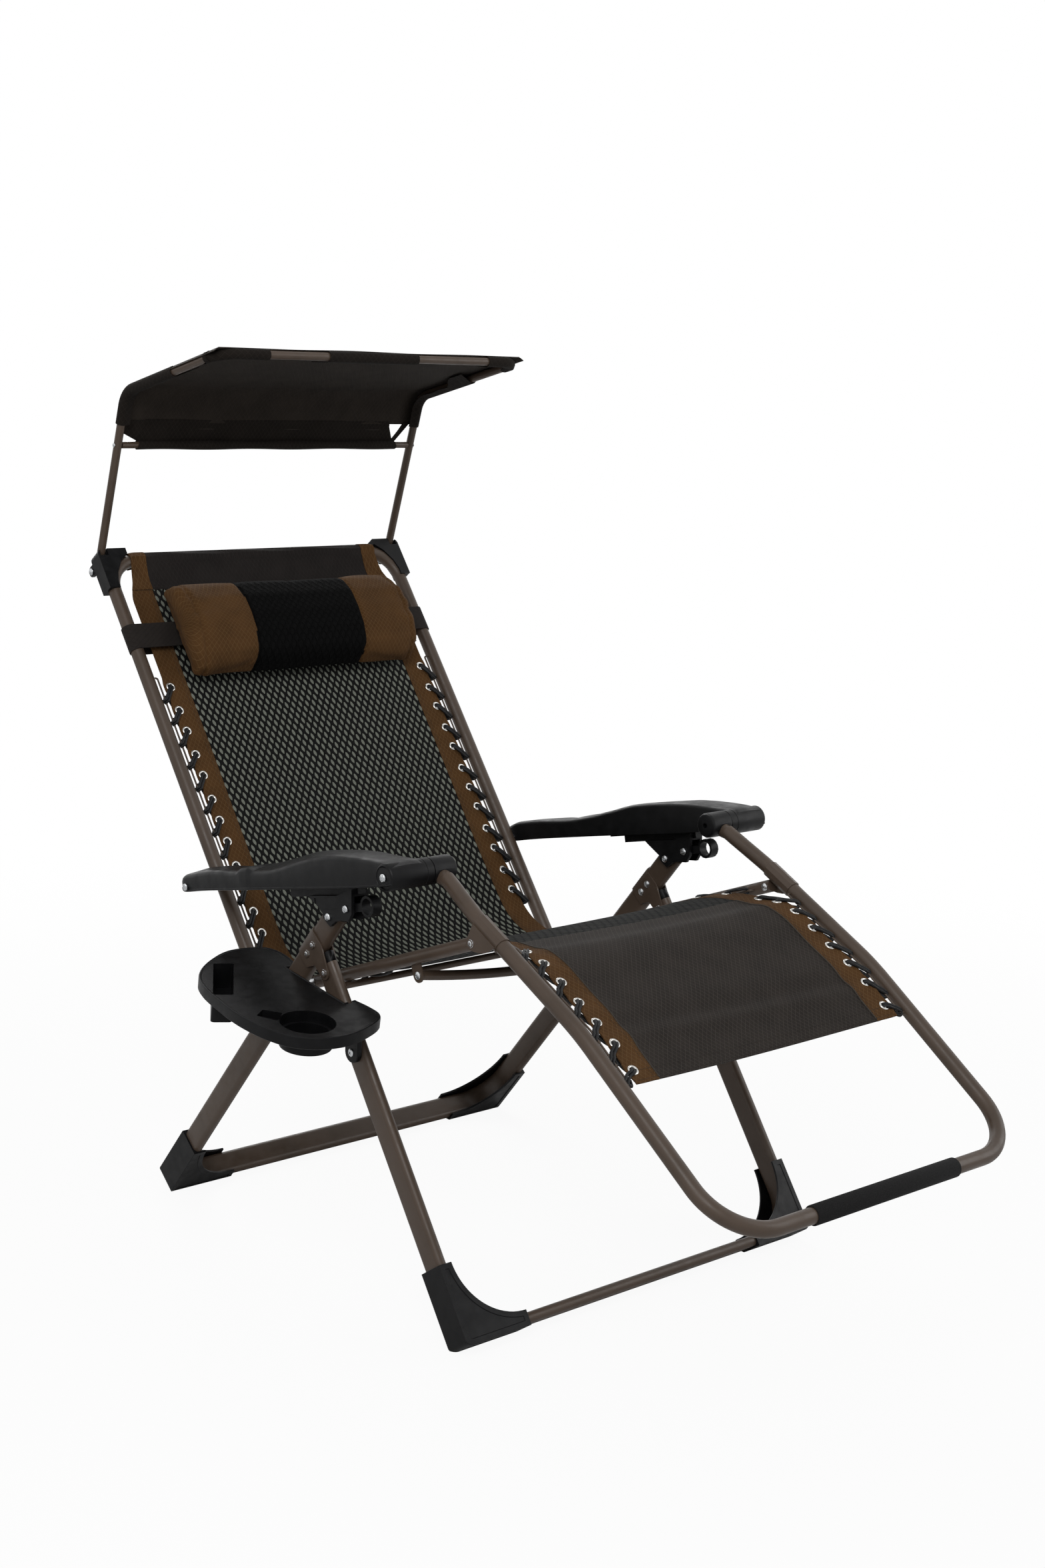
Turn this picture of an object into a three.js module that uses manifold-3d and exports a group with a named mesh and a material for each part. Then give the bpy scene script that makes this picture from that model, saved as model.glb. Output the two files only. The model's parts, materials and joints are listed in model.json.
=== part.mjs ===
import * as THREE from 'three';
import { mergeVertices } from 'three/addons/utils/BufferGeometryUtils.js';
import Module from 'manifold-3d';

// A folding sun lounger with a tilting canopy. Sizes are millimetres and angles are degrees.
// X is the width, Y runs from the foot end to the head end and Z is up.
// The sitter's left side is +X, and the drink tray hangs on the right side, at -X.

const wasm = await Module();
wasm.setup();

// General clearances
const fitGap = 0.3;
const slideGap = 0.8;
const overrun = 6;
const sheetMetal = 2.5;
const boltRadius = 4;
const boltHeadRadius = 6.5;
const boltHeadHeight = 2.4;

// Facets
const tubeSides = 10;
const pinSides = 8;
const hubSides = 14;
const cupSides = 18;
const canopySides = 8;
const ovalSteps = 4;
const cordSides = 8;
const eyeletSides = 5;
const bendSteps = 5;
const boreRadius = (boltRadius + fitGap) / Math.cos(Math.PI / pinSides);

// Leg frames, two crossed U frames of flat oval tube
const legDepth = 45;
const legThickness = 18;
const legHalfWidth = 378.5;
const legBend = 70;
const rearLegAngle = 50.8;
const rearFootY = 515.3;
const rearLegToSeatPivot = 583.4;
const rearLegToHinge = 688.2;
const rearLegToLock = 774.4;
const legPastPin = 12;
const hingeDrop = 50.9;
const hingeRise = 2.3;
const frontLegAngle = 54.3;
const plugReach = 30;

// Shoes on the corners of the leg frames
const shoeWall = 3;
const shoeRise = 118;
const shoeArcRadius = 105;
const shoeLipOverTube = 4;
const shoePanelInset = 12;
const shoePanelDepth = 1;

// Hinge plates between the leg frames
const hingeWrapLength = 60;
const hingeFlapWidth = 23;

// Seat, measured along and across the seat rails from the seat pivot
const railRadius = 11;
const railInset = 53.5;
const railHalfWidth = legHalfWidth - railInset;
const railAngle = 21.59;
const pivotToBack = 162.1;
const pivotToFootrest = 443.4;
const railPastFootrest = 9;
const railShortOfBack = 22;
const crossbarForward = 86;
const crossbarRadius = 6;
const stabiliserForward = 279;
const stabiliserDrop = 28.6;
const stabiliserRadius = 8;
const stabiliserSag = 28;
const tabWidth = 24;
const clevisRadius = 13;

// Backrest, measured along the back tube from the back pivot and square to it
const frameTubeRadius = 12.5;
const backInset = 47.5;
const backHalfWidth = legHalfWidth - backInset;
const backAngle = 52.55;
const backLength = 880;
const backBend = 65;
const backTubeBelowPin = 14;
const backCapThickness = 3.5;
const armPivotUpBack = 219;

// Top brackets at the corners of the backrest
const bracketBelowTop = 63;
const bracketAboveTop = 20;
const bracketInset = 44;
const bracketOutset = 17;
const bracketFrom = backLength - bracketBelowTop;
const bracketTo = backLength + bracketAboveTop;
const bracketInnerX = backHalfWidth - bracketInset;
const bracketOuterX = backHalfWidth + bracketOutset;
const bracketCorner = 12;
const bracketWall = 3;
const canopyPivotBelowTop = 5.5;
const canopyPivotUp = backLength - canopyPivotBelowTop;
const canopyPivotBehind = 24.5;
const canopyLugRadius = 10;
const strutNotchBelowTop = 14;
const strutFrontNotchAboveTop = 6;
const strutNotchFrom = backLength - strutNotchBelowTop;
const strutFrontNotchFrom = backLength + strutFrontNotchAboveTop;

// Canopy frame
const canopyTubeRadius = 7.5;
const canopyInset = 43.5;
const canopyHalfWidth = legHalfWidth - canopyInset;
const canopyStrutLength = 348;
const canopyStrutAngle = 106.7;
const canopySideLength = 307;
const canopySideAngle = 166;
const canopyRearBend = 45;
const canopyFrontBend = 40;
const canopyBarUp = 247;
const canopyBarRadius = 6;

// Canopy cover
const clothThickness = 2;
const coverSleeveInner = 20;
const coverSideBareFrom = 140;
const coverSideBareTo = 24;
const coverFrontInset = 78;
const coverFrontInner = canopyHalfWidth - coverFrontInset;
const coverTabFrom = -107;
const coverTabTo = 91;
const coverLip = 11;
const coverSleeveUp = 287;
const coverFlapInset = 39;
const coverFlapTopInset = 56;
const coverFlapHalf = canopyHalfWidth - coverFlapInset;
const coverFlapTopHalf = canopyHalfWidth - coverFlapTopInset;

// Footrest, measured from its pivot on the seat rail
const footInset = 55.5;
const footHubInset = 64.5;
const footHalfWidth = legHalfWidth - footInset;
const footHubHalfWidth = legHalfWidth - footHubInset;
const hubRear = 120.7;
const hubRise = 87.8;
const footStartRear = 105.5;
const footStartRise = 80.2;
const footBendRear = 91;
const footBendRise = 78.1;
const footSplayFrom = 61;
const footSplayTo = 16;
const footUpperAngle = 26.3;
const footKneeForward = 234;
const footLowerAngle = 33.85;
const footEndForward = 554;
const footKneeBend = 500;
const footHubBend = 60;
const footCornerBend = 95;
const gripRadius = 14.5;
const gripHalfLength = 160;
const gripBore = 12.8;

// Ear brackets between footrest and seat rails
const earSleeveRadius = 14.5;
const earSleeveFrom = 2;
const earSleeveTo = 62;
const earTipRadius = 11.5;

// Armrests, measured from the hub towards the back pivot and upward
const armInset = 32.5;
const armOutset = 38.5;
const armTailOutset = 26.5;
const armInnerX = legHalfWidth - armInset;
const armOuterX = legHalfWidth + armOutset;
const armTailOuterX = legHalfWidth + armTailOutset;
const armHubRadius = 22;
const armHubInset = 47.5;
const footHubInnerInset = 93.5;
const armHubInnerX = legHalfWidth - armHubInset;
const footHubInnerX = legHalfWidth - footHubInnerInset;
const armWall = 3;
const armBeamHalf = 10.5;
const armBeamFrom = 25;
const armBeamTo = 335;

// Lock blocks under the armrests
const lockShoeFrom = -78;
const lockShoeTo = 110;
const lockShoeHeight = 9.7;
const lockShoeHalf = 7.5;
const lockBelowArm = 14;
const lockCheek = 6;
const leverPinForward = 50.8;
const leverPinRise = 12;
const ringForward = 47;
const ringRise = 2;
const ringOuter = 17.5;
const ringInner = 13;
const ringHalf = 8.7;

// Slings and their lacing
const slingThickness = 2.4;
const slingBackInset = 28;
const slingSeatInset = 27;
const slingLegInset = 30;
const slingBackHalf = backHalfWidth - slingBackInset;
const slingSeatHalf = railHalfWidth - slingSeatInset;
const slingLegHalf = footHalfWidth - slingLegInset;
const eyeletFromEdge = 13;
const eyeletRadius = 5.2;
const backEyeletBelowTop = 272;
const backEyeletTop = backLength - backEyeletBelowTop;
const backEyeletLast = 109.7;
const backEyelets = 12;
const backEyeletPitch = (backEyeletTop - backEyeletLast) / (backEyelets - 1);
const slingSweep = 100;
const slingSeam = 5;
const slingTopNarrowInset = 41;
const slingTopNarrowBelowTop = 65;
const slingLoopJoinBelowTop = 52;
const slingTopNarrowHalf = slingBackHalf - slingTopNarrowInset;
const slingTopNarrowFrom = backLength - slingTopNarrowBelowTop;
const slingLoopJoin = backLength - slingLoopJoinBelowTop;
const seatEyelets = 6;
const seatEyeletFirst = 10;
const seatEyeletPitch = 74;
const legEyelets = 6;
const legEyeletPitch = 46;
const legEyeletFirst = 112;
const legSlingHem = 30;
const slingHangBelow = 12.8;
const slingCrestForward = 40;
const slingMergeForward = 96;
const rodRadius = 1.75;
const rodFromTube = 8;
const cordRadius = 1.9;
const cordPastRod = 3.8;
const cordOverRod = 4.2;
const cordSlant = 15;
const cordOffCloth = 3.4;

// Pillow and its strap
const pillowInset = 18;
const pillowBelowTop = 55;
const pillowHeight = 230;
const pillowHalf = slingBackHalf - pillowInset;
const pillowTo = backLength - pillowBelowTop;
const pillowFrom = pillowTo - pillowHeight;
const pillowThickness = 74;
const strapOverPillow = 93;
const strapWidth = 50;
const strapFrom = pillowFrom + strapOverPillow;
const strapTo = strapFrom + strapWidth;
const strapThickness = 1.6;
const pillowBack = frameTubeRadius + fitGap + strapThickness + fitGap;

// Drink tray, hung on the outside of the right rear leg
const trayThickness = 20;
const trayWall = 3;
const trayTilt = 7.1;
const trayOverPivot = 16.365;
const cupRadius = 45;
const cupDepth = 38;
const cupPastLeg = 106.5;
const cupX = -legHalfWidth - cupPastLeg;
const cupY = -50;
const slotFloor = 26;
const lugY = -46;
const lugBelowTray = 75.3;
const lugRadius = 17;
const lugThickness = 9;

const radians = (angle) => THREE.MathUtils.degToRad(angle);
const cosine = (angle) => Math.cos(radians(angle));
const sine = (angle) => Math.sin(radians(angle));

// Materials
const paint = { colour: 0x544840, roughness: 0.42, metalness: 0.35 };
const zinc = { colour: 0xb9bdbf, roughness: 0.3, metalness: 0.95 };
const blackPlastic = { colour: 0x1c1c1e, roughness: 0.5, metalness: 0 };
const foam = { colour: 0x17181a, roughness: 0.9, metalness: 0 };
const meshCloth = { colour: 0x22221f, roughness: 0.85, metalness: 0 };
const ripstop = { colour: 0x34312f, roughness: 0.8, metalness: 0 };
const canopyCloth = { colour: 0x2a2624, roughness: 0.85, metalness: 0 };
const elastic = { colour: 0x0f0f10, roughness: 0.7, metalness: 0 };

// A closed geometry as a solid that can be joined and cut
function solid(geometry) {
  const bare = geometry.clone();
  bare.deleteAttribute('normal');
  bare.deleteAttribute('uv');
  const merged = geometry.index && !geometry.attributes.uv ? bare : mergeVertices(bare);
  return new wasm.Manifold(new wasm.Mesh({
    numProp: 3,
    vertProperties: new Float32Array(merged.attributes.position.array),
    triVerts: new Uint32Array(merged.index.array),
  }));
}

// A joined or cut solid back as a geometry
function geometryOf(body) {
  const mesh = body.getMesh();
  const geometry = new THREE.BufferGeometry();
  geometry.setAttribute('position', new THREE.BufferAttribute(mesh.vertProperties.slice(), 3));
  geometry.setIndex(new THREE.BufferAttribute(mesh.triVerts.slice(), 1));
  return geometry;
}

// A geometry of the left side as the one of the right side
function mirrored(geometry) {
  const other = geometry.index ? geometry.clone() : mergeVertices(geometry);
  other.scale(-1, 1, 1);
  const order = other.index.array;
  for (let i = 0; i < order.length; i += 3) {
    [order[i], order[i + 1]] = [order[i + 1], order[i]];
  }
  return other;
}

// The side plane through a point of (y, z), with its first axis turned up from +Y
function sideFrame(y, z, angle = 0) {
  const frame = new THREE.Matrix4().makeBasis(
    new THREE.Vector3(0, cosine(angle), sine(angle)),
    new THREE.Vector3(0, -sine(angle), cosine(angle)),
    new THREE.Vector3(1, 0, 0),
  );
  return frame.setPosition(0, y, z);
}

// A point of a side plane in the whole part's axes
function inFrame(frame, along, across, x = 0) {
  return new THREE.Vector3(along, across, x).applyMatrix4(frame);
}

// A flat outline of a side plane, raised along X between two places
function slab(outline, fromX, toX, frame) {
  const geometry = new THREE.ExtrudeGeometry(outline, {
    depth: toX - fromX, bevelEnabled: false, curveSegments: bendSteps,
  });
  geometry.translate(0, 0, fromX);
  return geometry.applyMatrix4(frame);
}

// A closed outline through points
function outlineOf(points) {
  return new THREE.Shape(points.map(([u, v]) => new THREE.Vector2(u, v)));
}

// A rectangle between two corners
function rectangle(fromU, toU, fromV, toV) {
  return outlineOf([[fromU, fromV], [toU, fromV], [toU, toV], [fromU, toV]]);
}

// A round outline with a chosen number of sides
function disc(radius, sides, u = 0, v = 0) {
  const points = [];
  for (let i = 0; i < sides; i += 1) {
    const turn = (i + 1 / 2) / sides * 2 * Math.PI;
    points.push([u + radius * Math.cos(turn), v + radius * Math.sin(turn)]);
  }
  return outlineOf(points);
}

// A flat oval outline, thin along u and deep along v
function flatOval(thickness, depth, steps) {
  const radius = thickness / 2;
  const straight = depth / 2 - radius;
  const points = [];
  for (let i = 0; i <= steps; i += 1) {
    const turn = Math.PI * i / steps;
    points.push([radius * Math.cos(turn), straight + radius * Math.sin(turn)]);
  }
  for (let i = 0; i <= steps; i += 1) {
    const turn = Math.PI * (1 + i / steps);
    points.push([radius * Math.cos(turn), -straight + radius * Math.sin(turn)]);
  }
  return outlineOf(points);
}

// A straight round bar along X in a side plane
function pin(radius, fromX, toX, frame, sides = pinSides, along = 0, across = 0) {
  return slab(disc(radius, sides, along, across), fromX, toX, frame);
}

// A route with its rings only at the chosen nodes
class TubeRoute extends THREE.Curve {
  constructor(nodes) {
    super();
    this.nodes = nodes;
  }

  nodeAt(share) {
    return Math.round(share * (this.nodes.length - 1));
  }

  getPoint(share, target = new THREE.Vector3()) {
    return target.copy(this.nodes[this.nodeAt(share)]);
  }

  getPointAt(share, target) {
    return this.getPoint(share, target);
  }

  getTangentAt(share, target = new THREE.Vector3()) {
    const here = this.nodeAt(share);
    const last = this.nodes.length - 1;
    target.set(0, 0, 0);
    if (here > 0) {
      target.add(this.nodes[here].clone().sub(this.nodes[here - 1]).normalize());
    }
    if (here < last) {
      target.add(this.nodes[here + 1].clone().sub(this.nodes[here]).normalize());
    }
    return target.normalize();
  }
}

// A section swept along nodes
function sweep(nodes, section) {
  return new THREE.ExtrudeGeometry(section, {
    steps: nodes.length - 1, extrudePath: new TubeRoute(nodes), bevelEnabled: false,
  });
}

// Corners joined by straight lines, with an arc of the given radius in each inner corner
function filleted(corners, radii, steps = bendSteps) {
  const nodes = [corners[0]];
  for (let i = 1; i < corners.length - 1; i += 1) {
    const back = corners[i - 1].clone().sub(corners[i]).normalize();
    const ahead = corners[i + 1].clone().sub(corners[i]).normalize();
    const turn = Math.PI - back.angleTo(ahead);
    const radius = radii[i - 1];
    if (radius > 0) {
      const start = corners[i].clone().addScaledVector(back, radius * Math.tan(turn / 2));
      const inward = back.clone().add(ahead).normalize();
      const centre = corners[i].clone().addScaledVector(inward, radius / Math.cos(turn / 2));
      const arm = start.clone().sub(centre);
      const axis = ahead.clone().cross(back).normalize();
      for (let k = 0; k <= steps; k += 1) {
        nodes.push(arm.clone().applyAxisAngle(axis, turn * k / steps).add(centre));
      }
    } else {
      nodes.push(corners[i]);
    }
  }
  nodes.push(corners[corners.length - 1]);
  return nodes;
}

// Rings of equal count skinned into a closed body
function skin(rings) {
  const count = rings[0].length;
  const points = [];
  const faces = [];
  rings.forEach((ring) => ring.forEach((point) => points.push(point.x, point.y, point.z)));
  for (let i = 0; i + 1 < rings.length; i += 1) {
    for (let k = 0; k < count; k += 1) {
      const a = i * count + k;
      const b = i * count + (k + 1) % count;
      faces.push(a, b, b + count, a, b + count, a + count);
    }
  }
  const lastRing = (rings.length - 1) * count;
  for (let k = 1; k + 1 < count; k += 1) {
    faces.push(0, k + 1, k);
    faces.push(lastRing, lastRing + k, lastRing + k + 1);
  }
  const geometry = new THREE.BufferGeometry();
  geometry.setAttribute('position', new THREE.Float32BufferAttribute(points, 3));
  geometry.setIndex(faces);
  return geometry;
}

// A mesh that stands at its own anchor inside its group
function piece(name, geometry, look, group, anchor) {
  const mesh = new THREE.Mesh(
    geometry.clone().translate(-anchor.x, -anchor.y, -anchor.z),
    new THREE.MeshStandardMaterial({
      color: look.colour, roughness: look.roughness, metalness: look.metalness,
    }),
  );
  mesh.name = name;
  mesh.position.copy(anchor).sub(group.userData.pivot);
  group.add(mesh);
  return mesh;
}

// The left piece and its mirror image on the right
function pair(name, geometry, look, groups, anchor) {
  const [left, right] = Array.isArray(groups) ? groups : [groups, groups];
  piece(`${name}_left`, geometry, look, left, anchor);
  const other = new THREE.Vector3(-anchor.x, anchor.y, anchor.z);
  piece(`${name}_right`, mirrored(geometry), look, right, other);
}

// A group that turns or slides at its pivot
function moving(pivot, parent) {
  const group = new THREE.Group();
  group.userData.pivot = pivot;
  group.position.copy(pivot).sub(parent.userData.pivot);
  parent.add(group);
  return group;
}

const lounger = new THREE.Group();
lounger.userData.pivot = new THREE.Vector3();

// Places of the main pivots in (y, z)
const legRound = legThickness / 2;
const legStraight = legDepth / 2 - legRound;
const barHeight = (angle) => shoeWall + fitGap + legStraight * cosine(angle) + legRound;
const rearFoot = sideFrame(rearFootY, barHeight(rearLegAngle), 180 - rearLegAngle);
const hinge = inFrame(rearFoot, rearLegToHinge + hingeRise, hingeDrop);
const lockPin = inFrame(rearFoot, rearLegToLock, 0);
const seatPivot = inFrame(rearFoot, rearLegToSeatPivot, 0);
const trayHeight = seatPivot.z + trayOverPivot;
const lugZ = trayHeight - lugBelowTray;
const frontFootHeight = barHeight(frontLegAngle);
const frontLegLength = (hinge.z - frontFootHeight) / sine(frontLegAngle);
const frontFoot = sideFrame(
  hinge.y - frontLegLength * cosine(frontLegAngle), frontFootHeight, frontLegAngle,
);
const rail = sideFrame(seatPivot.y, seatPivot.z, -railAngle);
const backPivot = inFrame(rail, pivotToBack, 0);
const footPivot = inFrame(rail, -pivotToFootrest, 0);
const back = sideFrame(backPivot.y, backPivot.z, backAngle);
const armHub = new THREE.Vector3(0, footPivot.y + hubRear, footPivot.z + hubRise);
const armRear = inFrame(back, armPivotUpBack, 0);
const armLength = armHub.distanceTo(armRear);
const armAngle = THREE.MathUtils.radToDeg(Math.atan2(armRear.z - armHub.z, armRear.y - armHub.y));
const arm = sideFrame(armHub.y, armHub.z, armAngle);
const canopyPivot = inFrame(back, canopyPivotUp, -canopyPivotBehind);
const canopy = sideFrame(canopyPivot.y, canopyPivot.z, canopyStrutAngle);

// Moving groups
const base = moving(new THREE.Vector3(), lounger);
const frontLegs = moving(hinge, base);
const seat = moving(seatPivot, base);
const backrest = moving(backPivot, seat);
const pillowSlide = moving(inFrame(back, pillowFrom, pillowBack), backrest);
const canopyTilt = moving(canopyPivot, backrest);
const footrest = moving(footPivot, seat);
const armLeft = moving(new THREE.Vector3(armInnerX, armHub.y, armHub.z), footrest);
const armRight = moving(new THREE.Vector3(-armInnerX, armHub.y, armHub.z), footrest);
const lockLeft = moving(new THREE.Vector3(legHalfWidth, lockPin.y, lockPin.z), armLeft);
const lockRight = moving(new THREE.Vector3(-legHalfWidth, lockPin.y, lockPin.z), armRight);

// Leg frames

// A U frame that stands on its middle bar, drawn in the plane of a side frame
function legFrame(frame, length) {
  const corners = [
    inFrame(frame, length, 0, legHalfWidth),
    inFrame(frame, 0, 0, legHalfWidth),
    inFrame(frame, 0, 0, -legHalfWidth),
    inFrame(frame, length, 0, -legHalfWidth),
  ];
  return solid(sweep(filleted(corners, [legBend, legBend]), flatOval(legThickness, legDepth, ovalSteps)));
}

function throughBore(frame, along = 0, across = 0) {
  const reach = legHalfWidth + legThickness;
  return solid(pin(boreRadius, -reach, reach, frame, pinSides, along, across));
}

const rearLeg = legFrame(rearFoot, rearLegToLock + legPastPin)
  .subtract(throughBore(sideFrame(seatPivot.y, seatPivot.z)));
piece('rear_leg_frame', geometryOf(rearLeg), paint, base, inFrame(rearFoot, 0, 0));
const frontLeg = legFrame(frontFoot, frontLegLength + legPastPin)
  .subtract(throughBore(sideFrame(hinge.y, hinge.z)));
piece('front_leg_frame', geometryOf(frontLeg), paint, frontLegs, inFrame(frontFoot, 0, 0));

// Shoes, hollow covers with front and back walls joined by an outer wall and a sole
function shoe(frame) {
  const outer = legHalfWidth + legRound + fitGap + shoeWall;
  const sole = -(legRound + fitGap + shoeWall);
  const inner = outer - legThickness - shoeWall * 2 - shoeLipOverTube;
  const lip = legRound + shoeLipOverTube;
  const arcCentreX = inner - shoeArcRadius;
  const cornerRadius = legBend + legRound + fitGap + shoeWall;
  const outline = new THREE.Shape();
  outline.moveTo(arcCentreX, sole);
  outline.absarc(outer - cornerRadius, sole + cornerRadius, cornerRadius, -Math.PI / 2, 0, false);
  outline.lineTo(outer, shoeRise);
  outline.lineTo(inner, shoeRise);
  outline.absarc(arcCentreX, lip + shoeArcRadius, shoeArcRadius, 0, -Math.PI / 2, true);
  outline.closePath();
  // The plane of the U frame, with its width along u, its height along v and its front along the depth
  const plane = new THREE.Matrix4().makeBasis(
    new THREE.Vector3(1, 0, 0),
    new THREE.Vector3().setFromMatrixColumn(frame, 0),
    new THREE.Vector3(1, 0, 0).cross(new THREE.Vector3().setFromMatrixColumn(frame, 0)),
  ).setPosition(new THREE.Vector3().setFromMatrixPosition(frame));
  const half = legDepth / 2 + fitGap;
  const thick = (shape, from, to) => {
    const geometry = new THREE.ExtrudeGeometry(shape, {
      depth: to - from, bevelEnabled: false, curveSegments: bendSteps,
    });
    return solid(geometry.translate(0, 0, from).applyMatrix4(plane));
  };
  const inside = new THREE.Shape();
  const reach = shoeRise + overrun;
  const hollowX = legHalfWidth - fitGap;
  const hollowReach = reach + overrun;
  inside.moveTo(-overrun, fitGap);
  inside.absarc(hollowX - legBend, legBend + fitGap, legBend, -Math.PI / 2, 0, false);
  inside.lineTo(hollowX, hollowReach);
  inside.lineTo(-overrun, hollowReach);
  inside.closePath();
  const corners = [
    inFrame(frame, reach, 0, legHalfWidth),
    inFrame(frame, 0, 0, legHalfWidth),
    inFrame(frame, 0, 0, 0),
  ];
  const room = solid(sweep(filleted(corners, [legBend]),
    flatOval(legThickness + fitGap * 2, legDepth + fitGap * 2, ovalSteps)));
  const panel = new THREE.Shape();
  const inset = shoePanelInset;
  panel.moveTo(arcCentreX + inset, sole + inset);
  panel.absarc(outer - cornerRadius, sole + cornerRadius, cornerRadius - inset, -Math.PI / 2, 0, false);
  panel.lineTo(outer - inset, shoeRise - inset);
  const panelArc = shoeArcRadius + inset;
  const panelTop = Math.asin((lip + shoeArcRadius - shoeRise + inset) / panelArc);
  panel.absarc(arcCentreX, lip + shoeArcRadius, panelArc, -panelTop, -Math.PI / 2, true);
  panel.closePath();
  const face = half + shoeWall;
  const ground = slab(rectangle(-overrun * legDepth, overrun * legDepth, -legDepth * 2, 0),
    0, outer * 2, sideFrame(rearFootY, 0)).applyMatrix4(
    new THREE.Matrix4().setPosition(0, new THREE.Vector3().setFromMatrixPosition(frame).y - rearFootY, 0),
  );
  return geometryOf(thick(outline, -face, face)
    .subtract(thick(inside, -half + slideGap, half - slideGap))
    .subtract(room)
    .subtract(thick(panel, face - shoePanelDepth, face + overrun))
    .subtract(solid(ground)));
}

const shoeAnchor = (frame) => inFrame(frame, 0, 0, legHalfWidth);
pair('rear_shoe', shoe(rearFoot), blackPlastic, base, shoeAnchor(rearFoot));
pair('front_shoe', shoe(frontFoot), blackPlastic, frontLegs, shoeAnchor(frontFoot));

// Hinge plates, wrapped round the back of the rear leg, with two flaps and a rivet for the front leg
const hingeMid = inFrame(rearFoot, rearLegToHinge, 0);
const hingeFrame = sideFrame(hingeMid.y, hingeMid.z, 180 - rearLegAngle);
const legInnerFace = legHalfWidth - legRound;
const legOuterFace = legHalfWidth + legRound;
function hingePlate() {
  const wrap = fitGap + sheetMetal;
  const half = hingeWrapLength / 2;
  const tip = hingeFlapWidth / 2;
  const outline = new THREE.Shape();
  outline.moveTo(-half, -legStraight + slideGap);
  outline.lineTo(half, -legStraight + slideGap);
  outline.lineTo(half, legStraight + slideGap);
  outline.lineTo(hingeRise + tip, hingeDrop);
  outline.absarc(hingeRise, hingeDrop, tip, 0, Math.PI, false);
  outline.lineTo(hingeRise - tip - fitGap, hingeDrop / 2);
  outline.lineTo(-half, legStraight + slideGap);
  outline.closePath();
  const sides = solid(slab(outline, legInnerFace - wrap, legOuterFace + wrap, hingeFrame));
  const stretch = (reach) => [
    inFrame(hingeFrame, -half - reach, 0, legHalfWidth),
    inFrame(hingeFrame, half + reach, 0, legHalfWidth),
  ];
  const wrapOval = flatOval(legThickness + wrap * 2, legDepth + wrap * 2, ovalSteps);
  const rearHalf = solid(slab(rectangle(-half - overrun, half + overrun, -legDepth, legStraight - slideGap),
    legInnerFace - legDepth, legOuterFace + legDepth, hingeFrame));
  const legRoom = solid(sweep(stretch(overrun),
    flatOval(legThickness + fitGap * 2, legDepth + fitGap * 2, ovalSteps)));
  const frontRoom = solid(slab(rectangle(-half - overrun, half + overrun, 0, hingeDrop * 2),
    legInnerFace - fitGap, legOuterFace + fitGap, hingeFrame));
  const rivet = (along, across, fromX, toX) => solid(
    pin(boltRadius, fromX, toX, hingeFrame, pinSides, along, across),
  );
  const head = (along, across) => solid(
    pin(boltHeadRadius, legOuterFace + fitGap, legOuterFace + wrap + boltHeadHeight, hingeFrame,
      pinSides, along, across),
  );
  const headStep = hingeFlapWidth / 2;
  return geometryOf(solid(sweep(stretch(-slideGap), wrapOval)).intersect(rearHalf)
    .add(sides)
    .subtract(legRoom)
    .subtract(frontRoom)
    .add(rivet(hingeRise, hingeDrop, legInnerFace - wrap, legOuterFace + wrap))
    .add(head(hingeRise, hingeDrop))
    .add(head(headStep, 0))
    .add(head(-headStep, 0)));
}
pair('hinge_plate', hingePlate(), paint, base, new THREE.Vector3(legHalfWidth, hinge.y, hinge.z));

// End plugs of the front legs, which stop against the face of the rear legs
function legPlug() {
  const reach = hingeDrop - legDepth / 2 - fitGap;
  const turn = 180 - rearLegAngle - 90;
  const stop = sideFrame(hinge.y, hinge.z, turn);
  const outline = new THREE.Shape();
  outline.moveTo(-plugReach, -reach);
  outline.absarc(0, 0, reach, -Math.PI / 2, 0, false);
  outline.lineTo(reach, plugReach);
  outline.lineTo(-plugReach, plugReach);
  outline.closePath();
  const limit = solid(slab(outline, 0, legHalfWidth * 2, stop));
  const hingeOnLeg = sideFrame(hinge.y, hinge.z, frontLegAngle);
  const ends = [
    inFrame(hingeOnLeg, legPastPin + fitGap, 0, legHalfWidth),
    inFrame(hingeOnLeg, plugReach, 0, legHalfWidth),
  ];
  return geometryOf(solid(sweep(ends, flatOval(legThickness, legDepth, ovalSteps))).intersect(limit));
}
pair('leg_plug', legPlug(), blackPlastic, frontLegs, new THREE.Vector3(legHalfWidth, hinge.y, hinge.z));

// Seat pivots, a bolt through leg and rail with a spacer between them
function seatPivotBolt() {
  const frame = sideFrame(seatPivot.y, seatPivot.z);
  const spacerFrom = railHalfWidth + railRadius + fitGap;
  const spacerTo = legInnerFace - fitGap;
  const shankEnd = boltHeadHeight / 2;
  const shank = pin(boltRadius, railHalfWidth - railRadius - shankEnd, legOuterFace + shankEnd, frame);
  const innerFace = railHalfWidth - railRadius - fitGap;
  const outerFace = legOuterFace + fitGap;
  return geometryOf(solid(shank)
    .add(solid(pin(boltRadius * 2, spacerFrom, spacerTo, frame)))
    .add(solid(pin(boltHeadRadius, innerFace - boltHeadHeight, innerFace, frame)))
    .add(solid(pin(boltHeadRadius, outerFace, outerFace + boltHeadHeight, frame))));
}
pair('seat_pivot', seatPivotBolt(), zinc, base, new THREE.Vector3(legHalfWidth, seatPivot.y, seatPivot.z));

// Seat

const roundTube = (radius, sides = tubeSides) => disc(radius, sides);
const seatRodX = railHalfWidth - railRadius - rodFromTube;

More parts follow.
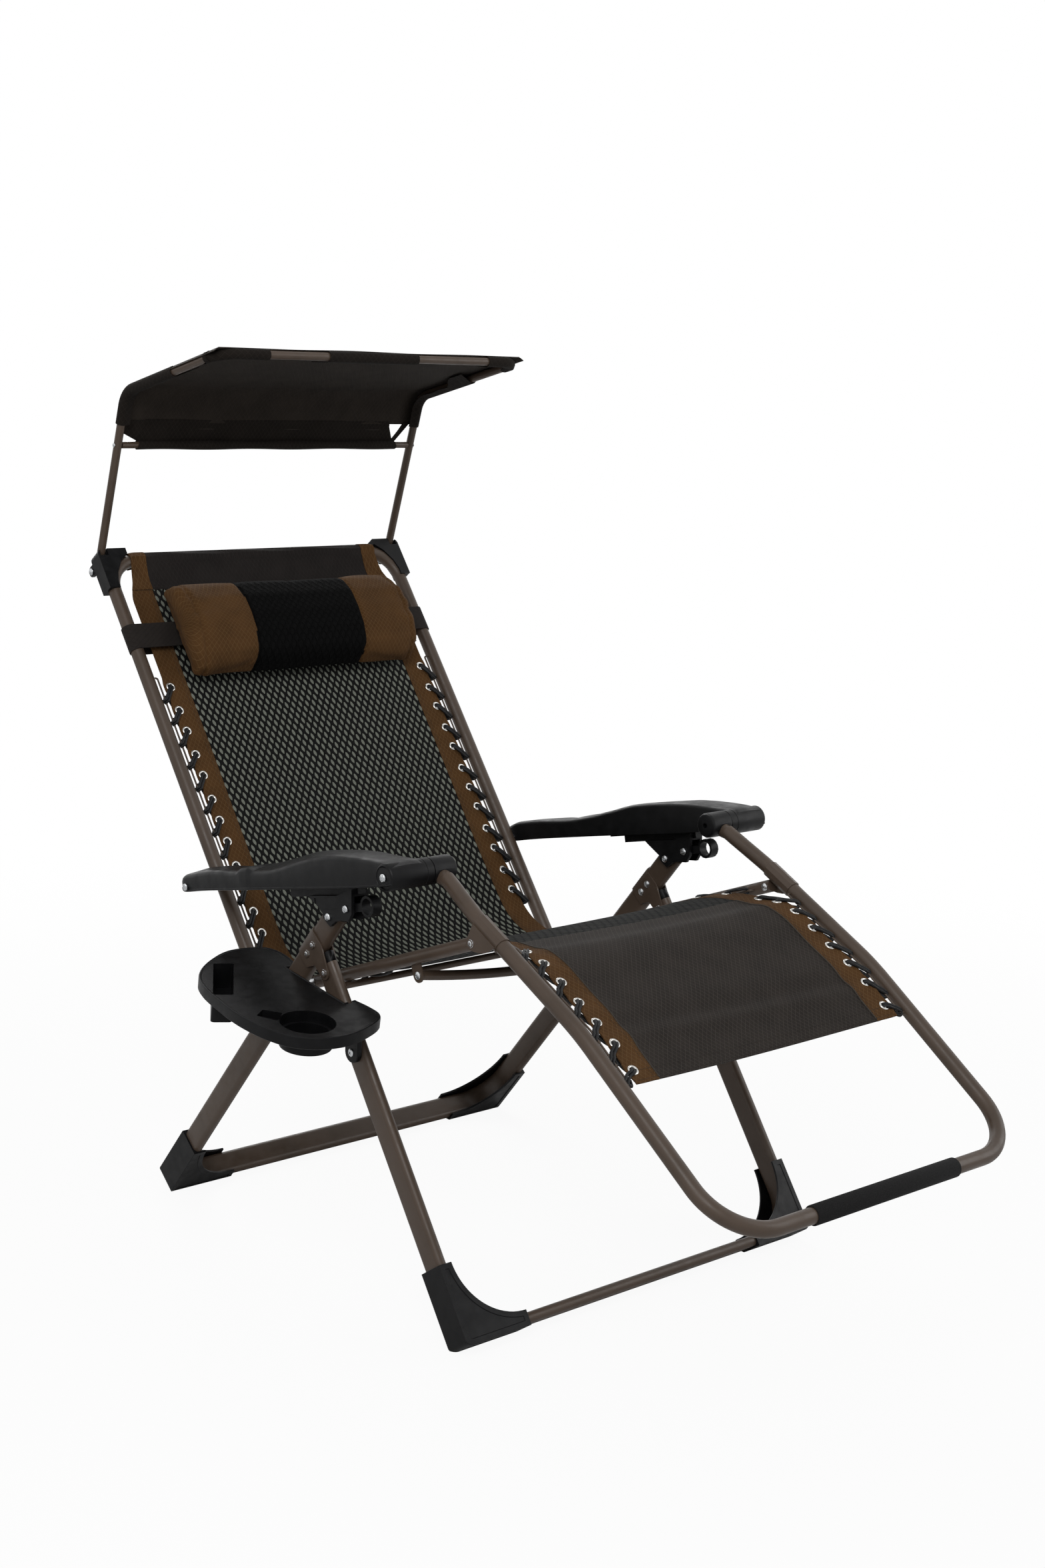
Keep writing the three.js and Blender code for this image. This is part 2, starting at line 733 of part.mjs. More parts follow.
// A lacing rod beside a tube, bent into the tube at both ends
function lacingRod(frame, from, to, rodX, tubeX, across = 0) {
  const corners = [
    inFrame(frame, from, across, tubeX),
    inFrame(frame, from, across, rodX),
    inFrame(frame, to, across, rodX),
    inFrame(frame, to, across, tubeX),
  ];
  const bend = rodFromTube / 2;
  return sweep(filleted(corners, [bend, bend], 1), disc(rodRadius, eyeletSides));
}

function seatRail() {
  const rear = pivotToBack - railShortOfBack;
  const front = -pivotToFootrest - railPastFootrest;
  const tubeEnd = rear - sheetMetal / 2;
  const tube = sweep([inFrame(rail, front, 0, railHalfWidth), inFrame(rail, tubeEnd, 0, railHalfWidth)],
    roundTube(railRadius));
  // The rear end widens into a fork for the back tube
  const innerPlate = backHalfWidth - frameTubeRadius - slideGap;
  const outerPlate = backHalfWidth + frameTubeRadius + slideGap;
  const webHalf = clevisRadius - slideGap;
  const web = solid(slab(rectangle(rear - sheetMetal + fitGap, rear, -webHalf, webHalf),
    innerPlate - sheetMetal / 2, outerPlate + sheetMetal / 2, rail));
  const plate = new THREE.Shape();
  plate.moveTo(rear - sheetMetal, -clevisRadius);
  plate.lineTo(pivotToBack, -clevisRadius);
  plate.absarc(pivotToBack, 0, clevisRadius, -Math.PI / 2, Math.PI / 2, false);
  plate.lineTo(rear - sheetMetal, clevisRadius);
  plate.closePath();
  const plates = solid(slab(plate, innerPlate - sheetMetal, innerPlate, rail))
    .add(solid(slab(plate, outerPlate, outerPlate + sheetMetal, rail)));
  const bolt = solid(pin(boltRadius, innerPlate - sheetMetal, outerPlate + sheetMetal, rail,
    pinSides, pivotToBack))
    .add(solid(pin(boltHeadRadius, outerPlate, outerPlate + sheetMetal + boltHeadHeight, rail,
      pinSides, pivotToBack)));
  // A tab below the rail for the bowed bar
  const tab = new THREE.Shape();
  const tabTop = -railRadius / 2;
  tab.moveTo(-stabiliserForward - tabWidth / 2, tabTop);
  tab.lineTo(-stabiliserForward - tabWidth / 2, -stabiliserDrop);
  tab.absarc(-stabiliserForward, -stabiliserDrop, tabWidth / 2, Math.PI, 2 * Math.PI, false);
  tab.lineTo(-stabiliserForward + tabWidth / 2, tabTop);
  tab.closePath();
  const tabPlate = solid(slab(tab, railHalfWidth - sheetMetal / 2, railHalfWidth + sheetMetal / 2, rail))
    .add(solid(pin(boltHeadRadius, railHalfWidth, railHalfWidth + sheetMetal / 2 + boltHeadHeight, rail,
      pinSides, -stabiliserForward, -stabiliserDrop)));
  const rodFrom = -seatEyeletFirst - seatEyeletPitch * (seatEyelets - 1) - seatEyeletPitch / 2;
  const rod = solid(lacingRod(rail, rodFrom, seatEyeletPitch / 2, seatRodX, railHalfWidth));
  const bores = solid(pin(boreRadius, railHalfWidth - clevisRadius, railHalfWidth + clevisRadius, rail))
    .add(solid(pin(boreRadius, railHalfWidth - clevisRadius, railHalfWidth + clevisRadius, rail,
      pinSides, -pivotToFootrest)));
  return geometryOf(solid(tube).add(web).add(plates).add(bolt).add(tabPlate).add(rod).subtract(bores));
}
pair('seat_rail', seatRail(), paint, seat, new THREE.Vector3(railHalfWidth, seatPivot.y, seatPivot.z));

// The straight bar lies under both rails
const crossbarDrop = railRadius + fitGap + crossbarRadius;
const crossbar = [
  inFrame(rail, -crossbarForward, -crossbarDrop, railHalfWidth + railRadius),
  inFrame(rail, -crossbarForward, -crossbarDrop, -railHalfWidth - railRadius),
];
piece('seat_crossbar', sweep(crossbar, roundTube(crossbarRadius)), paint, seat,
  inFrame(rail, -crossbarForward, -crossbarDrop));

// The bowed bar hangs between the tabs
function stabiliserBar() {
  const slope = 2 * stabiliserSag / railHalfWidth;
  const half = railHalfWidth - sheetMetal / 2 - fitGap - stabiliserRadius * slope;
  const nodes = [];
  const steps = bendSteps * 2;
  for (let i = 0; i <= steps; i += 1) {
    const share = 2 * i / steps - 1;
    nodes.push(inFrame(rail, -stabiliserForward, -stabiliserDrop - stabiliserSag * (1 - share ** 2),
      half * share));
  }
  return sweep(nodes, roundTube(stabiliserRadius));
}
piece('stabiliser_bar', stabiliserBar(), paint, seat, inFrame(rail, -stabiliserForward, -stabiliserDrop));

// Backrest

const backRodX = backHalfWidth - frameTubeRadius - rodFromTube;
const backEyeletAt = (i) => backEyeletTop - backEyeletPitch * i;

function backrestFrame() {
  const corners = [
    inFrame(back, -backTubeBelowPin, 0, backHalfWidth),
    inFrame(back, backLength, 0, backHalfWidth),
    inFrame(back, backLength, 0, -backHalfWidth),
    inFrame(back, -backTubeBelowPin, 0, -backHalfWidth),
  ];
  const tube = solid(sweep(filleted(corners, [backBend, backBend]), roundTube(frameTubeRadius)));
  const rodFrom = backEyeletAt(backEyelets - 1) - backEyeletPitch / 2;
  const rodTo = backEyeletTop + backEyeletPitch / 2;
  const rod = lacingRod(back, rodFrom, rodTo, backRodX, backHalfWidth);
  const reach = backHalfWidth + frameTubeRadius * 2;
  return geometryOf(tube
    .add(solid(rod))
    .add(solid(mirrored(rod)))
    .subtract(solid(pin(boreRadius, -reach, reach, back))));
}
piece('backrest_frame', backrestFrame(), paint, backrest, inFrame(back, 0, 0));

// Black caps close the lower ends of the back tubes
const capTop = -backTubeBelowPin - fitGap;
pair('back_cap', sweep([
  inFrame(back, capTop, 0, backHalfWidth),
  inFrame(back, capTop - backCapThickness, 0, backHalfWidth),
], roundTube(frameTubeRadius)), blackPlastic, backrest, inFrame(back, capTop, 0, backHalfWidth));

// Corner brackets with the bearings of the canopy
const bracketEdgeShares = [
  [0.64, 0.145], [0.541, 0.386], [0.295, 0.675], [0, 0.855],
];
function topBracket() {
  const width = bracketOuterX - bracketInnerX;
  const height = bracketTo - bracketFrom;
  const outline = new THREE.Shape();
  outline.moveTo(bracketFrom, bracketOuterX);
  outline.lineTo(bracketFrom, bracketInnerX + width * bracketEdgeShares[0][0]);
  bracketEdgeShares.forEach(([u, v]) => outline.lineTo(bracketFrom + height * v, bracketInnerX + width * u));
  outline.lineTo(bracketTo, bracketInnerX);
  outline.lineTo(bracketTo, bracketOuterX - bracketCorner);
  outline.absarc(bracketTo - bracketCorner, bracketOuterX - bracketCorner, bracketCorner,
    0, Math.PI / 2, false);
  outline.closePath();
  // The plane of the back, with the length along u, the width along v and the front along the depth
  const plane = new THREE.Matrix4().makeBasis(
    new THREE.Vector3().setFromMatrixColumn(back, 0),
    new THREE.Vector3(1, 0, 0),
    new THREE.Vector3().setFromMatrixColumn(back, 1).negate(),
  ).setPosition(0, backPivot.y, backPivot.z);
  const thick = (shape, from, to) => {
    const geometry = new THREE.ExtrudeGeometry(shape, {
      depth: to - from, bevelEnabled: false, curveSegments: bendSteps,
    });
    return solid(geometry.translate(0, 0, from).applyMatrix4(plane));
  };
  const face = frameTubeRadius + bracketWall;
  const corners = [
    inFrame(back, bracketFrom - overrun, 0, backHalfWidth),
    inFrame(back, backLength, 0, backHalfWidth),
    inFrame(back, backLength, 0, bracketInnerX - legDepth),
  ];
  const room = solid(sweep(filleted(corners, [backBend]), roundTube(frameTubeRadius + fitGap)));
  const slotFrom = canopyHalfWidth - canopyTubeRadius - slideGap;
  const slotTo = canopyHalfWidth + canopyTubeRadius + slideGap;
  const behind = canopyPivotBehind + canopyLugRadius + overrun;
  const lug = new THREE.Shape();
  lug.moveTo(canopyPivotUp - canopyLugRadius, 0);
  lug.lineTo(canopyPivotUp - canopyLugRadius, -canopyPivotBehind);
  lug.absarc(canopyPivotUp, -canopyPivotBehind, canopyLugRadius, Math.PI, 2 * Math.PI, false);
  lug.lineTo(canopyPivotUp + canopyLugRadius, 0);
  lug.closePath();
  const lugs = solid(slab(lug, slotFrom - bracketWall * 2, bracketOuterX, back));
  const slotBack = solid(slab(rectangle(strutNotchFrom, bracketTo + overrun, -behind, frameTubeRadius),
    slotFrom, slotTo, back));
  const slotBehind = solid(slab(rectangle(bracketFrom, bracketTo + overrun, -behind, -face + fitGap),
    slotFrom, slotTo, back));
  const slotFront = solid(slab(rectangle(strutFrontNotchFrom, bracketTo + overrun, 0, face + overrun),
    slotFrom, slotTo, back));
  const bore = solid(pin(boreRadius, slotFrom - overrun * 2, bracketOuterX + overrun, canopy));
  return geometryOf(thick(outline, -face, face)
    .add(lugs)
    .subtract(room)
    .subtract(slotBack)
    .subtract(slotBehind)
    .subtract(slotFront)
    .subtract(bore));
}

pair('top_bracket', topBracket(), blackPlastic, backrest, inFrame(back, bracketFrom, 0, backHalfWidth));

// Canopy

const canopyCorner = inFrame(canopy, canopyStrutLength, 0);
const canopySide = sideFrame(canopyCorner.y, canopyCorner.z, canopySideAngle);

function canopyFrame() {
  const corners = [
    inFrame(canopy, -canopyLugRadius / 2, 0, canopyHalfWidth),
    inFrame(canopySide, 0, 0, canopyHalfWidth),
    inFrame(canopySide, canopySideLength, 0, canopyHalfWidth),
    inFrame(canopySide, canopySideLength, 0, -canopyHalfWidth),
    inFrame(canopySide, 0, 0, -canopyHalfWidth),
    inFrame(canopy, -canopyLugRadius / 2, 0, -canopyHalfWidth),
  ];
  const bends = [canopyRearBend, canopyFrontBend, canopyFrontBend, canopyRearBend];
  const reach = canopyHalfWidth + canopyTubeRadius * 2;
  return geometryOf(solid(sweep(filleted(corners, bends), roundTube(canopyTubeRadius, canopySides)))
    .subtract(solid(pin(boreRadius, -reach, reach, canopy)))
    .subtract(solid(pin(boltRadius, -reach, reach, canopy, pinSides, canopyBarUp))));
}
piece('canopy_frame', canopyFrame(), paint, canopyTilt, inFrame(canopy, 0, 0));

// The bar between the struts, with a thin bolt through each strut
function canopyBar() {
  const inner = canopyHalfWidth - canopyTubeRadius - fitGap;
  const outer = canopyHalfWidth + canopyTubeRadius + fitGap;
  const at = (radius, from, to) => solid(pin(radius, from, to, canopy, pinSides, canopyBarUp));
  const shank = boltRadius - fitGap;
  return geometryOf(at(canopyBarRadius, -inner, inner)
    .add(at(shank, -outer - boltHeadHeight, outer + boltHeadHeight))
    .add(at(boltHeadRadius, outer, outer + boltHeadHeight))
    .add(at(boltHeadRadius, -outer - boltHeadHeight, -outer)));
}
piece('canopy_crossbar', canopyBar(), zinc, canopyTilt, inFrame(canopy, canopyBarUp, 0));

// Bolts in the bearings of the canopy
function canopyPivotBolt() {
  const inner = canopyHalfWidth - canopyTubeRadius - slideGap - bracketWall * 2 - fitGap;
  const outer = bracketOuterX + fitGap;
  const shankEnd = boltHeadHeight / 2;
  return geometryOf(solid(pin(boltRadius, inner - shankEnd, outer + shankEnd, canopy))
    .add(solid(pin(boltHeadRadius, inner - boltHeadHeight, inner, canopy)))
    .add(solid(pin(boltHeadRadius, outer, outer + boltHeadHeight, canopy))));
}
pair('canopy_pivot', canopyPivotBolt(), zinc, backrest, inFrame(canopy, 0, 0, canopyHalfWidth));

// The cover is a sheet over the frame, with side sleeves, corner pockets, a middle tab and a rear flap
function canopyCover() {
  const inner = canopyTubeRadius + fitGap;
  const outer = inner + clothThickness;
  const sheetX = canopyHalfWidth + outer + fitGap;
  // The route of the tube in a side plane, offset square to it, outward and up
  const offset = (distance, from, to) => {
    const route = filleted([
      inFrame(canopy, from, 0),
      canopyCorner,
      inFrame(canopySide, to, 0),
    ], [canopyRearBend]);
    const path = new TubeRoute(route);
    return route.map((node, i) => {
      const along = path.getTangentAt(i / (route.length - 1));
      const across = new THREE.Vector3(1, 0, 0).cross(along).negate();
      return node.clone().addScaledVector(across, distance);
    });
  };
  const band = (low, high, from, to, fromX, toX) => {
    const nodes = [...offset(high, from, to), ...offset(low, from, to).reverse()];
    const points = nodes.map((node) => [node.y, node.z]);
    const shape = outlineOf(THREE.ShapeUtils.isClockWise(points.map(([u, v]) => new THREE.Vector2(u, v)))
      ? points.reverse() : points);
    return solid(slab(shape, fromX, toX, sideFrame(0, 0)));
  };
  const sheet = band(inner + fitGap, outer + fitGap, coverSleeveUp, canopySideLength, -sheetX, sheetX);
  const bareFrom = canopySideLength - coverSideBareFrom;
  const bareTo = canopySideLength - coverSideBareTo;
  const front = canopySideLength + outer;
  // A hem round the front bar between two places
  const frontHem = (fromX, toX) => {
    const flapEnd = canopySideLength - canopyTubeRadius - coverLip;
    const outside = solid(slab(rectangle(flapEnd, front, -outer, outer), fromX, toX, canopySide));
    const inside = solid(slab(rectangle(flapEnd - overrun, front - clothThickness, -inner, inner),
      fromX - overrun, toX + overrun, canopySide));
    return outside.subtract(inside);
  };
  const sideWall = canopyHalfWidth + inner;
  const sideCover = (side) => {
    const ends = (near, far) => (side > 0 ? [near, far] : [-far, -near]);
    const sleeveX = canopyHalfWidth - coverSleeveInner;
    const room = band(-inner, inner, coverSleeveUp - overrun, bareFrom + overrun,
      ...ends(sleeveX - overrun, sideWall));
    const sleeve = band(-outer, outer, coverSleeveUp + fitGap, bareFrom,
      ...ends(sleeveX, sideWall + clothThickness)).subtract(room);
    const end = solid(slab(rectangle(bareTo, front - fitGap, -outer + fitGap, outer - fitGap),
      ...ends(sideWall, sideWall + clothThickness), canopySide));
    const hem = frontHem(...ends(coverFrontInner, sideWall + clothThickness / 2));
    return sleeve.add(hem.add(end));
  };
  // The rear flap hangs from the sheet and loops round the bar between the struts
  const loopInner = canopyBarRadius + fitGap * 2;
  const flapPlane = new THREE.Matrix4().makeBasis(
    new THREE.Vector3(1, 0, 0),
    new THREE.Vector3().setFromMatrixColumn(canopy, 0),
    new THREE.Vector3().setFromMatrixColumn(canopy, 1),
  ).setPosition(0, canopyPivot.y, canopyPivot.z);
  const flapShape = outlineOf([
    [-coverFlapHalf, canopyBarUp + slideGap], [coverFlapHalf, canopyBarUp + slideGap],
    [coverFlapTopHalf, coverSleeveUp + overrun], [-coverFlapTopHalf, coverSleeveUp + overrun],
  ]);
  const flap = new THREE.ExtrudeGeometry(flapShape, { depth: clothThickness, bevelEnabled: false });
  flap.translate(0, 0, -loopInner - fitGap - clothThickness).applyMatrix4(flapPlane);
  const loopX = coverFlapHalf - overrun;
  const reach = coverFlapHalf + overrun;
  const loopRoom = solid(pin(loopInner, -reach, reach, canopy, tubeSides, canopyBarUp));
  const loop = solid(pin(loopInner + clothThickness, -loopX, loopX, canopy, tubeSides, canopyBarUp));
  return geometryOf(sheet
    .add(sideCover(1))
    .add(sideCover(-1))
    .add(frontHem(coverTabFrom, coverTabTo))
    .add(solid(flap).add(loop).subtract(loopRoom)));
}
piece('canopy_cover', canopyCover(), canopyCloth, canopyTilt, inFrame(canopySide, 0, 0));

// Footrest

const footPlane = (forward, rise) => new THREE.Vector3(0, footPivot.y - forward, footPivot.z + rise);
const upperSlope = sine(footUpperAngle) / cosine(footUpperAngle);
const lowerSlope = sine(footLowerAngle) / cosine(footLowerAngle);
const upperRise = (forward) => footBendRise - (forward + footBendRear) * upperSlope;
const kneeRise = upperRise(footKneeForward);
const footEndRise = kneeRise - (footEndForward - footKneeForward) * lowerSlope;
const upper = sideFrame(footPlane(0, 0).y, footPivot.z + upperRise(0), 180 + footUpperAngle);
const knee = footPlane(footKneeForward, kneeRise);
const lower = sideFrame(knee.y, knee.z, 180 + footLowerAngle);
const footRodX = footHalfWidth - frameTubeRadius - rodFromTube;
const withX = (point, x) => new THREE.Vector3(x, point.y, point.z);

function footrestHalfRoute(side) {
  return [
    withX(footPlane(-footStartRear, footStartRise), footHubHalfWidth * side),
    withX(footPlane(-footBendRear, footBendRise), footHubHalfWidth * side),
    withX(footPlane(-footSplayFrom, upperRise(-footSplayFrom)), footHubHalfWidth * side),
    withX(footPlane(-footSplayTo, upperRise(-footSplayTo)), footHalfWidth * side),
    withX(knee, footHalfWidth * side),
    withX(footPlane(footEndForward, footEndRise), footHalfWidth * side),
  ];
}

const legEyeletAt = (i) => legEyeletFirst + legEyeletPitch * i;

// Places along the footrest from its pivot, on the line of the upper or the lower tube
function footAt(distance, across, x) {
  const upperLength = footKneeForward / cosine(footUpperAngle);
  return distance < upperLength
    ? inFrame(upper, distance, -across, x)
    : inFrame(lower, distance - upperLength, -across, x);
}

const footRodFrom = earSleeveTo + rodFromTube;
const footRodTo = legEyeletAt(legEyelets - 1) + legEyeletPitch / 2;

function footrestFrame() {
  const bends = [footHubBend, 0, 0, footKneeBend, footCornerBend];
  const corners = [...footrestHalfRoute(1), ...footrestHalfRoute(-1).reverse()];
  const radii = [...bends, ...bends.slice().reverse()];
  const tube = solid(sweep(filleted(corners, radii, bendSteps - 1), roundTube(frameTubeRadius)));
  const rodCorners = [
    footAt(footRodFrom, 0, footHalfWidth),
    footAt(footRodFrom, 0, footRodX),
    withX(knee, footRodX),
    footAt(footRodTo, 0, footRodX),
    footAt(footRodTo, 0, footHalfWidth),
  ];
  const bend = rodFromTube / 2;
  const rod = sweep(filleted(rodCorners, [bend, 0, bend], 1), disc(rodRadius, eyeletSides));
  return geometryOf(tube.add(solid(rod)).add(solid(mirrored(rod))));
}
piece('footrest_frame', footrestFrame(), paint, footrest, withX(knee, 0));

// The foam grip round the middle of the foot bar
const footEnd = footPlane(footEndForward, footEndRise);
const endFrame = sideFrame(footEnd.y, footEnd.z);
const gripOutline = disc(gripRadius, tubeSides);
gripOutline.holes.push(disc(gripBore, tubeSides));
piece('foot_grip', slab(gripOutline, -gripHalfLength, gripHalfLength, endFrame), foam, footrest, footEnd);

// Ear brackets: a sleeve on the footrest tube and a plate down to a rivet in the rail
function earBracket() {
  const stretch = (reach) => [
    inFrame(upper, earSleeveFrom - reach, 0, footHalfWidth),
    inFrame(upper, earSleeveTo + reach, 0, footHalfWidth),
  ];
  const plateX = railHalfWidth + railRadius + fitGap * 2;
  const outline = new THREE.Shape();
  const pivotAcross = upperRise(0) * cosine(footUpperAngle);
  const pivotAlong = upperRise(0) * sine(footUpperAngle);
  outline.moveTo(earSleeveFrom + slideGap, 0);
  outline.lineTo(pivotAlong - earTipRadius, pivotAcross - earTipRadius);
  outline.absarc(pivotAlong, pivotAcross, earTipRadius, Math.PI, Math.PI / 2, true);
  outline.quadraticCurveTo(earSleeveTo - earTipRadius, pivotAcross, earSleeveTo - slideGap, 0);
  outline.closePath();
  const plate = solid(slab(outline, plateX, plateX + sheetMetal, upper));
  const rivetAt = (radius, from, to) => solid(
    pin(radius, from, to, upper, pinSides, pivotAlong, pivotAcross),
  );
  const tubeRoom = solid(sweep(stretch(overrun), roundTube(frameTubeRadius + fitGap)));
  return geometryOf(solid(sweep(stretch(0), roundTube(earSleeveRadius)))
    .add(plate)
    .subtract(tubeRoom)
    .add(rivetAt(boltRadius, railHalfWidth - railRadius - boltHeadHeight, plateX + sheetMetal))
    .add(rivetAt(boltHeadRadius, plateX, plateX + sheetMetal + boltHeadHeight)));
}
pair('ear_bracket', earBracket(), paint, footrest, withX(footPivot, railHalfWidth));

// Hubs on the upper ends of the footrest tubes
function footrestHub() {
  const round = armHubRadius / 4;
  const length = armHubInnerX - fitGap - footHubInnerX;
  const profile = [
    new THREE.Vector2(boreRadius, length),
    new THREE.Vector2(boreRadius, round),
    new THREE.Vector2(boreRadius, 0),
    new THREE.Vector2(armHubRadius - round, 0),
    new THREE.Vector2(armHubRadius - round / 3, round / 3),
    new THREE.Vector2(armHubRadius, round),
    new THREE.Vector2(armHubRadius, length),
    new THREE.Vector2(boreRadius, length),
  ];
  const turned = new THREE.LatheGeometry(profile, hubSides);
  turned.rotateZ(-Math.PI / 2);
  turned.translate(footHubInnerX, armHub.y, armHub.z);
  const start = footPlane(-footStartRear, footStartRise);
  const bend = footPlane(-footBendRear, footBendRise);
  const inward = start.clone().sub(bend).setLength(fitGap);
  const socket = sweep([
    withX(start.clone().add(inward), footHubHalfWidth),
    withX(bend.clone().sub(inward.clone().setLength(legBend)), footHubHalfWidth),
  ], roundTube(frameTubeRadius + fitGap));
  return geometryOf(solid(turned).subtract(solid(socket)));
}
pair('footrest_hub', footrestHub(), blackPlastic, footrest, withX(armHub, footHubInnerX));

// Armrests

// Top edges over the length of the arm, as shares of that length and of the hub radius
const armOuterTopShares = [
  [0.01, 1], [0.054, 1.23], [0.108, 1.45], [0.166, 1.64], [0.223, 1.77], [0.282, 1.77], [0.343, 1.64],
  [0.395, 1.5], [0.448, 1.23], [0.502, 1.05], [0.556, 0.91], [0.61, 0.91], [0.67, 1.23], [0.72, 0.91],
  [0.82, 1.14], [0.877, 1.14], [0.958, 0.95], [1.02, 0.64],
];
const armInnerTopShares = [
  [0.01, 1.05], [0.054, 1.2], [0.108, 1.45], [0.166, 1.68], [0.223, 1.82], [0.282, 1.91], [0.343, 1.96],
  [0.395, 1.96], [0.448, 1.85], [0.502, 1.65], [0.556, 1.48], [0.61, 1.3], [0.67, 1.15], [0.72, 1.1],
  [0.82, 1.2], [0.877, 1.27], [0.958, 1.32], [1.02, 1.2],
];
const armHollowShares = [
  [0.05, 1], [0.223, 1.5], [0.343, 1.5], [0.5, 0.9], [0.72, 0.8], [0.958, 0.9],
];
const armTailShare = 0.67;
const armCrownShare = 0.042;
const armEdgeShare = 0.083;
const armBottomShares = [
  [0, -0.64], [0.147, -0.64], [0.463, -0.5], [0.676, -0.41], [0.917, -0.36], [1.02, -0.5],
];

function shareAt(table, share) {
  const next = table.findIndex(([place]) => place >= share);
  if (next <= 0) {
    return next === 0 ? table[0][1] : table[table.length - 1][1];
  }
  const [fromPlace, fromValue] = table[next - 1];
  const [toPlace, toValue] = table[next];
  return fromValue + (toValue - fromValue) * (share - fromPlace) / (toPlace - fromPlace);
}

// The body of an armrest between its ends, with rounded top edges and a crown
function armBody() {
  const rings = armOuterTopShares.map(([place, outerTop], i) => {
    const along = armLength * place;
    const tail = THREE.MathUtils.clamp((place - armTailShare) / (1 - armTailShare), 0, 1);
    const outerX = armOuterX - (armOuterX - armTailOuterX) * tail;
    const outerZ = armHubRadius * outerTop;
    const innerZ = armHubRadius * armInnerTopShares[i][1];
    const crown = (outerX - armInnerX) * armCrownShare;
    const edge = (outerX - armInnerX) * armEdgeShare;
    const bottom = armHubRadius * shareAt(armBottomShares, place);
    const midX = (outerX + armInnerX) / 2;
    return [
      inFrame(arm, along, innerZ - edge, armInnerX),
      inFrame(arm, along, innerZ, armInnerX + edge),
      inFrame(arm, along, (outerZ + innerZ) / 2 + crown, midX),
      inFrame(arm, along, outerZ, outerX - edge),
      inFrame(arm, along, outerZ - edge, outerX),
      inFrame(arm, along, bottom, outerX),
      inFrame(arm, along, bottom, armInnerX),
    ];
  });
  return solid(skin(rings));
}

// The hollow under an armrest, a wall below its top
function armHollow() {
  const roof = armHollowShares.map(
    ([place, height]) => [armLength * place, armHubRadius * height - armWall],
  );
  const [first] = roof[0];
  const [last] = roof[roof.length - 1];
  const outline = outlineOf([[first, -armHubRadius], [last, -armHubRadius], ...roof.reverse()]);
  return solid(slab(outline, armInnerX + armWall, armTailOuterX - armWall, arm));
}

function armrest() {
  const body = armBody();
  const hollow = armHollow();
  const roof = (along) => armHubRadius * shareAt(armHollowShares, along / armLength) - armWall / 2;
  const beamMid = armLength * armHollowShares[2][0];
  const beam = solid(slab(outlineOf([
    [armBeamFrom, -lockBelowArm],
    [armBeamTo, -lockBelowArm],
    [armBeamTo, roof(armBeamTo)],
    [beamMid, roof(beamMid)],
    [armBeamFrom, roof(armBeamFrom)],
  ]), legHalfWidth - armBeamHalf, legHalfWidth + armBeamHalf, arm));
  const hub = solid(pin(armHubRadius, armHubInnerX, armOuterX, arm, hubSides));
  const capRecess = solid(pin(armHubRadius - armWall, armOuterX - armWall / 2, armOuterX + overrun, arm,
    hubSides));
  const capStud = solid(pin(boltHeadRadius + armWall, armOuterX - armWall, armOuterX - armWall / 4, arm,
    tubeSides));
  return geometryOf(body.subtract(hollow)
    .add(beam)
    .add(hub)
    .subtract(capRecess)
    .add(capStud)
    .subtract(solid(pin(boreRadius, armHubInnerX - overrun, armOuterX + overrun, arm)))
    .subtract(solid(pin(boreRadius, armInnerX - overrun, armOuterX, arm, pinSides, armLength))));
}
const armAnchor = new THREE.Vector3(armInnerX, armHub.y, armHub.z);
pair('armrest', armrest(), blackPlastic, [armLeft, armRight], armAnchor);

// Bolts through the hubs, and bolts from the tail of each armrest to the back tube
function hubBolt() {
  const from = footHubInnerX + armHubRadius / 2;
  const outer = armOuterX - armWall / 4 + fitGap;
  return geometryOf(solid(pin(boltRadius, from, outer + boltHeadHeight, arm))
    .add(solid(pin(boltHeadRadius, outer, outer + boltHeadHeight, arm))));
}
pair('hub_bolt', hubBolt(), zinc, [armLeft, armRight], armAnchor);
function tailBolt() {
  const inner = backHalfWidth + frameTubeRadius + slideGap;
  const outer = armTailOuterX + slideGap;
  return geometryOf(solid(pin(boltRadius, inner, outer + boltHeadHeight, arm, pinSides, armLength))
    .add(solid(pin(boltHeadRadius, outer, outer + boltHeadHeight, arm, pinSides, armLength))));
}
pair('tail_bolt', tailBolt(), zinc, [armLeft, armRight], armAnchor);

// Lock blocks, each a fork over the top of a rear leg with a shoe that runs under the armrest
const lockFrame = sideFrame(lockPin.y, lockPin.z, armAngle);
const lockOverPin = (inFrame(arm, 0, -lockBelowArm).clone().sub(lockPin)).dot(
  new THREE.Vector3().setFromMatrixColumn(arm, 1),
);
const lockTop = lockOverPin - fitGap;
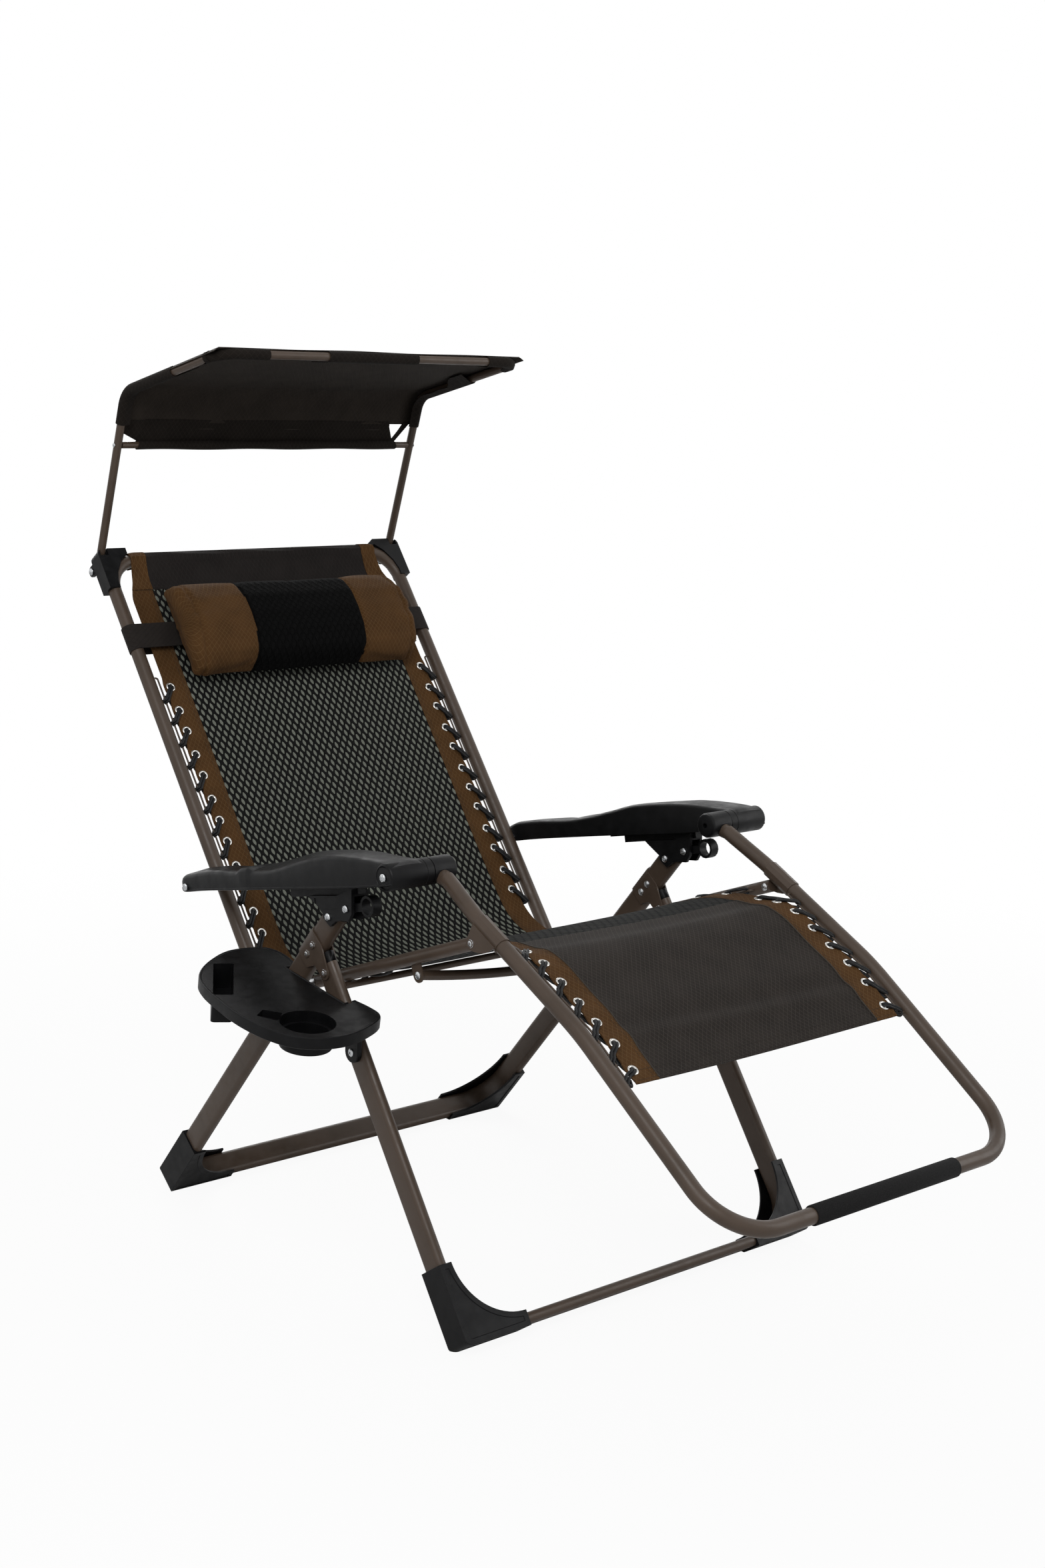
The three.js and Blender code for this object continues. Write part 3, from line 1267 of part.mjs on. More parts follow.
// The outline of the fork round the pin, as shares of the height from the pin to the armrest
const lockOutlineShares = [
  [1.03, 0.762], [-0.6, 0.72], [-1.55, 0.93], [-1.38, 0.075], [-1.14, -0.18], [-0.69, -0.14], [-0.39, -0.16],
  [-0.04, -0.33], [0.3, -0.03], [0.3, 0.14], [0.79, 0.55],
];
const lockPanelShares = [-0.5, 0.7, 0.27, 0.68];
function lockBlock() {
  const shape = outlineOf(lockOutlineShares.map(([u, v]) => [u * lockOverPin, v * lockOverPin]).reverse());
  const innerGap = legInnerFace - slideGap;
  const outerGap = legOuterFace + slideGap;
  const shoeBottom = lockTop - lockShoeHeight;
  const cheeks = solid(slab(shape, innerGap - lockCheek, outerGap + lockCheek, lockFrame));
  const bridgeUnder = shoeBottom - lockCheek;
  const room = solid(slab(rectangle(-lockOverPin * 2, lockOverPin * 2, -lockOverPin * 2, bridgeUnder),
    innerGap, outerGap, lockFrame));
  const shoe = solid(slab(rectangle(lockShoeFrom, lockShoeTo, shoeBottom - sheetMetal, lockTop),
    legHalfWidth - lockShoeHalf, legHalfWidth + lockShoeHalf, lockFrame));
  const bores = solid(pin(boreRadius, innerGap - overrun * 2, outerGap + overrun * 2, lockFrame))
    .add(solid(pin(boreRadius, innerGap - overrun * 2, outerGap + overrun * 2, lockFrame, pinSides,
      -leverPinForward, leverPinRise)));
  const panelEdges = lockPanelShares.map((share) => share * lockOverPin);
  const panel = solid(slab(rectangle(...panelEdges),
    outerGap + lockCheek - shoePanelDepth, outerGap + lockCheek + overrun, lockFrame));
  return geometryOf(cheeks.subtract(room).add(shoe).subtract(bores).subtract(panel));
}
const lockAnchor = new THREE.Vector3(legHalfWidth, lockPin.y, lockPin.z);
pair('lock_block', lockBlock(), blackPlastic, [lockLeft, lockRight], lockAnchor);

// Studs of the lock blocks in line with the tops of the legs
function lockStud() {
  const inner = legOuterFace + fitGap;
  const outer = legOuterFace + slideGap + lockCheek + fitGap;
  return geometryOf(solid(pin(boltRadius, inner, outer + boltHeadHeight, lockFrame))
    .add(solid(pin(boltHeadRadius, outer, outer + boltHeadHeight, lockFrame))));
}
pair('lock_stud', lockStud(), zinc, [lockLeft, lockRight], lockAnchor);

// Release levers with a finger ring, and their pins
const leverPin = inFrame(lockFrame, -leverPinForward, leverPinRise);
const leverFrame = sideFrame(leverPin.y, leverPin.z, armAngle);
const leverLeft = moving(withX(leverPin, legHalfWidth), lockLeft);
const leverRight = moving(withX(leverPin, -legHalfWidth), lockRight);
function lockLever() {
  const ring = disc(ringOuter, hubSides, -ringForward, ringRise);
  const stem = rectangle(-ringForward + ringInner + fitGap, 0, -ringOuter / 3, ringOuter / 3 + ringRise);
  const hole = solid(pin(ringInner, legHalfWidth - ringOuter * 2, legHalfWidth + ringOuter * 2, leverFrame,
    hubSides, -ringForward, ringRise));
  const from = legHalfWidth - ringHalf;
  const to = legHalfWidth + ringHalf;
  return geometryOf(solid(slab(ring, from, to, leverFrame))
    .add(solid(slab(stem, from, to, leverFrame)))
    .add(solid(pin(boltRadius * 2, from, to, leverFrame, tubeSides)))
    .subtract(hole)
    .subtract(solid(pin(boreRadius, from - overrun, to + overrun, leverFrame))));
}
pair('lock_lever', lockLever(), blackPlastic, [leverLeft, leverRight], withX(leverPin, legHalfWidth));
function leverPinBolt() {
  const inner = legInnerFace - slideGap - lockCheek - fitGap;
  const outer = legOuterFace + slideGap + lockCheek + fitGap;
  return geometryOf(solid(pin(boltRadius, inner - boltHeadHeight, outer + boltHeadHeight, leverFrame))
    .add(solid(pin(boltHeadRadius, inner - boltHeadHeight, inner, leverFrame)))
    .add(solid(pin(boltHeadRadius, outer, outer + boltHeadHeight, leverFrame))));
}
pair('lever_pin', leverPinBolt(), zinc, [lockLeft, lockRight], withX(leverPin, legHalfWidth));

// Slings

// A cloth of even thickness along nodes of a side plane
function cloth(nodes, half) {
  const path = new TubeRoute(nodes);
  const side = (distance) => nodes.map((node, i) => {
    const along = path.getTangentAt(i / (nodes.length - 1));
    const across = new THREE.Vector3(1, 0, 0).cross(along);
    return node.clone().addScaledVector(across, distance);
  });
  const points = [...side(slingThickness / 2), ...side(-slingThickness / 2).reverse()];
  const flat = points.map((node) => new THREE.Vector2(node.y, node.z));
  if (THREE.ShapeUtils.isClockWise(flat)) {
    flat.reverse();
  }
  return solid(slab(new THREE.Shape(flat), -half, half, sideFrame(0, 0)));
}

// A short cut square through a cloth at a place, with the direction of the cloth there
function eyeletCut(place, along, x) {
  const across = new THREE.Vector3(1, 0, 0).cross(along).normalize();
  const ends = [
    withX(place, x).addScaledVector(across, slingThickness * 2),
    withX(place, x).addScaledVector(across, -slingThickness * 2),
  ];
  return solid(sweep(ends, disc(eyeletRadius, eyeletSides)));
}

// The lower part of the back cloth sweeps round into the plane of the seat
const sweepTurn = radians(180 - (180 - railAngle - backAngle));
const sweepRadius = slingSweep / Math.tan(sweepTurn / 2);
const sweepRoute = filleted([
  inFrame(back, slingSweep * 2, 0),
  backPivot,
  inFrame(rail, pivotToBack - slingSweep * 2, 0),
], [sweepRadius], bendSteps * 2);
const seamNode = 1 + bendSteps;
const seamDirection = sweepRoute[seamNode + 1].clone().sub(sweepRoute[seamNode - 1]).normalize();
const seamBack = sweepRoute[seamNode].clone().addScaledVector(seamDirection, -slingSeam / 2);
const seamSeat = sweepRoute[seamNode].clone().addScaledVector(seamDirection, slingSeam / 2);

const hemTurnShare = 0.68;
function backSling() {
  const nodes = [inFrame(back, slingLoopJoin, 0), ...sweepRoute.slice(1, seamNode), seamBack];
  const sheet = cloth(nodes, slingBackHalf);
  const inner = frameTubeRadius + fitGap;
  const outer = inner + slingThickness;
  // The top hem runs round the head bar
  const hem = new THREE.Shape();
  hem.moveTo(slingLoopJoin - slingThickness, -slingThickness / 2);
  hem.lineTo(slingLoopJoin, -slingThickness / 2);
  const turnFrom = Math.PI * hemTurnShare;
  hem.absarc(backLength, 0, outer, -turnFrom, turnFrom, false);
  hem.lineTo(slingLoopJoin, slingThickness / 2);
  hem.lineTo(slingLoopJoin - slingThickness, slingThickness / 2);
  hem.closePath();
  const loop = solid(slab(hem, -slingTopNarrowHalf, slingTopNarrowHalf, back))
    .subtract(solid(pin(inner, -slingBackHalf, slingBackHalf, back, tubeSides, backLength)));
  const corner = (from, to) => solid(slab(
    rectangle(slingTopNarrowFrom, backLength, -frameTubeRadius, frameTubeRadius), from, to, back,
  ));
  let body = sheet
    .subtract(corner(slingTopNarrowHalf, slingBackHalf + overrun))
    .subtract(corner(-slingBackHalf - overrun, -slingTopNarrowHalf))
    .add(loop);
  const along = new THREE.Vector3().setFromMatrixColumn(back, 0);
  for (let i = 0; i < backEyelets; i += 1) {
    const place = inFrame(back, backEyeletAt(i), 0);
    body = body.subtract(eyeletCut(place, along, slingBackHalf - eyeletFromEdge));
    body = body.subtract(eyeletCut(place, along, -slingBackHalf + eyeletFromEdge));
  }
  return geometryOf(body);
}
piece('back_sling', backSling(), meshCloth, backrest, inFrame(back, slingSweep, 0));

const seatEyeletAt = (i) => -seatEyeletFirst - seatEyeletPitch * i;
const hangPoint = footPlane(0, -slingHangBelow);
const seatFlatEnd = inFrame(rail, seatEyeletAt(seatEyelets - 1) - eyeletRadius * 2, 0);
function seatSling() {
  const edge = hangPoint.clone().add(new THREE.Vector3(0, slingSeam, 0));
  const nodes = [seamSeat, ...sweepRoute.slice(seamNode + 1, -1), seatFlatEnd, edge];
  let body = cloth(nodes, slingSeatHalf);
  const along = new THREE.Vector3().setFromMatrixColumn(rail, 0);
  for (let i = 0; i < seatEyelets; i += 1) {
    const place = inFrame(rail, seatEyeletAt(i), 0);
    body = body.subtract(eyeletCut(place, along, slingSeatHalf - eyeletFromEdge));
    body = body.subtract(eyeletCut(place, along, -slingSeatHalf + eyeletFromEdge));
  }
  return geometryOf(body);
}
piece('seat_sling', seatSling(), meshCloth, seat, inFrame(rail, 0, 0));

// The leg cloth rises over its crest and then lies between the footrest tubes
function legSlingNodes() {
  const crest = footPlane(slingCrestForward, -slingHangBelow + slingThickness / 2);
  const merge = footAt(slingMergeForward / cosine(footUpperAngle), 0, 0);
  const middle = crest.clone().lerp(merge, 1 / 2).add(new THREE.Vector3(0, 0, slingThickness * 2));
  return [
    hangPoint.clone(),
    crest,
    middle,
    merge,
    withX(knee, 0),
    footAt(footRodTo + legSlingHem - legEyeletPitch / 4, 0, 0),
  ];
}

// The place and direction of the leg cloth at a distance from the footrest pivot
function onLegSling(distance) {
  const nodes = legSlingNodes();
  const target = footAt(distance, 0, 0);
  const next = Math.max(1, nodes.findIndex((node) => node.y <= target.y));
  const from = nodes[next - 1];
  const to = nodes[next];
  const share = (target.y - from.y) / (to.y - from.y);
  return { place: from.clone().lerp(to, share), along: to.clone().sub(from).normalize() };
}

function legSling() {
  let body = cloth(legSlingNodes(), slingLegHalf);
  for (let i = 0; i < legEyelets; i += 1) {
    const { place, along } = onLegSling(legEyeletAt(i));
    body = body.subtract(eyeletCut(place, along, slingLegHalf - eyeletFromEdge));
    body = body.subtract(eyeletCut(place, along, -slingLegHalf + eyeletFromEdge));
  }
  return geometryOf(body);
}
piece('leg_sling', legSling(), ripstop, footrest, withX(knee, 0));

// Lacing: an elastic cord goes up through each eyelet, over the rod, round it and back under the cloth
function lacing(eyelets, rodPlaces, eyeletX, rodX) {
  const nodes = [];
  eyelets.forEach(({ place, along }, i) => {
    const across = new THREE.Vector3(1, 0, 0).cross(along).normalize();
    if (across.z < 0) {
      across.negate();
    }
    const rod = rodPlaces[i];
    nodes.push(withX(place, eyeletX).addScaledVector(across, -cordOffCloth));
    nodes.push(withX(place, eyeletX).addScaledVector(across, cordOffCloth));
    nodes.push(withX(rod.place, rodX + cordPastRod).addScaledVector(rod.across, cordOverRod));
    nodes.push(withX(rod.place, rodX + cordPastRod).addScaledVector(rod.across, -cordOverRod));
  });
  return sweep(nodes, disc(cordRadius, cordSides));
}

const backAcross = new THREE.Vector3().setFromMatrixColumn(back, 1);
const railAcross = new THREE.Vector3().setFromMatrixColumn(rail, 1);
const backAlong = new THREE.Vector3().setFromMatrixColumn(back, 0);
const railAlong = new THREE.Vector3().setFromMatrixColumn(rail, 0);
const countTo = (count) => Array.from({ length: count }, (unused, i) => i);

pair('back_lacing', lacing(
  countTo(backEyelets).map((i) => ({ place: inFrame(back, backEyeletAt(i), 0), along: backAlong })),
  countTo(backEyelets).map((i) => ({
    place: inFrame(back, backEyeletAt(i) - cordSlant, 0), across: backAcross,
  })),
  slingBackHalf - eyeletFromEdge, backRodX,
), elastic, backrest, inFrame(back, backEyeletTop, 0, backRodX));
pair('seat_lacing', lacing(
  countTo(seatEyelets).map((i) => ({ place: inFrame(rail, seatEyeletAt(i), 0), along: railAlong })),
  countTo(seatEyelets).map((i) => ({
    place: inFrame(rail, seatEyeletAt(i) - cordSlant, 0), across: railAcross,
  })),
  slingSeatHalf - eyeletFromEdge, seatRodX,
), elastic, seat, inFrame(rail, 0, 0, seatRodX));
const footAcross = (distance) => {
  const along = footAt(distance + rodRadius, 0, 0).sub(footAt(distance, 0, 0)).normalize();
  const across = new THREE.Vector3(1, 0, 0).cross(along);
  return across.z < 0 ? across.negate() : across;
};
pair('leg_lacing', lacing(
  countTo(legEyelets).map((i) => onLegSling(legEyeletAt(i))),
  countTo(legEyelets).map((i) => ({
    place: footAt(legEyeletAt(i) + cordSlant, 0, 0), across: footAcross(legEyeletAt(i) + cordSlant),
  })),
  slingLegHalf - eyeletFromEdge, footRodX,
), elastic, footrest, footAt(legEyeletFirst, 0, footRodX));

// Pillow, a bolster with a crowned front and drawn in ends
const pillowSectionShares = [
  [0, 0.1], [0.06, 0.45], [0.16, 0.76], [0.32, 0.95], [0.5, 1], [0.68, 0.95], [0.84, 0.76], [0.94, 0.45],
  [1, 0.1], [0.96, 0.02], [0.8, 0], [0.5, 0], [0.2, 0], [0.04, 0.02],
];
const pillowEndShares = [
  [-1, 0.4], [-0.985, 0.66], [-0.94, 0.84], [-0.86, 0.95], [-0.72, 1], [-0.36, 1.02], [0, 1.03],
  [0.36, 1.02], [0.72, 1], [0.86, 0.95], [0.94, 0.84], [0.985, 0.66], [1, 0.4],
];
function pillow() {
  const middle = (pillowFrom + pillowTo) / 2;
  const length = pillowTo - pillowFrom;
  const rings = pillowEndShares.map(([place, size]) => pillowSectionShares.map(([u, v]) => inFrame(
    back,
    middle + (u - 1 / 2) * length * (size + 1) / 2,
    pillowBack + v * pillowThickness * size,
    -place * pillowHalf,
  )));
  return skin(rings);
}
piece('pillow', pillow(), meshCloth, pillowSlide, inFrame(back, pillowFrom, pillowBack));

// The elastic strap goes round both back tubes behind the pillow
function pillowStrap() {
  const inner = frameTubeRadius + fitGap;
  const loop = (radius) => {
    const shape = new THREE.Shape();
    shape.absarc(backHalfWidth, 0, radius, -Math.PI / 2, Math.PI / 2, false);
    shape.absarc(-backHalfWidth, 0, radius, Math.PI / 2, Math.PI * 3 / 2, false);
    shape.closePath();
    return shape;
  };
  const outline = loop(inner + strapThickness);
  outline.holes.push(loop(inner));
  const geometry = new THREE.ExtrudeGeometry(outline, {
    depth: strapTo - strapFrom, bevelEnabled: false, curveSegments: bendSteps,
  });
  const behind = backAcross.clone().negate();
  const plane = new THREE.Matrix4().makeBasis(new THREE.Vector3(1, 0, 0), behind, backAlong);
  plane.setPosition(0, backPivot.y, backPivot.z);
  return geometry.translate(0, 0, strapFrom).applyMatrix4(plane);
}
piece('pillow_strap', pillowStrap(), elastic, pillowSlide, inFrame(back, strapFrom, 0));

// Drink tray

// The rim of the tray in (x, y), as shares of its width and length from its inner front corner
const trayWidth = 195.5;
const trayLength = 375;
const trayInset = 3;
const trayCornerX = -legHalfWidth + trayInset;
const trayCornerY = -121;
const trayRimShares = [
  [-0.87, 0.797], [-0.77, 0.848], [-0.514, 0.949], [-0.284, 1], [-0.187, 0.995], [-0.049, 0.979],
  [0.049, 0.96], [0.09, 0.9], [0.09, 0.79], [0.05, 0.727],
];
const trayFrontShares = [
  [0.054, 0.293], [0.074, 0.131], [0.033, 0.093], [-0.018, 0.072], [-0.263, 0.016], [-0.437, 0],
  [-0.575, 0.008], [-0.729, 0.04], [-0.847, 0.096], [-0.908, 0.163], [-1, 0.352], [-0.964, 0.533],
  [-0.923, 0.699],
];
const trayBar = 151;
const trayBarEnd = -14;
const handleShares = [[-0.862, 0.336], [-0.749, 0.379], [-0.642, 0.312], [-0.765, 0.253]];
const slotShares = [[-0.949, 0.6], [-0.58, 0.896], [-0.422, 0.859], [-0.795, 0.563]];
const trayInsetShare = 1.4;

function drinkTray() {
  const at = ([u, v]) => [trayCornerX + u * trayWidth, trayCornerY + v * trayLength];
  const legFace = -(legOuterFace + fitGap);
  const rim = [
    ...trayRimShares.map(at),
    [legFace, trayBar],
    [legFace, trayBarEnd],
    ...trayFrontShares.map(at),
  ];
  // The plane of the tray, level across and rising to the rear
  const plane = new THREE.Matrix4().makeBasis(
    new THREE.Vector3(1, 0, 0),
    new THREE.Vector3(0, cosine(trayTilt), sine(trayTilt)),
    new THREE.Vector3(0, -sine(trayTilt), cosine(trayTilt)),
  ).setPosition(0, 0, trayHeight);
  const thick = (shape, from, to) => {
    const flat = THREE.ShapeUtils.isClockWise(shape) ? shape.slice().reverse() : shape;
    const geometry = new THREE.ExtrudeGeometry(new THREE.Shape(flat), {
      depth: to - from, bevelEnabled: false,
    });
    return solid(geometry.translate(0, 0, from).applyMatrix4(plane));
  };
  const points = (list) => list.map(([u, v]) => new THREE.Vector2(u, v));
  const rimShape = points(rim);
  const middleOf = (shape) => shape
    .reduce((sum, point) => sum.add(point), new THREE.Vector2()).divideScalar(shape.length);
  const middle = middleOf(rimShape);
  const insetShape = rimShape.map((point) => {
    const pull = middle.clone().sub(point);
    return point.clone().addScaledVector(pull, trayWall / pull.length() * trayInsetShare);
  });
  const round = (radius) => {
    const list = [];
    for (let i = 0; i < cupSides; i += 1) {
      const turn = 2 * Math.PI * (i + 1 / 2) / cupSides;
      list.push(new THREE.Vector2(cupX + radius * Math.cos(turn), cupY + radius * Math.sin(turn)));
    }
    return list;
  };
  const handle = points(handleShares.map(at));
  const slot = points(slotShares.map(at));
  const grown = (shape, by) => {
    const centre = middleOf(shape);
    return shape.map((point) => {
      const push = point.clone().sub(centre);
      return point.clone().addScaledVector(push, by / push.length());
    });
  };
  const cupTaper = trayWall * 2;
  const cupOuter = thick(round(cupRadius + trayWall), -trayThickness - fitGap, -trayWall / 2)
    .add(thick(round(cupRadius + trayWall - cupTaper), -cupDepth - trayWall, -trayThickness));
  const cupInner = thick(round(cupRadius), -trayThickness, overrun)
    .add(thick(round(cupRadius - cupTaper), -cupDepth, -trayThickness + fitGap));
  const pocketOuter = thick(grown(slot, trayWall), -slotFloor - trayWall, -trayWall / 2)
    .add(thick(grown(handle, trayWall), -trayThickness + fitGap, -trayWall / 2));
  const pocketInner = thick(slot, -slotFloor, overrun)
    .add(thick(handle, -trayThickness + trayWall, overrun));
  // The ear that grips the front leg from outside
  const lugFrame = sideFrame(lugY, lugZ);
  const lugTop = new THREE.Shape();
  const earTop = trayHeight + (lugY * sine(trayTilt)) - trayWall - lugZ;
  lugTop.absarc(0, 0, lugRadius, Math.PI, 2 * Math.PI, false);
  lugTop.lineTo(lugRadius, earTop);
  lugTop.lineTo(-lugRadius, earTop);
  lugTop.closePath();
  const ear = solid(slab(lugTop, legFace - lugThickness, legFace, lugFrame))
    .add(solid(pin(boltHeadRadius, legFace - lugThickness - boltHeadHeight, legFace, lugFrame)));
  // The two legs pass through notches in the rim
  const legRoom = (frame, length) => solid(sweep(
    [inFrame(frame, legBend * 2, 0, -legHalfWidth), inFrame(frame, length, 0, -legHalfWidth)],
    flatOval(legThickness + fitGap * 2, legDepth + slideGap * 2, ovalSteps),
  ));
  return geometryOf(thick(rimShape, -trayThickness, 0)
    .subtract(legRoom(rearFoot, rearLegToLock))
    .subtract(legRoom(frontFoot, frontLegLength))
    .subtract(thick(insetShape, -trayThickness - overrun, -trayWall))
    .add(cupOuter)
    .add(pocketOuter)
    .add(ear)
    .subtract(cupInner)
    .subtract(pocketInner));
}
piece('drink_tray', drinkTray(), blackPlastic, base, new THREE.Vector3(cupX, cupY, trayHeight));

// The part stands on the middle of its footprint
lounger.updateMatrixWorld(true);
const bounds = new THREE.Box3().setFromObject(lounger, true);
const centre = bounds.getCenter(new THREE.Vector3());
lounger.position.set(-centre.x, -centre.y, -bounds.min.z);
lounger.updateMatrixWorld(true);

export default lounger;
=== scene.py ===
"""Looks of a folding sun lounger with a tilting canopy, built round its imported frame.

Sizes are in millimetres unless a name says otherwise, and angles are in degrees. Points are (x, y, z),
with x measured from the middle of the chair, y towards the head end and z up.
"""

import json
import logging
import math
from collections.abc import Callable, Iterable, Sequence
from dataclasses import dataclass, field
from enum import Enum

import bmesh
import bpy
import numpy as np
from mathutils import Matrix, Vector


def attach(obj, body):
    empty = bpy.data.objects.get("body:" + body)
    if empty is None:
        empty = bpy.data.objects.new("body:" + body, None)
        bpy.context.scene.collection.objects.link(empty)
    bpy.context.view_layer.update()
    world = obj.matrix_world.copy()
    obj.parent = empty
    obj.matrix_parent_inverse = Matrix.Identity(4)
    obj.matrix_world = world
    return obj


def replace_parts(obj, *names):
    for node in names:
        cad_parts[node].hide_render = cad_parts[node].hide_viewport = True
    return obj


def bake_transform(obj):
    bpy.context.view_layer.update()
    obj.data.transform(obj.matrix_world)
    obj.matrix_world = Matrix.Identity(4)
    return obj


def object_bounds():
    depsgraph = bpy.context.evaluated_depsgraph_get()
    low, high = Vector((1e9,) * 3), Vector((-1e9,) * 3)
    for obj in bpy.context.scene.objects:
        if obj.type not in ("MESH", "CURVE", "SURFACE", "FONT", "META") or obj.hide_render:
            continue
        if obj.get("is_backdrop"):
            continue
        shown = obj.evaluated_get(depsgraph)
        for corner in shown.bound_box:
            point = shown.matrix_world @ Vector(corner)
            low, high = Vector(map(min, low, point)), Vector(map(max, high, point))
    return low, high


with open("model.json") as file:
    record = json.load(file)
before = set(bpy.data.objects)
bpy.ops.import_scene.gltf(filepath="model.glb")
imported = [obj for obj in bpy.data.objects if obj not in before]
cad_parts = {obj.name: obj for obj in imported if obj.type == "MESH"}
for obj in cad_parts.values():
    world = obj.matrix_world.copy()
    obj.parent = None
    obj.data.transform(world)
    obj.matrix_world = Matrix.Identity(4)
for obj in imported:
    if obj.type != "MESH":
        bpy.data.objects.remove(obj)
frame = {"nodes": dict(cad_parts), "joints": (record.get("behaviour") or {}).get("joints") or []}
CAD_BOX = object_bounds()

LOG = logging.getLogger("lounger")
METRES = 0.001
PIVOTS = {joint["name"]: np.array(joint["pos_m"]) / METRES for joint in frame["joints"] if "pos_m" in joint}
MIDDLE_X = PIVOTS["seat_tilt"][0]
SIDES = {"left": 1, "right": -1}
ACROSS = np.array([1.0, 0.0, 0.0])
STITCH_SHARE = 0.72

Array = np.ndarray
Outline = Sequence[tuple[float, float]]
Piece = bpy.types.Object
Socket = bpy.types.NodeSocket


class Slot(Enum):
    """Material slots of the record."""

    PAINT = "frame_paint"
    ZINC = "zinc_steel"
    PLASTIC = "black_plastic"
    FOAM = "grip_foam"
    MESH = "mesh_cloth"
    RIPSTOP = "ripstop_cloth"
    CANOPY = "canopy_cloth"
    CORD = "elastic_cord"
    STRAP = "elastic_strap"


# Geometry


@dataclass(frozen=True)
class SidePlane:
    """A plane square to the width, with its first axis turned up from the head end."""

    y: float
    z: float
    angle: float

    @property
    def along_axis(self) -> Array:
        """The first axis of the plane."""
        turn = math.radians(self.angle)
        return np.array([0.0, math.cos(turn), math.sin(turn)])

    @property
    def across_axis(self) -> Array:
        """The second axis of the plane."""
        turn = math.radians(self.angle)
        return np.array([0.0, -math.sin(turn), math.cos(turn)])

    def at(self, along: float, across: float = 0.0, x: float = 0.0) -> Array:
        """A point of the plane, at a place x of the width."""
        return np.array([x, self.y, self.z]) + self.along_axis * along + self.across_axis * across


def on_joint(name: str, angle: float) -> SidePlane:
    """The side plane through a joint's pivot."""
    return SidePlane(PIVOTS[name][1], PIVOTS[name][2], angle)


def unit(vector: Array) -> Array:
    """The vector at a length of one."""
    return vector / np.linalg.norm(vector)


def turned(vector: Array, axis: Array, angle: float) -> Array:
    """The vector turned about an axis, by an angle in radians."""
    swung = np.cross(axis, vector) * math.sin(angle)
    return vector * math.cos(angle) + swung + axis * (axis @ vector) * (1 - math.cos(angle))


def filleted(corners: Sequence[Array], radii: Sequence[float], steps: int = 12) -> Array:
    """Corners joined by straight lines, with an arc in each inner corner.

    Args:
        corners: The places of the corners.
        radii: The arc of each inner corner, or nought for a sharp one.
        steps: The steps of each arc.

    Returns:
        The nodes of the line, one to a row.
    """
    nodes = [corners[0]]
    for place, radius in enumerate(radii, start=1):
        back = unit(corners[place - 1] - corners[place])
        ahead = unit(corners[place + 1] - corners[place])
        turn = math.pi - math.acos(float(np.clip(back @ ahead, -1, 1)))
        if radius <= 0 or turn < METRES:
            nodes.append(corners[place])
            continue
        start = corners[place] + back * radius * math.tan(turn / 2)
        centre = corners[place] + unit(back + ahead) * radius / math.cos(turn / 2)
        axis = unit(np.cross(ahead, back))
        nodes += [centre + turned(start - centre, axis, turn * k / steps) for k in range(steps + 1)]
    nodes.append(corners[-1])
    return np.array(nodes)


def rounded(nodes: Array, spacing: float) -> Array:
    """A smooth line through all nodes, with points about a spacing apart."""
    nodes = np.asarray(nodes, float)
    padded = np.vstack([2 * nodes[0] - nodes[1], nodes, 2 * nodes[-1] - nodes[-2]])
    line = []
    for a, b, c, d in zip(padded, padded[1:], padded[2:], padded[3:]):
        lengths = [max(np.linalg.norm(q - p), METRES) for p, q in ((a, b), (b, c), (c, d))]
        first, middle, last = lengths
        start = ((b - a) / first - (c - a) / (first + middle) + (c - b) / middle) * middle
        end = ((c - b) / middle - (d - b) / (middle + last) + (d - c) / last) * middle
        for share in np.linspace(0, 1, max(2, int(middle / spacing) + 1))[:-1]:
            square, cube = share**2, share**3
            line.append(b * (2 * cube - 3 * square + 1) + start * (cube - 2 * square + share)
                        + c * (3 * square - 2 * cube) + end * (cube - square))
    line.append(nodes[-1])
    return np.array(line)


def directions(path: Array) -> Array:
    """The direction of a path at each of its nodes."""
    steps = np.diff(path, axis=0)
    steps /= np.linalg.norm(steps, axis=1)[:, None]
    around = np.vstack([steps[:1], steps[:-1] + steps[1:], steps[-1:]])
    return around / np.linalg.norm(around, axis=1)[:, None]


def reaches(path: Array) -> Array:
    """The distance along a path up to each of its nodes."""
    return np.concatenate([[0], np.cumsum(np.linalg.norm(np.diff(path, axis=0), axis=1))])


def both_sides(half: Sequence[Array]) -> list[Array]:
    """A line on one side, carried on through its mirror image back to where it began."""
    return [*half, *(node * [-1, 1, 1] for node in reversed(half))]


def smooth_share(value: float | Array, low: float, high: float) -> float | Array:
    """A share that rises softly from nought at low to one at high."""
    share = np.clip((value - low) / (high - low), 0, 1)
    return share * share * (3 - 2 * share)


def circle(radius: float, count: int = 24) -> Array:
    """A round section."""
    turns = np.arange(count) * 2 * math.pi / count
    return np.stack([radius * np.cos(turns), radius * np.sin(turns)], axis=1)


def flat_oval(thickness: float, depth: float, steps: int = 10) -> Array:
    """A flat oval section, thin along its first axis."""
    radius, straight = thickness / 2, (depth - thickness) / 2
    turns = np.linspace(0, math.pi, steps + 1)
    half = np.stack([radius * np.cos(turns), straight + radius * np.sin(turns)], axis=1)
    return np.vstack([half, -half])


def arc(u: float, v: float, radius: float, start: float, end: float, steps: int = 12) -> list:
    """Points of an arc in a plane, between two angles."""
    turns = np.radians(np.linspace(start, end, steps + 1))
    return [(u + radius * math.cos(turn), v + radius * math.sin(turn)) for turn in turns]


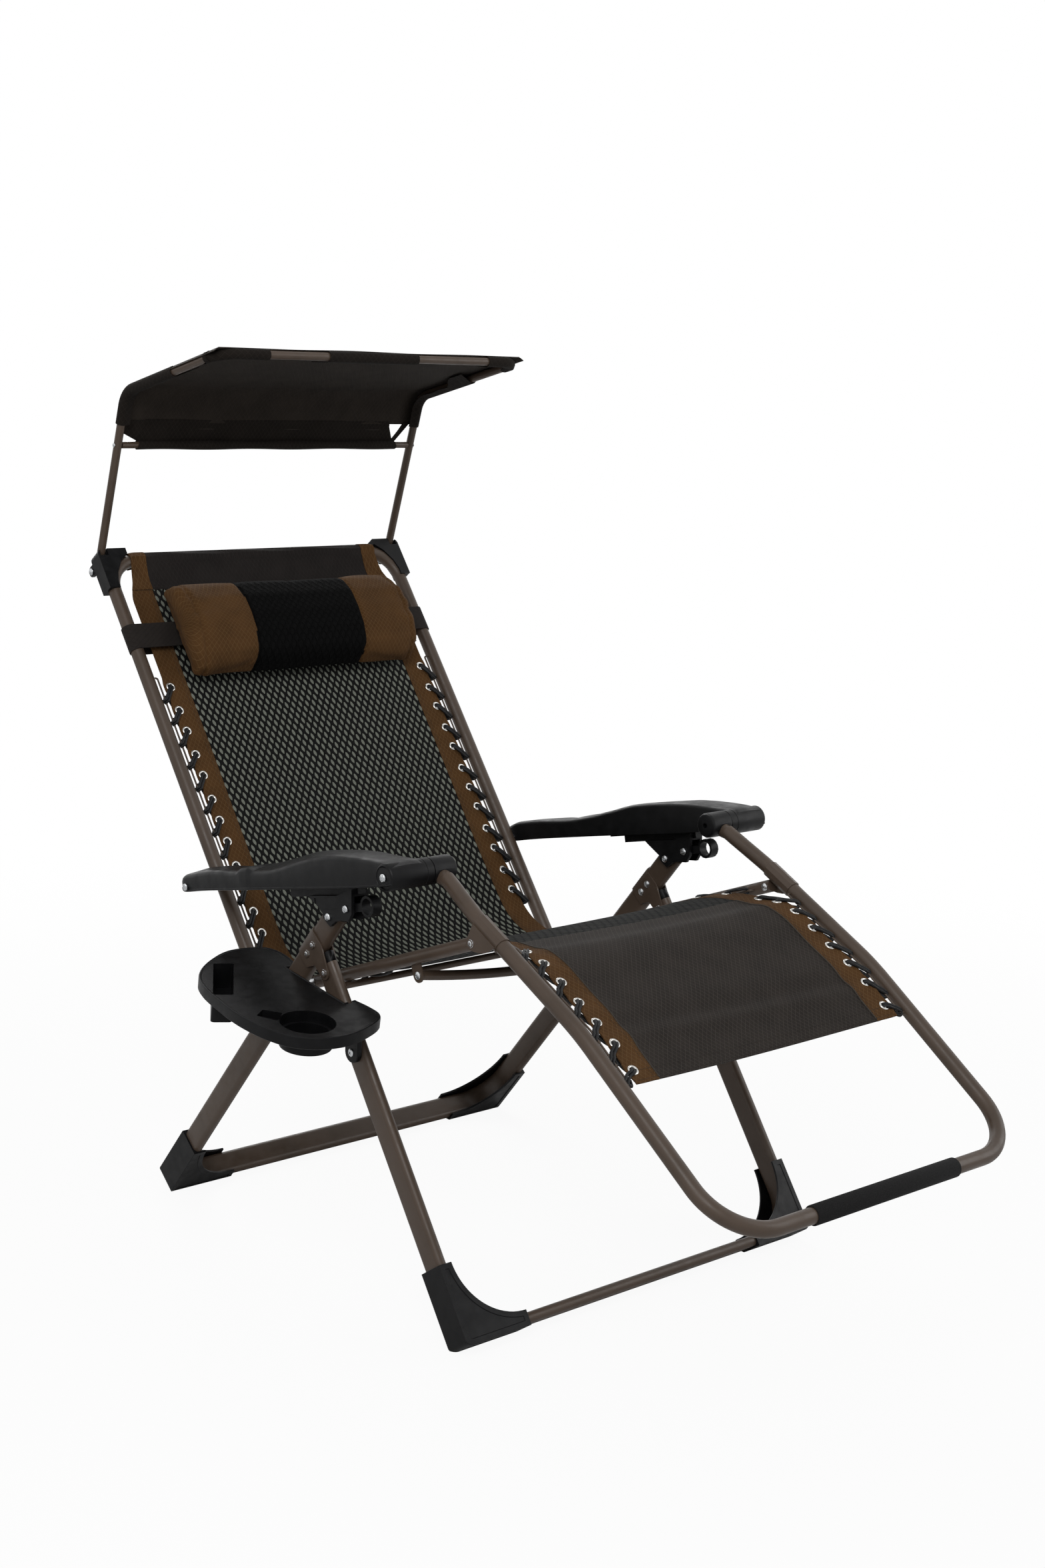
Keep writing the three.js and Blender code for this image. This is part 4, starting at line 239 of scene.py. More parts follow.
def lay_cloth(mesh: bpy.types.Mesh, flat: Array) -> None:
    """Gives a mesh its cloth coordinates, in millimetres across and along the cloth at each vertex."""
    layer = mesh.uv_layers.get("cloth") or mesh.uv_layers.new(name="cloth")
    loops = np.zeros(len(mesh.loops), np.int32)
    mesh.loops.foreach_get("vertex_index", loops)
    layer.data.foreach_set("uv", (flat * METRES)[loops].astype(np.float32).ravel())


@dataclass
class Shape:
    """Points and faces gathered for one mesh, with cloth coordinates and a finish for each face."""

    points: list[Array] = field(default_factory=list)
    cloth: list[Array] = field(default_factory=list)
    faces: list[tuple[int, ...]] = field(default_factory=list)
    marks: list[int] = field(default_factory=list)
    count: int = 0

    def add(self, points: Array, faces: Iterable[Sequence[int]], mark: int = 0,
            cloth: Array | None = None) -> None:
        """Adds points, and faces that count from the first of them."""
        points = np.asarray(points, float).reshape(-1, 3)
        flat = np.zeros((len(points), 2)) if cloth is None else np.asarray(cloth, float).reshape(-1, 2)
        self.points.append(points)
        self.cloth.append(flat)
        for face in faces:
            self.faces.append(tuple(int(k) + self.count for k in face))
            self.marks.append(mark)
        self.count += len(points)

    def grid(self, rows: Array, ring: bool = False, caps: bool = False, mark: int = 0,
             cloth: Array | None = None) -> None:
        """Adds a grid of rows of points.

        Args:
            rows: The points, as rows by columns by three.
            ring: Whether each row closes on itself.
            caps: Whether the first and the last row are closed by a face.
            mark: The number of the finish.
            cloth: The cloth coordinates of the points.
        """
        height, width = rows.shape[:2]
        reach = width if ring else width - 1
        faces = [(i * width + k, i * width + (k + 1) % width, (i + 1) * width + (k + 1) % width,
                  (i + 1) * width + k) for i in range(height - 1) for k in range(reach)]
        if caps:
            faces.append(tuple(range(width))[::-1])
            faces.append(tuple(range((height - 1) * width, height * width)))
        self.add(rows, faces, mark, cloth)

    def tube(self, path: Array, section: Array, up: Array | None = None) -> None:
        """Sweeps a closed section along a path, with its second axis kept on a direction if one is given."""
        ahead = directions(path)
        side = np.cross(ahead[0], [0.3, 0.5, 0.8]) if up is None else np.cross(up, ahead[0])
        rows = []
        for point, way in zip(path, ahead):
            side = unit(side - way * (side @ way)) if up is None else unit(np.cross(up, way))
            lift = np.cross(way, side)
            rows.append(point + section[:, :1] * side + section[:, 1:] * lift)
        self.grid(np.array(rows), ring=True, caps=True)

    def sheet(self, face: Array, normals: Array, thickness: float, mark: int = 0,
              cloth: Array | None = None) -> None:
        """Adds a grid of cloth with both faces and its edge.

        Args:
            face: The middle of the cloth, as rows by columns by three.
            normals: The direction of its front at each point.
            thickness: The thickness of the cloth.
            mark: The number of the finish.
            cloth: The cloth coordinates of the points.
        """
        height, width = face.shape[:2]
        front, back = face + normals * thickness / 2, face - normals * thickness / 2
        half = height * width
        quads = [(i * width + k, i * width + k + 1, (i + 1) * width + k + 1, (i + 1) * width + k)
                 for i in range(height - 1) for k in range(width - 1)]
        edge = list(range(width))
        edge += [i * width + width - 1 for i in range(1, height)]
        edge += [(height - 1) * width + k for k in range(width - 2, -1, -1)]
        edge += [i * width for i in range(height - 2, 0, -1)]
        faces = quads + [tuple(k + half for k in quad[::-1]) for quad in quads]
        faces += [(b, a, a + half, b + half) for a, b in zip(edge, edge[1:] + edge[:1])]
        both = None if cloth is None else np.concatenate([cloth.reshape(-1, 2)] * 2)
        self.add(np.concatenate([front.reshape(-1, 3), back.reshape(-1, 3)]), faces, mark, both)

    def slab(self, outline: Outline, plane: SidePlane, from_x: float, to_x: float) -> None:
        """Adds a flat outline of a side plane, raised along the width."""
        rows = np.array([[plane.at(u, v, x) for u, v in outline] for x in (from_x, to_x)])
        self.grid(rows, ring=True, caps=True)

    def raised(self, outline: Outline, plane: SidePlane, low: float, high: float) -> None:
        """Adds an outline of (x, along) in a plane, raised square to the plane from low to high."""
        rows = np.array([[plane.at(along, level, x) for x, along in outline] for level in (low, high)])
        self.grid(rows, ring=True, caps=True)

    def turned_ring(self, centre: Array, axis: Array, profile: Outline, count: int = 24,
                    closed: bool = True) -> None:
        """Turns a profile of (radius, height) about an axis.

        Args:
            centre: The foot of the profile on the axis.
            axis: The direction of the heights.
            profile: The points of the profile.
            count: The number of sides.
            closed: Whether the profile closes on itself, as a ring's does.
        """
        first = unit(np.cross(axis, [0.2, 0.9, 0.35]))
        second = np.cross(axis, first)
        turns = np.arange(count) * 2 * math.pi / count
        spokes = np.cos(turns)[:, None] * first + np.sin(turns)[:, None] * second
        rows = [centre + spokes * radius + axis * height for radius, height in profile]
        if closed:
            rows.append(rows[0])
        self.grid(np.array(rows), ring=True, caps=not closed)

    def stitches(self, path: Array, normals: Array, pitch: float = 3.6, width: float = 0.55) -> None:
        """Adds a row of sewn stitches along a path on a cloth, each a low lozenge."""
        reach, length = reaches(path), pitch * STITCH_SHARE
        for start in np.arange(pitch / 2, reach[-1] - pitch, pitch):
            first, last = (np.array([np.interp(place, reach, path[:, k]) for k in range(3)])
                           for place in (start, start + length))
            up = np.array([np.interp(start, reach, normals[:, k]) for k in range(3)])
            side = unit(np.cross(up, last - first)) * width
            middle = (first + last) / 2
            belt = [first, middle + side, last, middle - side]
            faces = [(k, (k + 1) % 4, 4) for k in range(4)] + [((k + 1) % 4, k, 5) for k in range(4)]
            self.add(np.array([*belt, middle + up * width, middle - up * width]), faces)

    def build(self, name: str, finishes: "Sequence[Finish]", body: str | None = None,
              sharp: float = 40.0) -> Piece:
        """Makes the mesh and its object.

        Args:
            name: The name of the piece.
            finishes: The finishes, in the order of their numbers.
            body: The body that the piece rides on, if it rides on one.
            sharp: The angle from which an edge is sharp.

        Returns:
            The object.
        """
        mesh = bpy.data.meshes.new(name)
        points = (np.vstack(self.points) + ACROSS * MIDDLE_X) * METRES
        mesh.from_pydata(points.tolist(), [], self.faces)
        mesh.polygons.foreach_set("material_index", self.marks)
        lay_cloth(mesh, np.vstack(self.cloth))
        gathered = bmesh.new()
        gathered.from_mesh(mesh)
        bmesh.ops.recalc_face_normals(gathered, faces=gathered.faces)
        gathered.to_mesh(mesh)
        gathered.free()
        mesh.shade_smooth()
        mesh.set_sharp_from_angle(angle=math.radians(sharp))
        made = bpy.data.objects.new(name, mesh)
        bpy.context.scene.collection.objects.link(made)
        for finish in finishes:
            mesh.materials.append(finish.material())
        if body:
            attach(made, body)
        LOG.info("%s: %d faces", name, len(mesh.polygons))
        return made


# Finishes


# The places of the sockets of a Mix node that blends colours
MIX_SHARE, MIX_FIRST, MIX_LAST, MIX_RESULT = 0, 6, 7, 2


class Wire:
    """A value in a material's node tree, with plain arithmetic."""

    def __init__(self, tree: bpy.types.NodeTree, socket: Socket) -> None:
        """Keeps the tree and the socket that gives the value."""
        self.tree, self.socket = tree, socket

    def joined(self, operation: str, *others: "Wire | float") -> "Wire":
        """The result of a Math node on this value and others."""
        node = self.tree.nodes.new("ShaderNodeMath")
        node.operation = operation
        for place, value in enumerate((self, *others)):
            if isinstance(value, Wire):
                self.tree.links.new(value.socket, node.inputs[place])
            else:
                node.inputs[place].default_value = value
        return Wire(self.tree, node.outputs[0])

    def __add__(self, other: "Wire | float") -> "Wire":
        """The sum."""
        return self.joined("ADD", other)

    def __sub__(self, other: "Wire | float") -> "Wire":
        """The difference."""
        return self.joined("SUBTRACT", other)

    def __mul__(self, other: "Wire | float") -> "Wire":
        """The product."""
        return self.joined("MULTIPLY", other)

    def from_middle(self) -> "Wire":
        """How far the value is from the middle of its whole step, from nought to a half."""
        return (self.joined("FRACT") - 0.5).joined("ABSOLUTE")

    def between(self, low: float, high: float, first: float = 0.0, last: float = 1.0) -> "Wire":
        """A soft step from first to last as the value goes from low to high."""
        node = self.tree.nodes.new("ShaderNodeMapRange")
        node.interpolation_type = "SMOOTHSTEP"
        self.tree.links.new(self.socket, node.inputs["Value"])
        for name, value in (("From Min", low), ("From Max", high), ("To Min", first), ("To Max", last)):
            node.inputs[name].default_value = value
        return Wire(self.tree, node.outputs[0])


class Sheet:
    """The node tree of one material, with its shader."""

    def __init__(self, name: str) -> None:
        """Starts a material with a plain shader."""
        self.material = bpy.data.materials.new(name)
        self.material.use_nodes = True
        self.tree = self.material.node_tree
        self.shader = next(node for node in self.tree.nodes if node.type == "BSDF_PRINCIPLED")

    def set(self, **values: float | tuple) -> None:
        """Sets sockets of the shader, with underscores for spaces."""
        for name, value in values.items():
            self.shader.inputs[name.replace("_", " ")].default_value = value

    def place(self) -> Socket:
        """Coordinates in metres that move with the piece."""
        return self.tree.nodes.new("ShaderNodeTexCoord").outputs["Object"]

    def cloth(self) -> tuple[Wire, Wire]:
        """Millimetres across and along the cloth."""
        source = self.tree.nodes.new("ShaderNodeUVMap")
        source.uv_map = "cloth"
        split = self.tree.nodes.new("ShaderNodeSeparateXYZ")
        self.tree.links.new(source.outputs[0], split.inputs[0])
        across, along = (Wire(self.tree, split.outputs[k]) for k in range(2))
        return across * (1 / METRES), along * (1 / METRES)

    def noise(self, scale: float, detail: float = 3.0) -> Wire:
        """Noise in the piece's own coordinates, with a scale of features in a metre."""
        node = self.tree.nodes.new("ShaderNodeTexNoise")
        node.inputs["Scale"].default_value = scale
        node.inputs["Detail"].default_value = detail
        self.tree.links.new(self.place(), node.inputs["Vector"])
        return Wire(self.tree, node.outputs[0])

    def blended(self, share: Wire, first: "tuple | Socket", last: tuple) -> Socket:
        """A colour between two, by a share."""
        node = self.tree.nodes.new("ShaderNodeMix")
        node.data_type = "RGBA"
        self.tree.links.new(share.socket, node.inputs[MIX_SHARE])
        if isinstance(first, tuple):
            node.inputs[MIX_FIRST].default_value = (*first, 1)
        else:
            self.tree.links.new(first, node.inputs[MIX_FIRST])
        node.inputs[MIX_LAST].default_value = (*last, 1)
        return node.outputs[MIX_RESULT]

    def link(self, socket: "Socket | Wire", name: str) -> None:
        """Links a value to a socket of the shader."""
        source = socket.socket if isinstance(socket, Wire) else socket
        self.tree.links.new(source, self.shader.inputs[name])

    def bump(self, height: Wire, distance: float, strength: float = 1.0) -> None:
        """Raises the surface by a height, with its full depth in metres."""
        node = self.tree.nodes.new("ShaderNodeBump")
        node.inputs["Strength"].default_value = strength
        node.inputs["Distance"].default_value = distance
        self.tree.links.new(height.socket, node.inputs["Height"])
        self.link(node.outputs[0], "Normal")


@dataclass(frozen=True)
class Finish:
    """A finish of a surface, which makes its material on first use."""

    name: str
    slot: Slot
    colour: tuple[float, float, float]
    shade: tuple[float, float, float]
    roughness: float = 0.5

    def material(self) -> bpy.types.Material:
        """The material of this finish."""
        found = bpy.data.materials.get(self.name)
        if found:
            return found
        sheet = Sheet(self.name)
        sheet.set(Roughness=self.roughness)
        sheet.material.diffuse_color = (*self.colour, 1)
        self.dress(sheet)
        return sheet.material

    def tint(self, sheet: Sheet, share: Wire) -> None:
        """Colours the surface, from the colour to the shade by a share."""
        sheet.link(sheet.blended(share, self.colour, self.shade), "Base Color")

    def dull(self, sheet: Sheet, patches: Wire, less: float, more: float, high: float = 0.7) -> None:
        """Varies the roughness about its value, by patches of noise."""
        share = patches.between(0.3, high, self.roughness - less, self.roughness + more)
        sheet.link(share, "Roughness")

    def dress(self, sheet: Sheet) -> None:
        """Adds the nodes of the finish."""
        self.tint(sheet, sheet.noise(30))


class PowderCoat(Finish):
    """Satin powder coat with a fine orange peel and small dull marks."""

    def dress(self, sheet: Sheet) -> None:
        """Adds the nodes of the finish."""
        self.tint(sheet, sheet.noise(14, 5).between(0.42, 0.72))
        self.dull(sheet, sheet.noise(60, 6), 0.06, 0.12, 0.75)
        sheet.set(Specular_IOR_Level=0.3)
        sheet.bump(sheet.noise(1500, 2), 0.00008, 0.5)


class Zinc(Finish):
    """Bright zinc plate with faint clouding."""

    def dress(self, sheet: Sheet) -> None:
        """Adds the nodes of the finish."""
        sheet.set(Metallic=1.0)
        self.tint(sheet, sheet.noise(260, 4))
        self.dull(sheet, sheet.noise(500, 3), 0.08, 0.1)


class MouldedPlastic(Finish):
    """Black plastic with a fine moulded grain and slightly paler rubbed patches."""

    def dress(self, sheet: Sheet) -> None:
        """Adds the nodes of the finish."""
        self.tint(sheet, sheet.noise(40, 6).between(0.45, 0.8))
        self.dull(sheet, sheet.noise(45, 5), 0.05, 0.1)
        sheet.set(Specular_IOR_Level=0.15)
        grain = sheet.noise(1100, 2) + sheet.noise(2600, 1) * 0.5
        sheet.bump(grain, 0.00018, 0.5)


class Foam(Finish):
    """Closed cell foam with fine pores."""

    def dress(self, sheet: Sheet) -> None:
        """Adds the nodes of the finish."""
        pores = sheet.noise(900, 4)
        sheet.link(sheet.blended(pores.between(0.35, 0.7), self.shade, self.colour), "Base Color")
        sheet.set(Specular_IOR_Level=0.15)
        sheet.bump(pores + sheet.noise(60, 3) * 1.5, 0.0005, 0.8)


class Ripstop(Finish):
    """Plain weave with a diamond net of thicker threads."""

    cell: tuple[float, float] = (9.4, 12.4)
    thread: float = 0.055
    cloud: float = 0.74
    net_share: float = 0.75
    weave_pitch: float = 1.6

    def net(self, sheet: Sheet) -> Wire:
        """The share of the thick threads, from nought between them to one on them."""
        across, along = sheet.cloth()
        wide, tall = self.cell
        rising = (across * (1 / wide) + along * (1 / tall)).from_middle()
        falling = (across * (1 / wide) - along * (1 / tall)).from_middle()
        return rising.joined("MAXIMUM", falling).between(0.5 - self.thread, 0.5 - self.thread / 4)

    def dress(self, sheet: Sheet) -> None:
        """Adds the nodes of the finish."""
        across, along = sheet.cloth()
        net = self.net(sheet)
        cloudy = sheet.noise(22, 4).between(0.3, 0.72)
        ground = sheet.blended(cloudy, self.colour, tuple(c * self.cloud for c in self.colour))
        sheet.link(sheet.blended(net * self.net_share, ground, self.shade), "Base Color")
        weave = (across * self.weave_pitch).from_middle() + (along * self.weave_pitch).from_middle()
        sheet.bump(net * 1.2 + weave * 0.5 + sheet.noise(90, 3) * 1.4, 0.0005, 0.6)
        sheet.set(Sheen_Weight=0.02, Sheen_Roughness=0.5, Specular_IOR_Level=0.07)


class SpacerMesh(Finish):
    """Open knitted mesh with staggered leaf shaped openings over a paler ground."""

    pitch: tuple[float, float] = (15.6, 23.2)
    leaf: tuple[float, float] = (0.245, 0.335)
    lean: float = 0.2

    def dress(self, sheet: Sheet) -> None:
        """Adds the nodes of the finish."""
        across, along = sheet.cloth()
        wide, tall = self.pitch
        half, height = self.leaf
        leaves = []
        for offset in (0.0, 0.5):
            high = ((along * (1 / tall) + offset).joined("FRACT") - 0.5)
            shifted = across * (1 / wide) + high * self.lean + offset
            aside = shifted.from_middle()
            arch = (high * (1 / height)).joined("POWER", 2.0)
            leaves.append((arch * -1.0) - aside * (1 / half) + 1.0)
        opening = leaves[0].joined("MAXIMUM", leaves[1])
        thread = (across * 0.9).from_middle() * (along * 1.3).from_middle()
        inside = (opening.between(0.02, 0.34) * (thread * 2.2 + 0.62)).joined("MINIMUM", 1.0)
        self.tint(sheet, inside)
        strand = (across * 0.7 + along * 0.45).from_middle()
        sheet.bump(opening.between(-0.5, 0.3, 1.0, 0.0) * 2.0 + strand * 0.4 + sheet.noise(700, 2) * 0.2,
                   0.0016, 0.8)
        sheet.set(Specular_IOR_Level=0.07)


class Braid(Finish):
    """Woven cover of an elastic cord, or webbing with fine ribs."""

    ribs: float = 900.0

    def dress(self, sheet: Sheet) -> None:
        """Adds the nodes of the finish."""
        worn = sheet.noise(self.ribs, 2)
        self.tint(sheet, worn.between(0.45, 0.75))
        sheet.bump(worn, 0.0004, 0.7)
        sheet.set(Sheen_Weight=0.03, Specular_IOR_Level=0.2)


PAINT = PowderCoat("brown_powder_coat", Slot.PAINT, (0.072, 0.05, 0.036), (0.058, 0.04, 0.028), 0.36)
ZINC = Zinc("bright_zinc", Slot.ZINC, (0.66, 0.68, 0.7), (0.5, 0.51, 0.52), 0.27)
NICKEL = Zinc("bright_nickel", Slot.ZINC, (0.6, 0.59, 0.56), (0.46, 0.45, 0.43), 0.24)
PLASTIC = MouldedPlastic("black_moulded_plastic", Slot.PLASTIC, (0.004, 0.004, 0.0044),
                         (0.0065, 0.0065, 0.0072), 0.38)
FOAM = Foam("foam_grip", Slot.FOAM, (0.014, 0.0135, 0.014), (0.006, 0.006, 0.006), 0.86)
BROWN = Ripstop("brown_ripstop", Slot.RIPSTOP, (0.088, 0.042, 0.0145), (0.17, 0.098, 0.042), 0.78)
CHARCOAL = Ripstop("charcoal_ripstop", Slot.RIPSTOP, (0.026, 0.0215, 0.0185), (0.075, 0.064, 0.055), 0.7)
PLAIN = Ripstop("charcoal_plain", Slot.RIPSTOP, (0.0185, 0.0155, 0.0145), (0.026, 0.022, 0.0205), 0.75)
CANOPY = Ripstop("canopy_ripstop", Slot.CANOPY, (0.027, 0.0215, 0.0175), (0.036, 0.03, 0.025), 0.8)
# A darker copy of the canopy cloth: painted shade on the sleeves, pockets, tab, rear flap and corner patches
CANOPY_PAINTED_SHADE = Ripstop("canopy_edge_ripstop", Slot.CANOPY, (0.0125, 0.0098, 0.008),
                      (0.024, 0.0195, 0.016), 0.8)
MESH = SpacerMesh("open_spacer_mesh", Slot.MESH, (0.005, 0.005, 0.005), (0.24, 0.255, 0.215), 0.7)
# The back's spacer mesh with darker openings: painted shade on the seat, where less light falls
SEAT_MESH_PAINTED_SHADE = SpacerMesh("dark_spacer_mesh", Slot.MESH, (0.005, 0.005, 0.005), (0.032, 0.033, 0.029), 0.7)
BLACK_MESH = SpacerMesh("black_spacer_mesh", Slot.MESH, (0.001, 0.001, 0.001), (0.003, 0.003, 0.003), 0.9)
CORD = Braid("elastic_braid", Slot.CORD, (0.005, 0.005, 0.0055), (0.014, 0.014, 0.015), 0.5)
WEBBING = Ripstop("strap_webbing", Slot.STRAP, (0.024, 0.02, 0.018), (0.012, 0.01, 0.009), 0.7)
THREAD = Braid("sewing_thread", Slot.RIPSTOP, (0.03, 0.025, 0.02), (0.06, 0.05, 0.04), 0.7)

CAD_FINISHES = {
    PLASTIC: ("leg_plug", "back_cap", "top_bracket", "footrest_hub", "lock_block", "lock_lever"),
    PAINT: ("hinge_plate", "ear_bracket"),
    ZINC: ("seat_pivot", "canopy_pivot", "hub_bolt", "tail_bolt", "lock_stud", "lever_pin"),
}
SOFT_EDGES = {"top_bracket": 1.0, "lock_block": 0.9, "lock_lever": 0.8, "footrest_hub": 0.6,
              "hinge_plate": 0.5, "ear_bracket": 0.5}
SOFT_FROM = math.radians(33)
WELD_GAP = 0.02 * METRES
LEVEL_WEIGHT = 60
MOULD_FROM, MOULD_SHARP, MOULD_WEIGHT = math.radians(32), math.radians(50), 90


def dress_cad_nodes() -> None:
    """Gives the CAD nodes that stay their materials and softly rounded edges."""
    finishes = {kind: finish for finish, kinds in CAD_FINISHES.items() for kind in kinds}
    for name, node in frame["nodes"].items():
        kind = name.removesuffix("_left").removesuffix("_right")
        if kind not in finishes:
            continue
        finish = finishes[kind]
        node.data.materials.clear()
        node.data.materials.append(finish.material())
        node.data.polygons.foreach_set("use_smooth", [True] * len(node.data.polygons))
        node.modifiers.new("weld", "WELD").merge_threshold = WELD_GAP
        if kind in SOFT_EDGES:
            edge = node.modifiers.new("edge", "BEVEL")
            edge.width, edge.segments = SOFT_EDGES[kind] * METRES, 2
            edge.angle_limit, edge.use_clamp_overlap = SOFT_FROM, True
        node.modifiers.new("level", "WEIGHTED_NORMAL").weight = LEVEL_WEIGHT


def settled(piece: Piece) -> None:
    """Makes a piece's modifiers part of its mesh."""
    ready = piece.evaluated_get(bpy.context.evaluated_depsgraph_get())
    made = bpy.data.meshes.new_from_object(ready)
    piece.modifiers.clear()
    piece.data = made


def merged(piece: Piece, other: Shape, operation: str = "DIFFERENCE") -> None:
    """Cuts a shape out of a piece's mesh for good, or joins it to the mesh with UNION."""
    tool = other.build(f"{piece.name}_tool", [NICKEL])
    join = piece.modifiers.new("join", "BOOLEAN")
    join.operation, join.solver, join.object = operation, "EXACT", tool
    settled(piece)
    bpy.data.objects.remove(tool)


def moulded(piece: Piece, width: float, body: str, stands_for: str | None = None, steps: int = 3) -> None:
    """Rounds the sharp edges of a plastic piece for good, and gives it its finish and its body.

    Args:
        piece: The piece.
        width: The width of the rounding.
        body: The body that the piece rides on.
        stands_for: The node that it replaces, if it replaces one.
        steps: The faces across the rounding.
    """
    edge = piece.modifiers.new("edge", "BEVEL")
    edge.width, edge.segments, edge.angle_limit = width * METRES, steps, MOULD_FROM
    edge.miter_outer, edge.use_clamp_overlap = "MITER_ARC", True
    settled(piece)
    piece.data.materials.clear()
    piece.data.materials.append(PLASTIC.material())
    piece.data.polygons.foreach_set("material_index", [0] * len(piece.data.polygons))
    piece.data.shade_smooth()
    piece.data.set_sharp_from_angle(angle=MOULD_SHARP)
    level = piece.modifiers.new("level", "WEIGHTED_NORMAL")
    level.keep_sharp, level.weight = True, MOULD_WEIGHT
    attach(piece, body)
    if stands_for:
        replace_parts(piece, stands_for)


# Frame


@dataclass(frozen=True)
class LacingRod:
    """A thin rod beside a tube, bent in to the tube at both ends, for the cords to turn round."""

    radius: float = 1.75
    bend: float = 4.0

    def add(self, shape: Shape, line: Sequence[Array], inset: float) -> None:
        """Adds the rod to a shape.

        Args:
            shape: The shape that gets it.
            line: The middle of the tube, from one end of the rod to the other.
            inset: How far the rod lies from there, towards the middle of the chair.
        """
        inward = ACROSS * -np.sign(line[0][0]) * inset
        nodes = [line[0], *(node + inward for node in line), line[-1]]
        bends = [self.bend, *[0] * (len(line) - 2), self.bend]
        shape.tube(filleted(nodes, bends, 6), circle(self.radius, 10))


@dataclass
class LegFrames:
    """The two crossed U frames of flat oval tube."""

    thickness: float = 18.0
    depth: float = 45.0
    half_width: float = 378.5
    bend: float = 70.0
    rear_angle: float = 129.2
    rear_to_pivot: float = 583.4
    rear_length: float = 786.4
    rear_to_hinge: float = 688.2
    front_angle: float = 54.3
    front_foot_z: float = 20.18
    front_past_pin: float = 12.0

    @property
    def rear(self) -> SidePlane:
        """The plane of the rear frame, from the middle of its bar."""
        way = SidePlane(0, 0, self.rear_angle).along_axis * self.rear_to_pivot
        return SidePlane(PIVOTS["seat_tilt"][1] - way[1], PIVOTS["seat_tilt"][2] - way[2], self.rear_angle)

    @property
    def front_length(self) -> float:
        """The length of the front legs up to the hinge."""
        return (PIVOTS["front_leg_fold"][2] - self.front_foot_z) / math.sin(math.radians(self.front_angle))

    @property
    def front(self) -> SidePlane:
        """The plane of the front frame, from the middle of its bar."""
        run = self.front_length * math.cos(math.radians(self.front_angle))
        return SidePlane(PIVOTS["front_leg_fold"][1] - run, self.front_foot_z, self.front_angle)

    def u_frame(self, plane: SidePlane, length: float, name: str, body: str) -> None:
        """Builds one U frame and hides the plain one."""
        corners = both_sides([plane.at(length, 0, self.half_width), plane.at(0, 0, self.half_width)])
        shape = Shape()
        shape.tube(filleted(corners, [self.bend] * 2, 16), flat_oval(self.thickness, self.depth),
                   plane.across_axis)
        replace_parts(shape.build(f"{name}_tube", [PAINT], body), name)

    def build(self) -> None:
        """Builds both frames."""
        self.u_frame(self.rear, self.rear_length, "rear_leg_frame", "rear_legs")
        self.u_frame(self.front, self.front_length + self.front_past_pin, "front_leg_frame", "front_legs")


@dataclass
class SeatFrame:
    """The two seat rails with forked rear ends, and the bars between them."""

    radius: float = 11.0
    half_width: float = 325.0
    angle: float = -21.59
    to_back: float = 162.1
    to_footrest: float = 443.4
    past_footrest: float = 9.0
    short_of_back: float = 22.0
    plate: float = 2.5
    plate_radius: float = 13.0
    fork_inner: float = 317.7
    fork_outer: float = 344.3
    web_half: float = 12.0
    tab_forward: float = 279.0
    tab_drop: float = 28.6
    tab_width: float = 24.0
    bar_radius: float = 8.0
    bar_sag: float = 28.0
    crossbar_forward: float = 86.0
    crossbar_radius: float = 6.0
    crossbar_gap: float = 0.3
    bar_short: float = 3.0
    rod_inset: float = 19.0
    rod_from: float = -417.0
    rod_to: float = 37.0

    @property
    def rail(self) -> SidePlane:
        """The plane along the rails, from the seat pivot."""
        return on_joint("seat_tilt", self.angle)

    def build(self) -> None:
        """Builds the rails and the bars."""
        rail = self.rail
        rear = self.to_back - self.short_of_back
        for side, sign in SIDES.items():
            shape = Shape()
            x = self.half_width * sign
            line = [rail.at(-self.to_footrest - self.past_footrest, 0, x),
                    rail.at(rear - self.plate / 2, 0, x)]
            shape.tube(np.array(line), circle(self.radius))
            front, half = rear - self.plate, self.web_half
            web = [(front, -half), (rear, -half), (rear, half), (front, half)]
            shape.slab(web, rail, sign * (self.fork_inner - 1), sign * (self.fork_outer + 1))
            outline = [(rear - self.plate, -self.plate_radius)]
            outline += arc(self.to_back, 0, self.plate_radius, -90, 90)
            outline += [(rear - self.plate, self.plate_radius)]
            for near, far in ((self.fork_inner - self.plate, self.fork_inner),
                              (self.fork_outer, self.fork_outer + self.plate)):
                shape.slab(outline, rail, sign * near, sign * far)
            low = -self.tab_drop
            tab = [(-self.tab_forward - self.tab_width / 2, -self.radius / 2)]
            tab += arc(-self.tab_forward, low, self.tab_width / 2, 180, 360)
            tab += [(-self.tab_forward + self.tab_width / 2, -self.radius / 2)]
            shape.slab(tab, rail, x - self.plate / 2, x + self.plate / 2)
            line = [rail.at(self.rod_from, 0, x), rail.at(self.rod_to, 0, x)]
            LacingRod().add(shape, line, self.rod_inset)
            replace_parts(shape.build(f"seat_rail_tube_{side}", [PAINT], "seat"), f"seat_rail_{side}")
        self.bars(rail)

    def bars(self, rail: SidePlane) -> None:
        """Builds the straight and the bowed bar."""
        drop = -(self.radius + self.crossbar_radius + self.crossbar_gap)
        ends = [rail.at(-self.crossbar_forward, drop, sign * (self.half_width + self.radius))
                for sign in SIDES.values()]
        straight = Shape()
        straight.tube(np.array(ends), circle(self.crossbar_radius))
        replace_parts(straight.build("seat_crossbar_tube", [PAINT], "seat"), "seat_crossbar")
        half = self.half_width - self.bar_short
        line = [rail.at(-self.tab_forward, -self.tab_drop - self.bar_sag * (1 - share**2), half * share)
                for share in np.linspace(-1, 1, 31)]
        bowed = Shape()
        bowed.tube(np.array(line), circle(self.bar_radius))
        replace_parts(bowed.build("stabiliser_tube", [PAINT], "seat"), "stabiliser_bar")


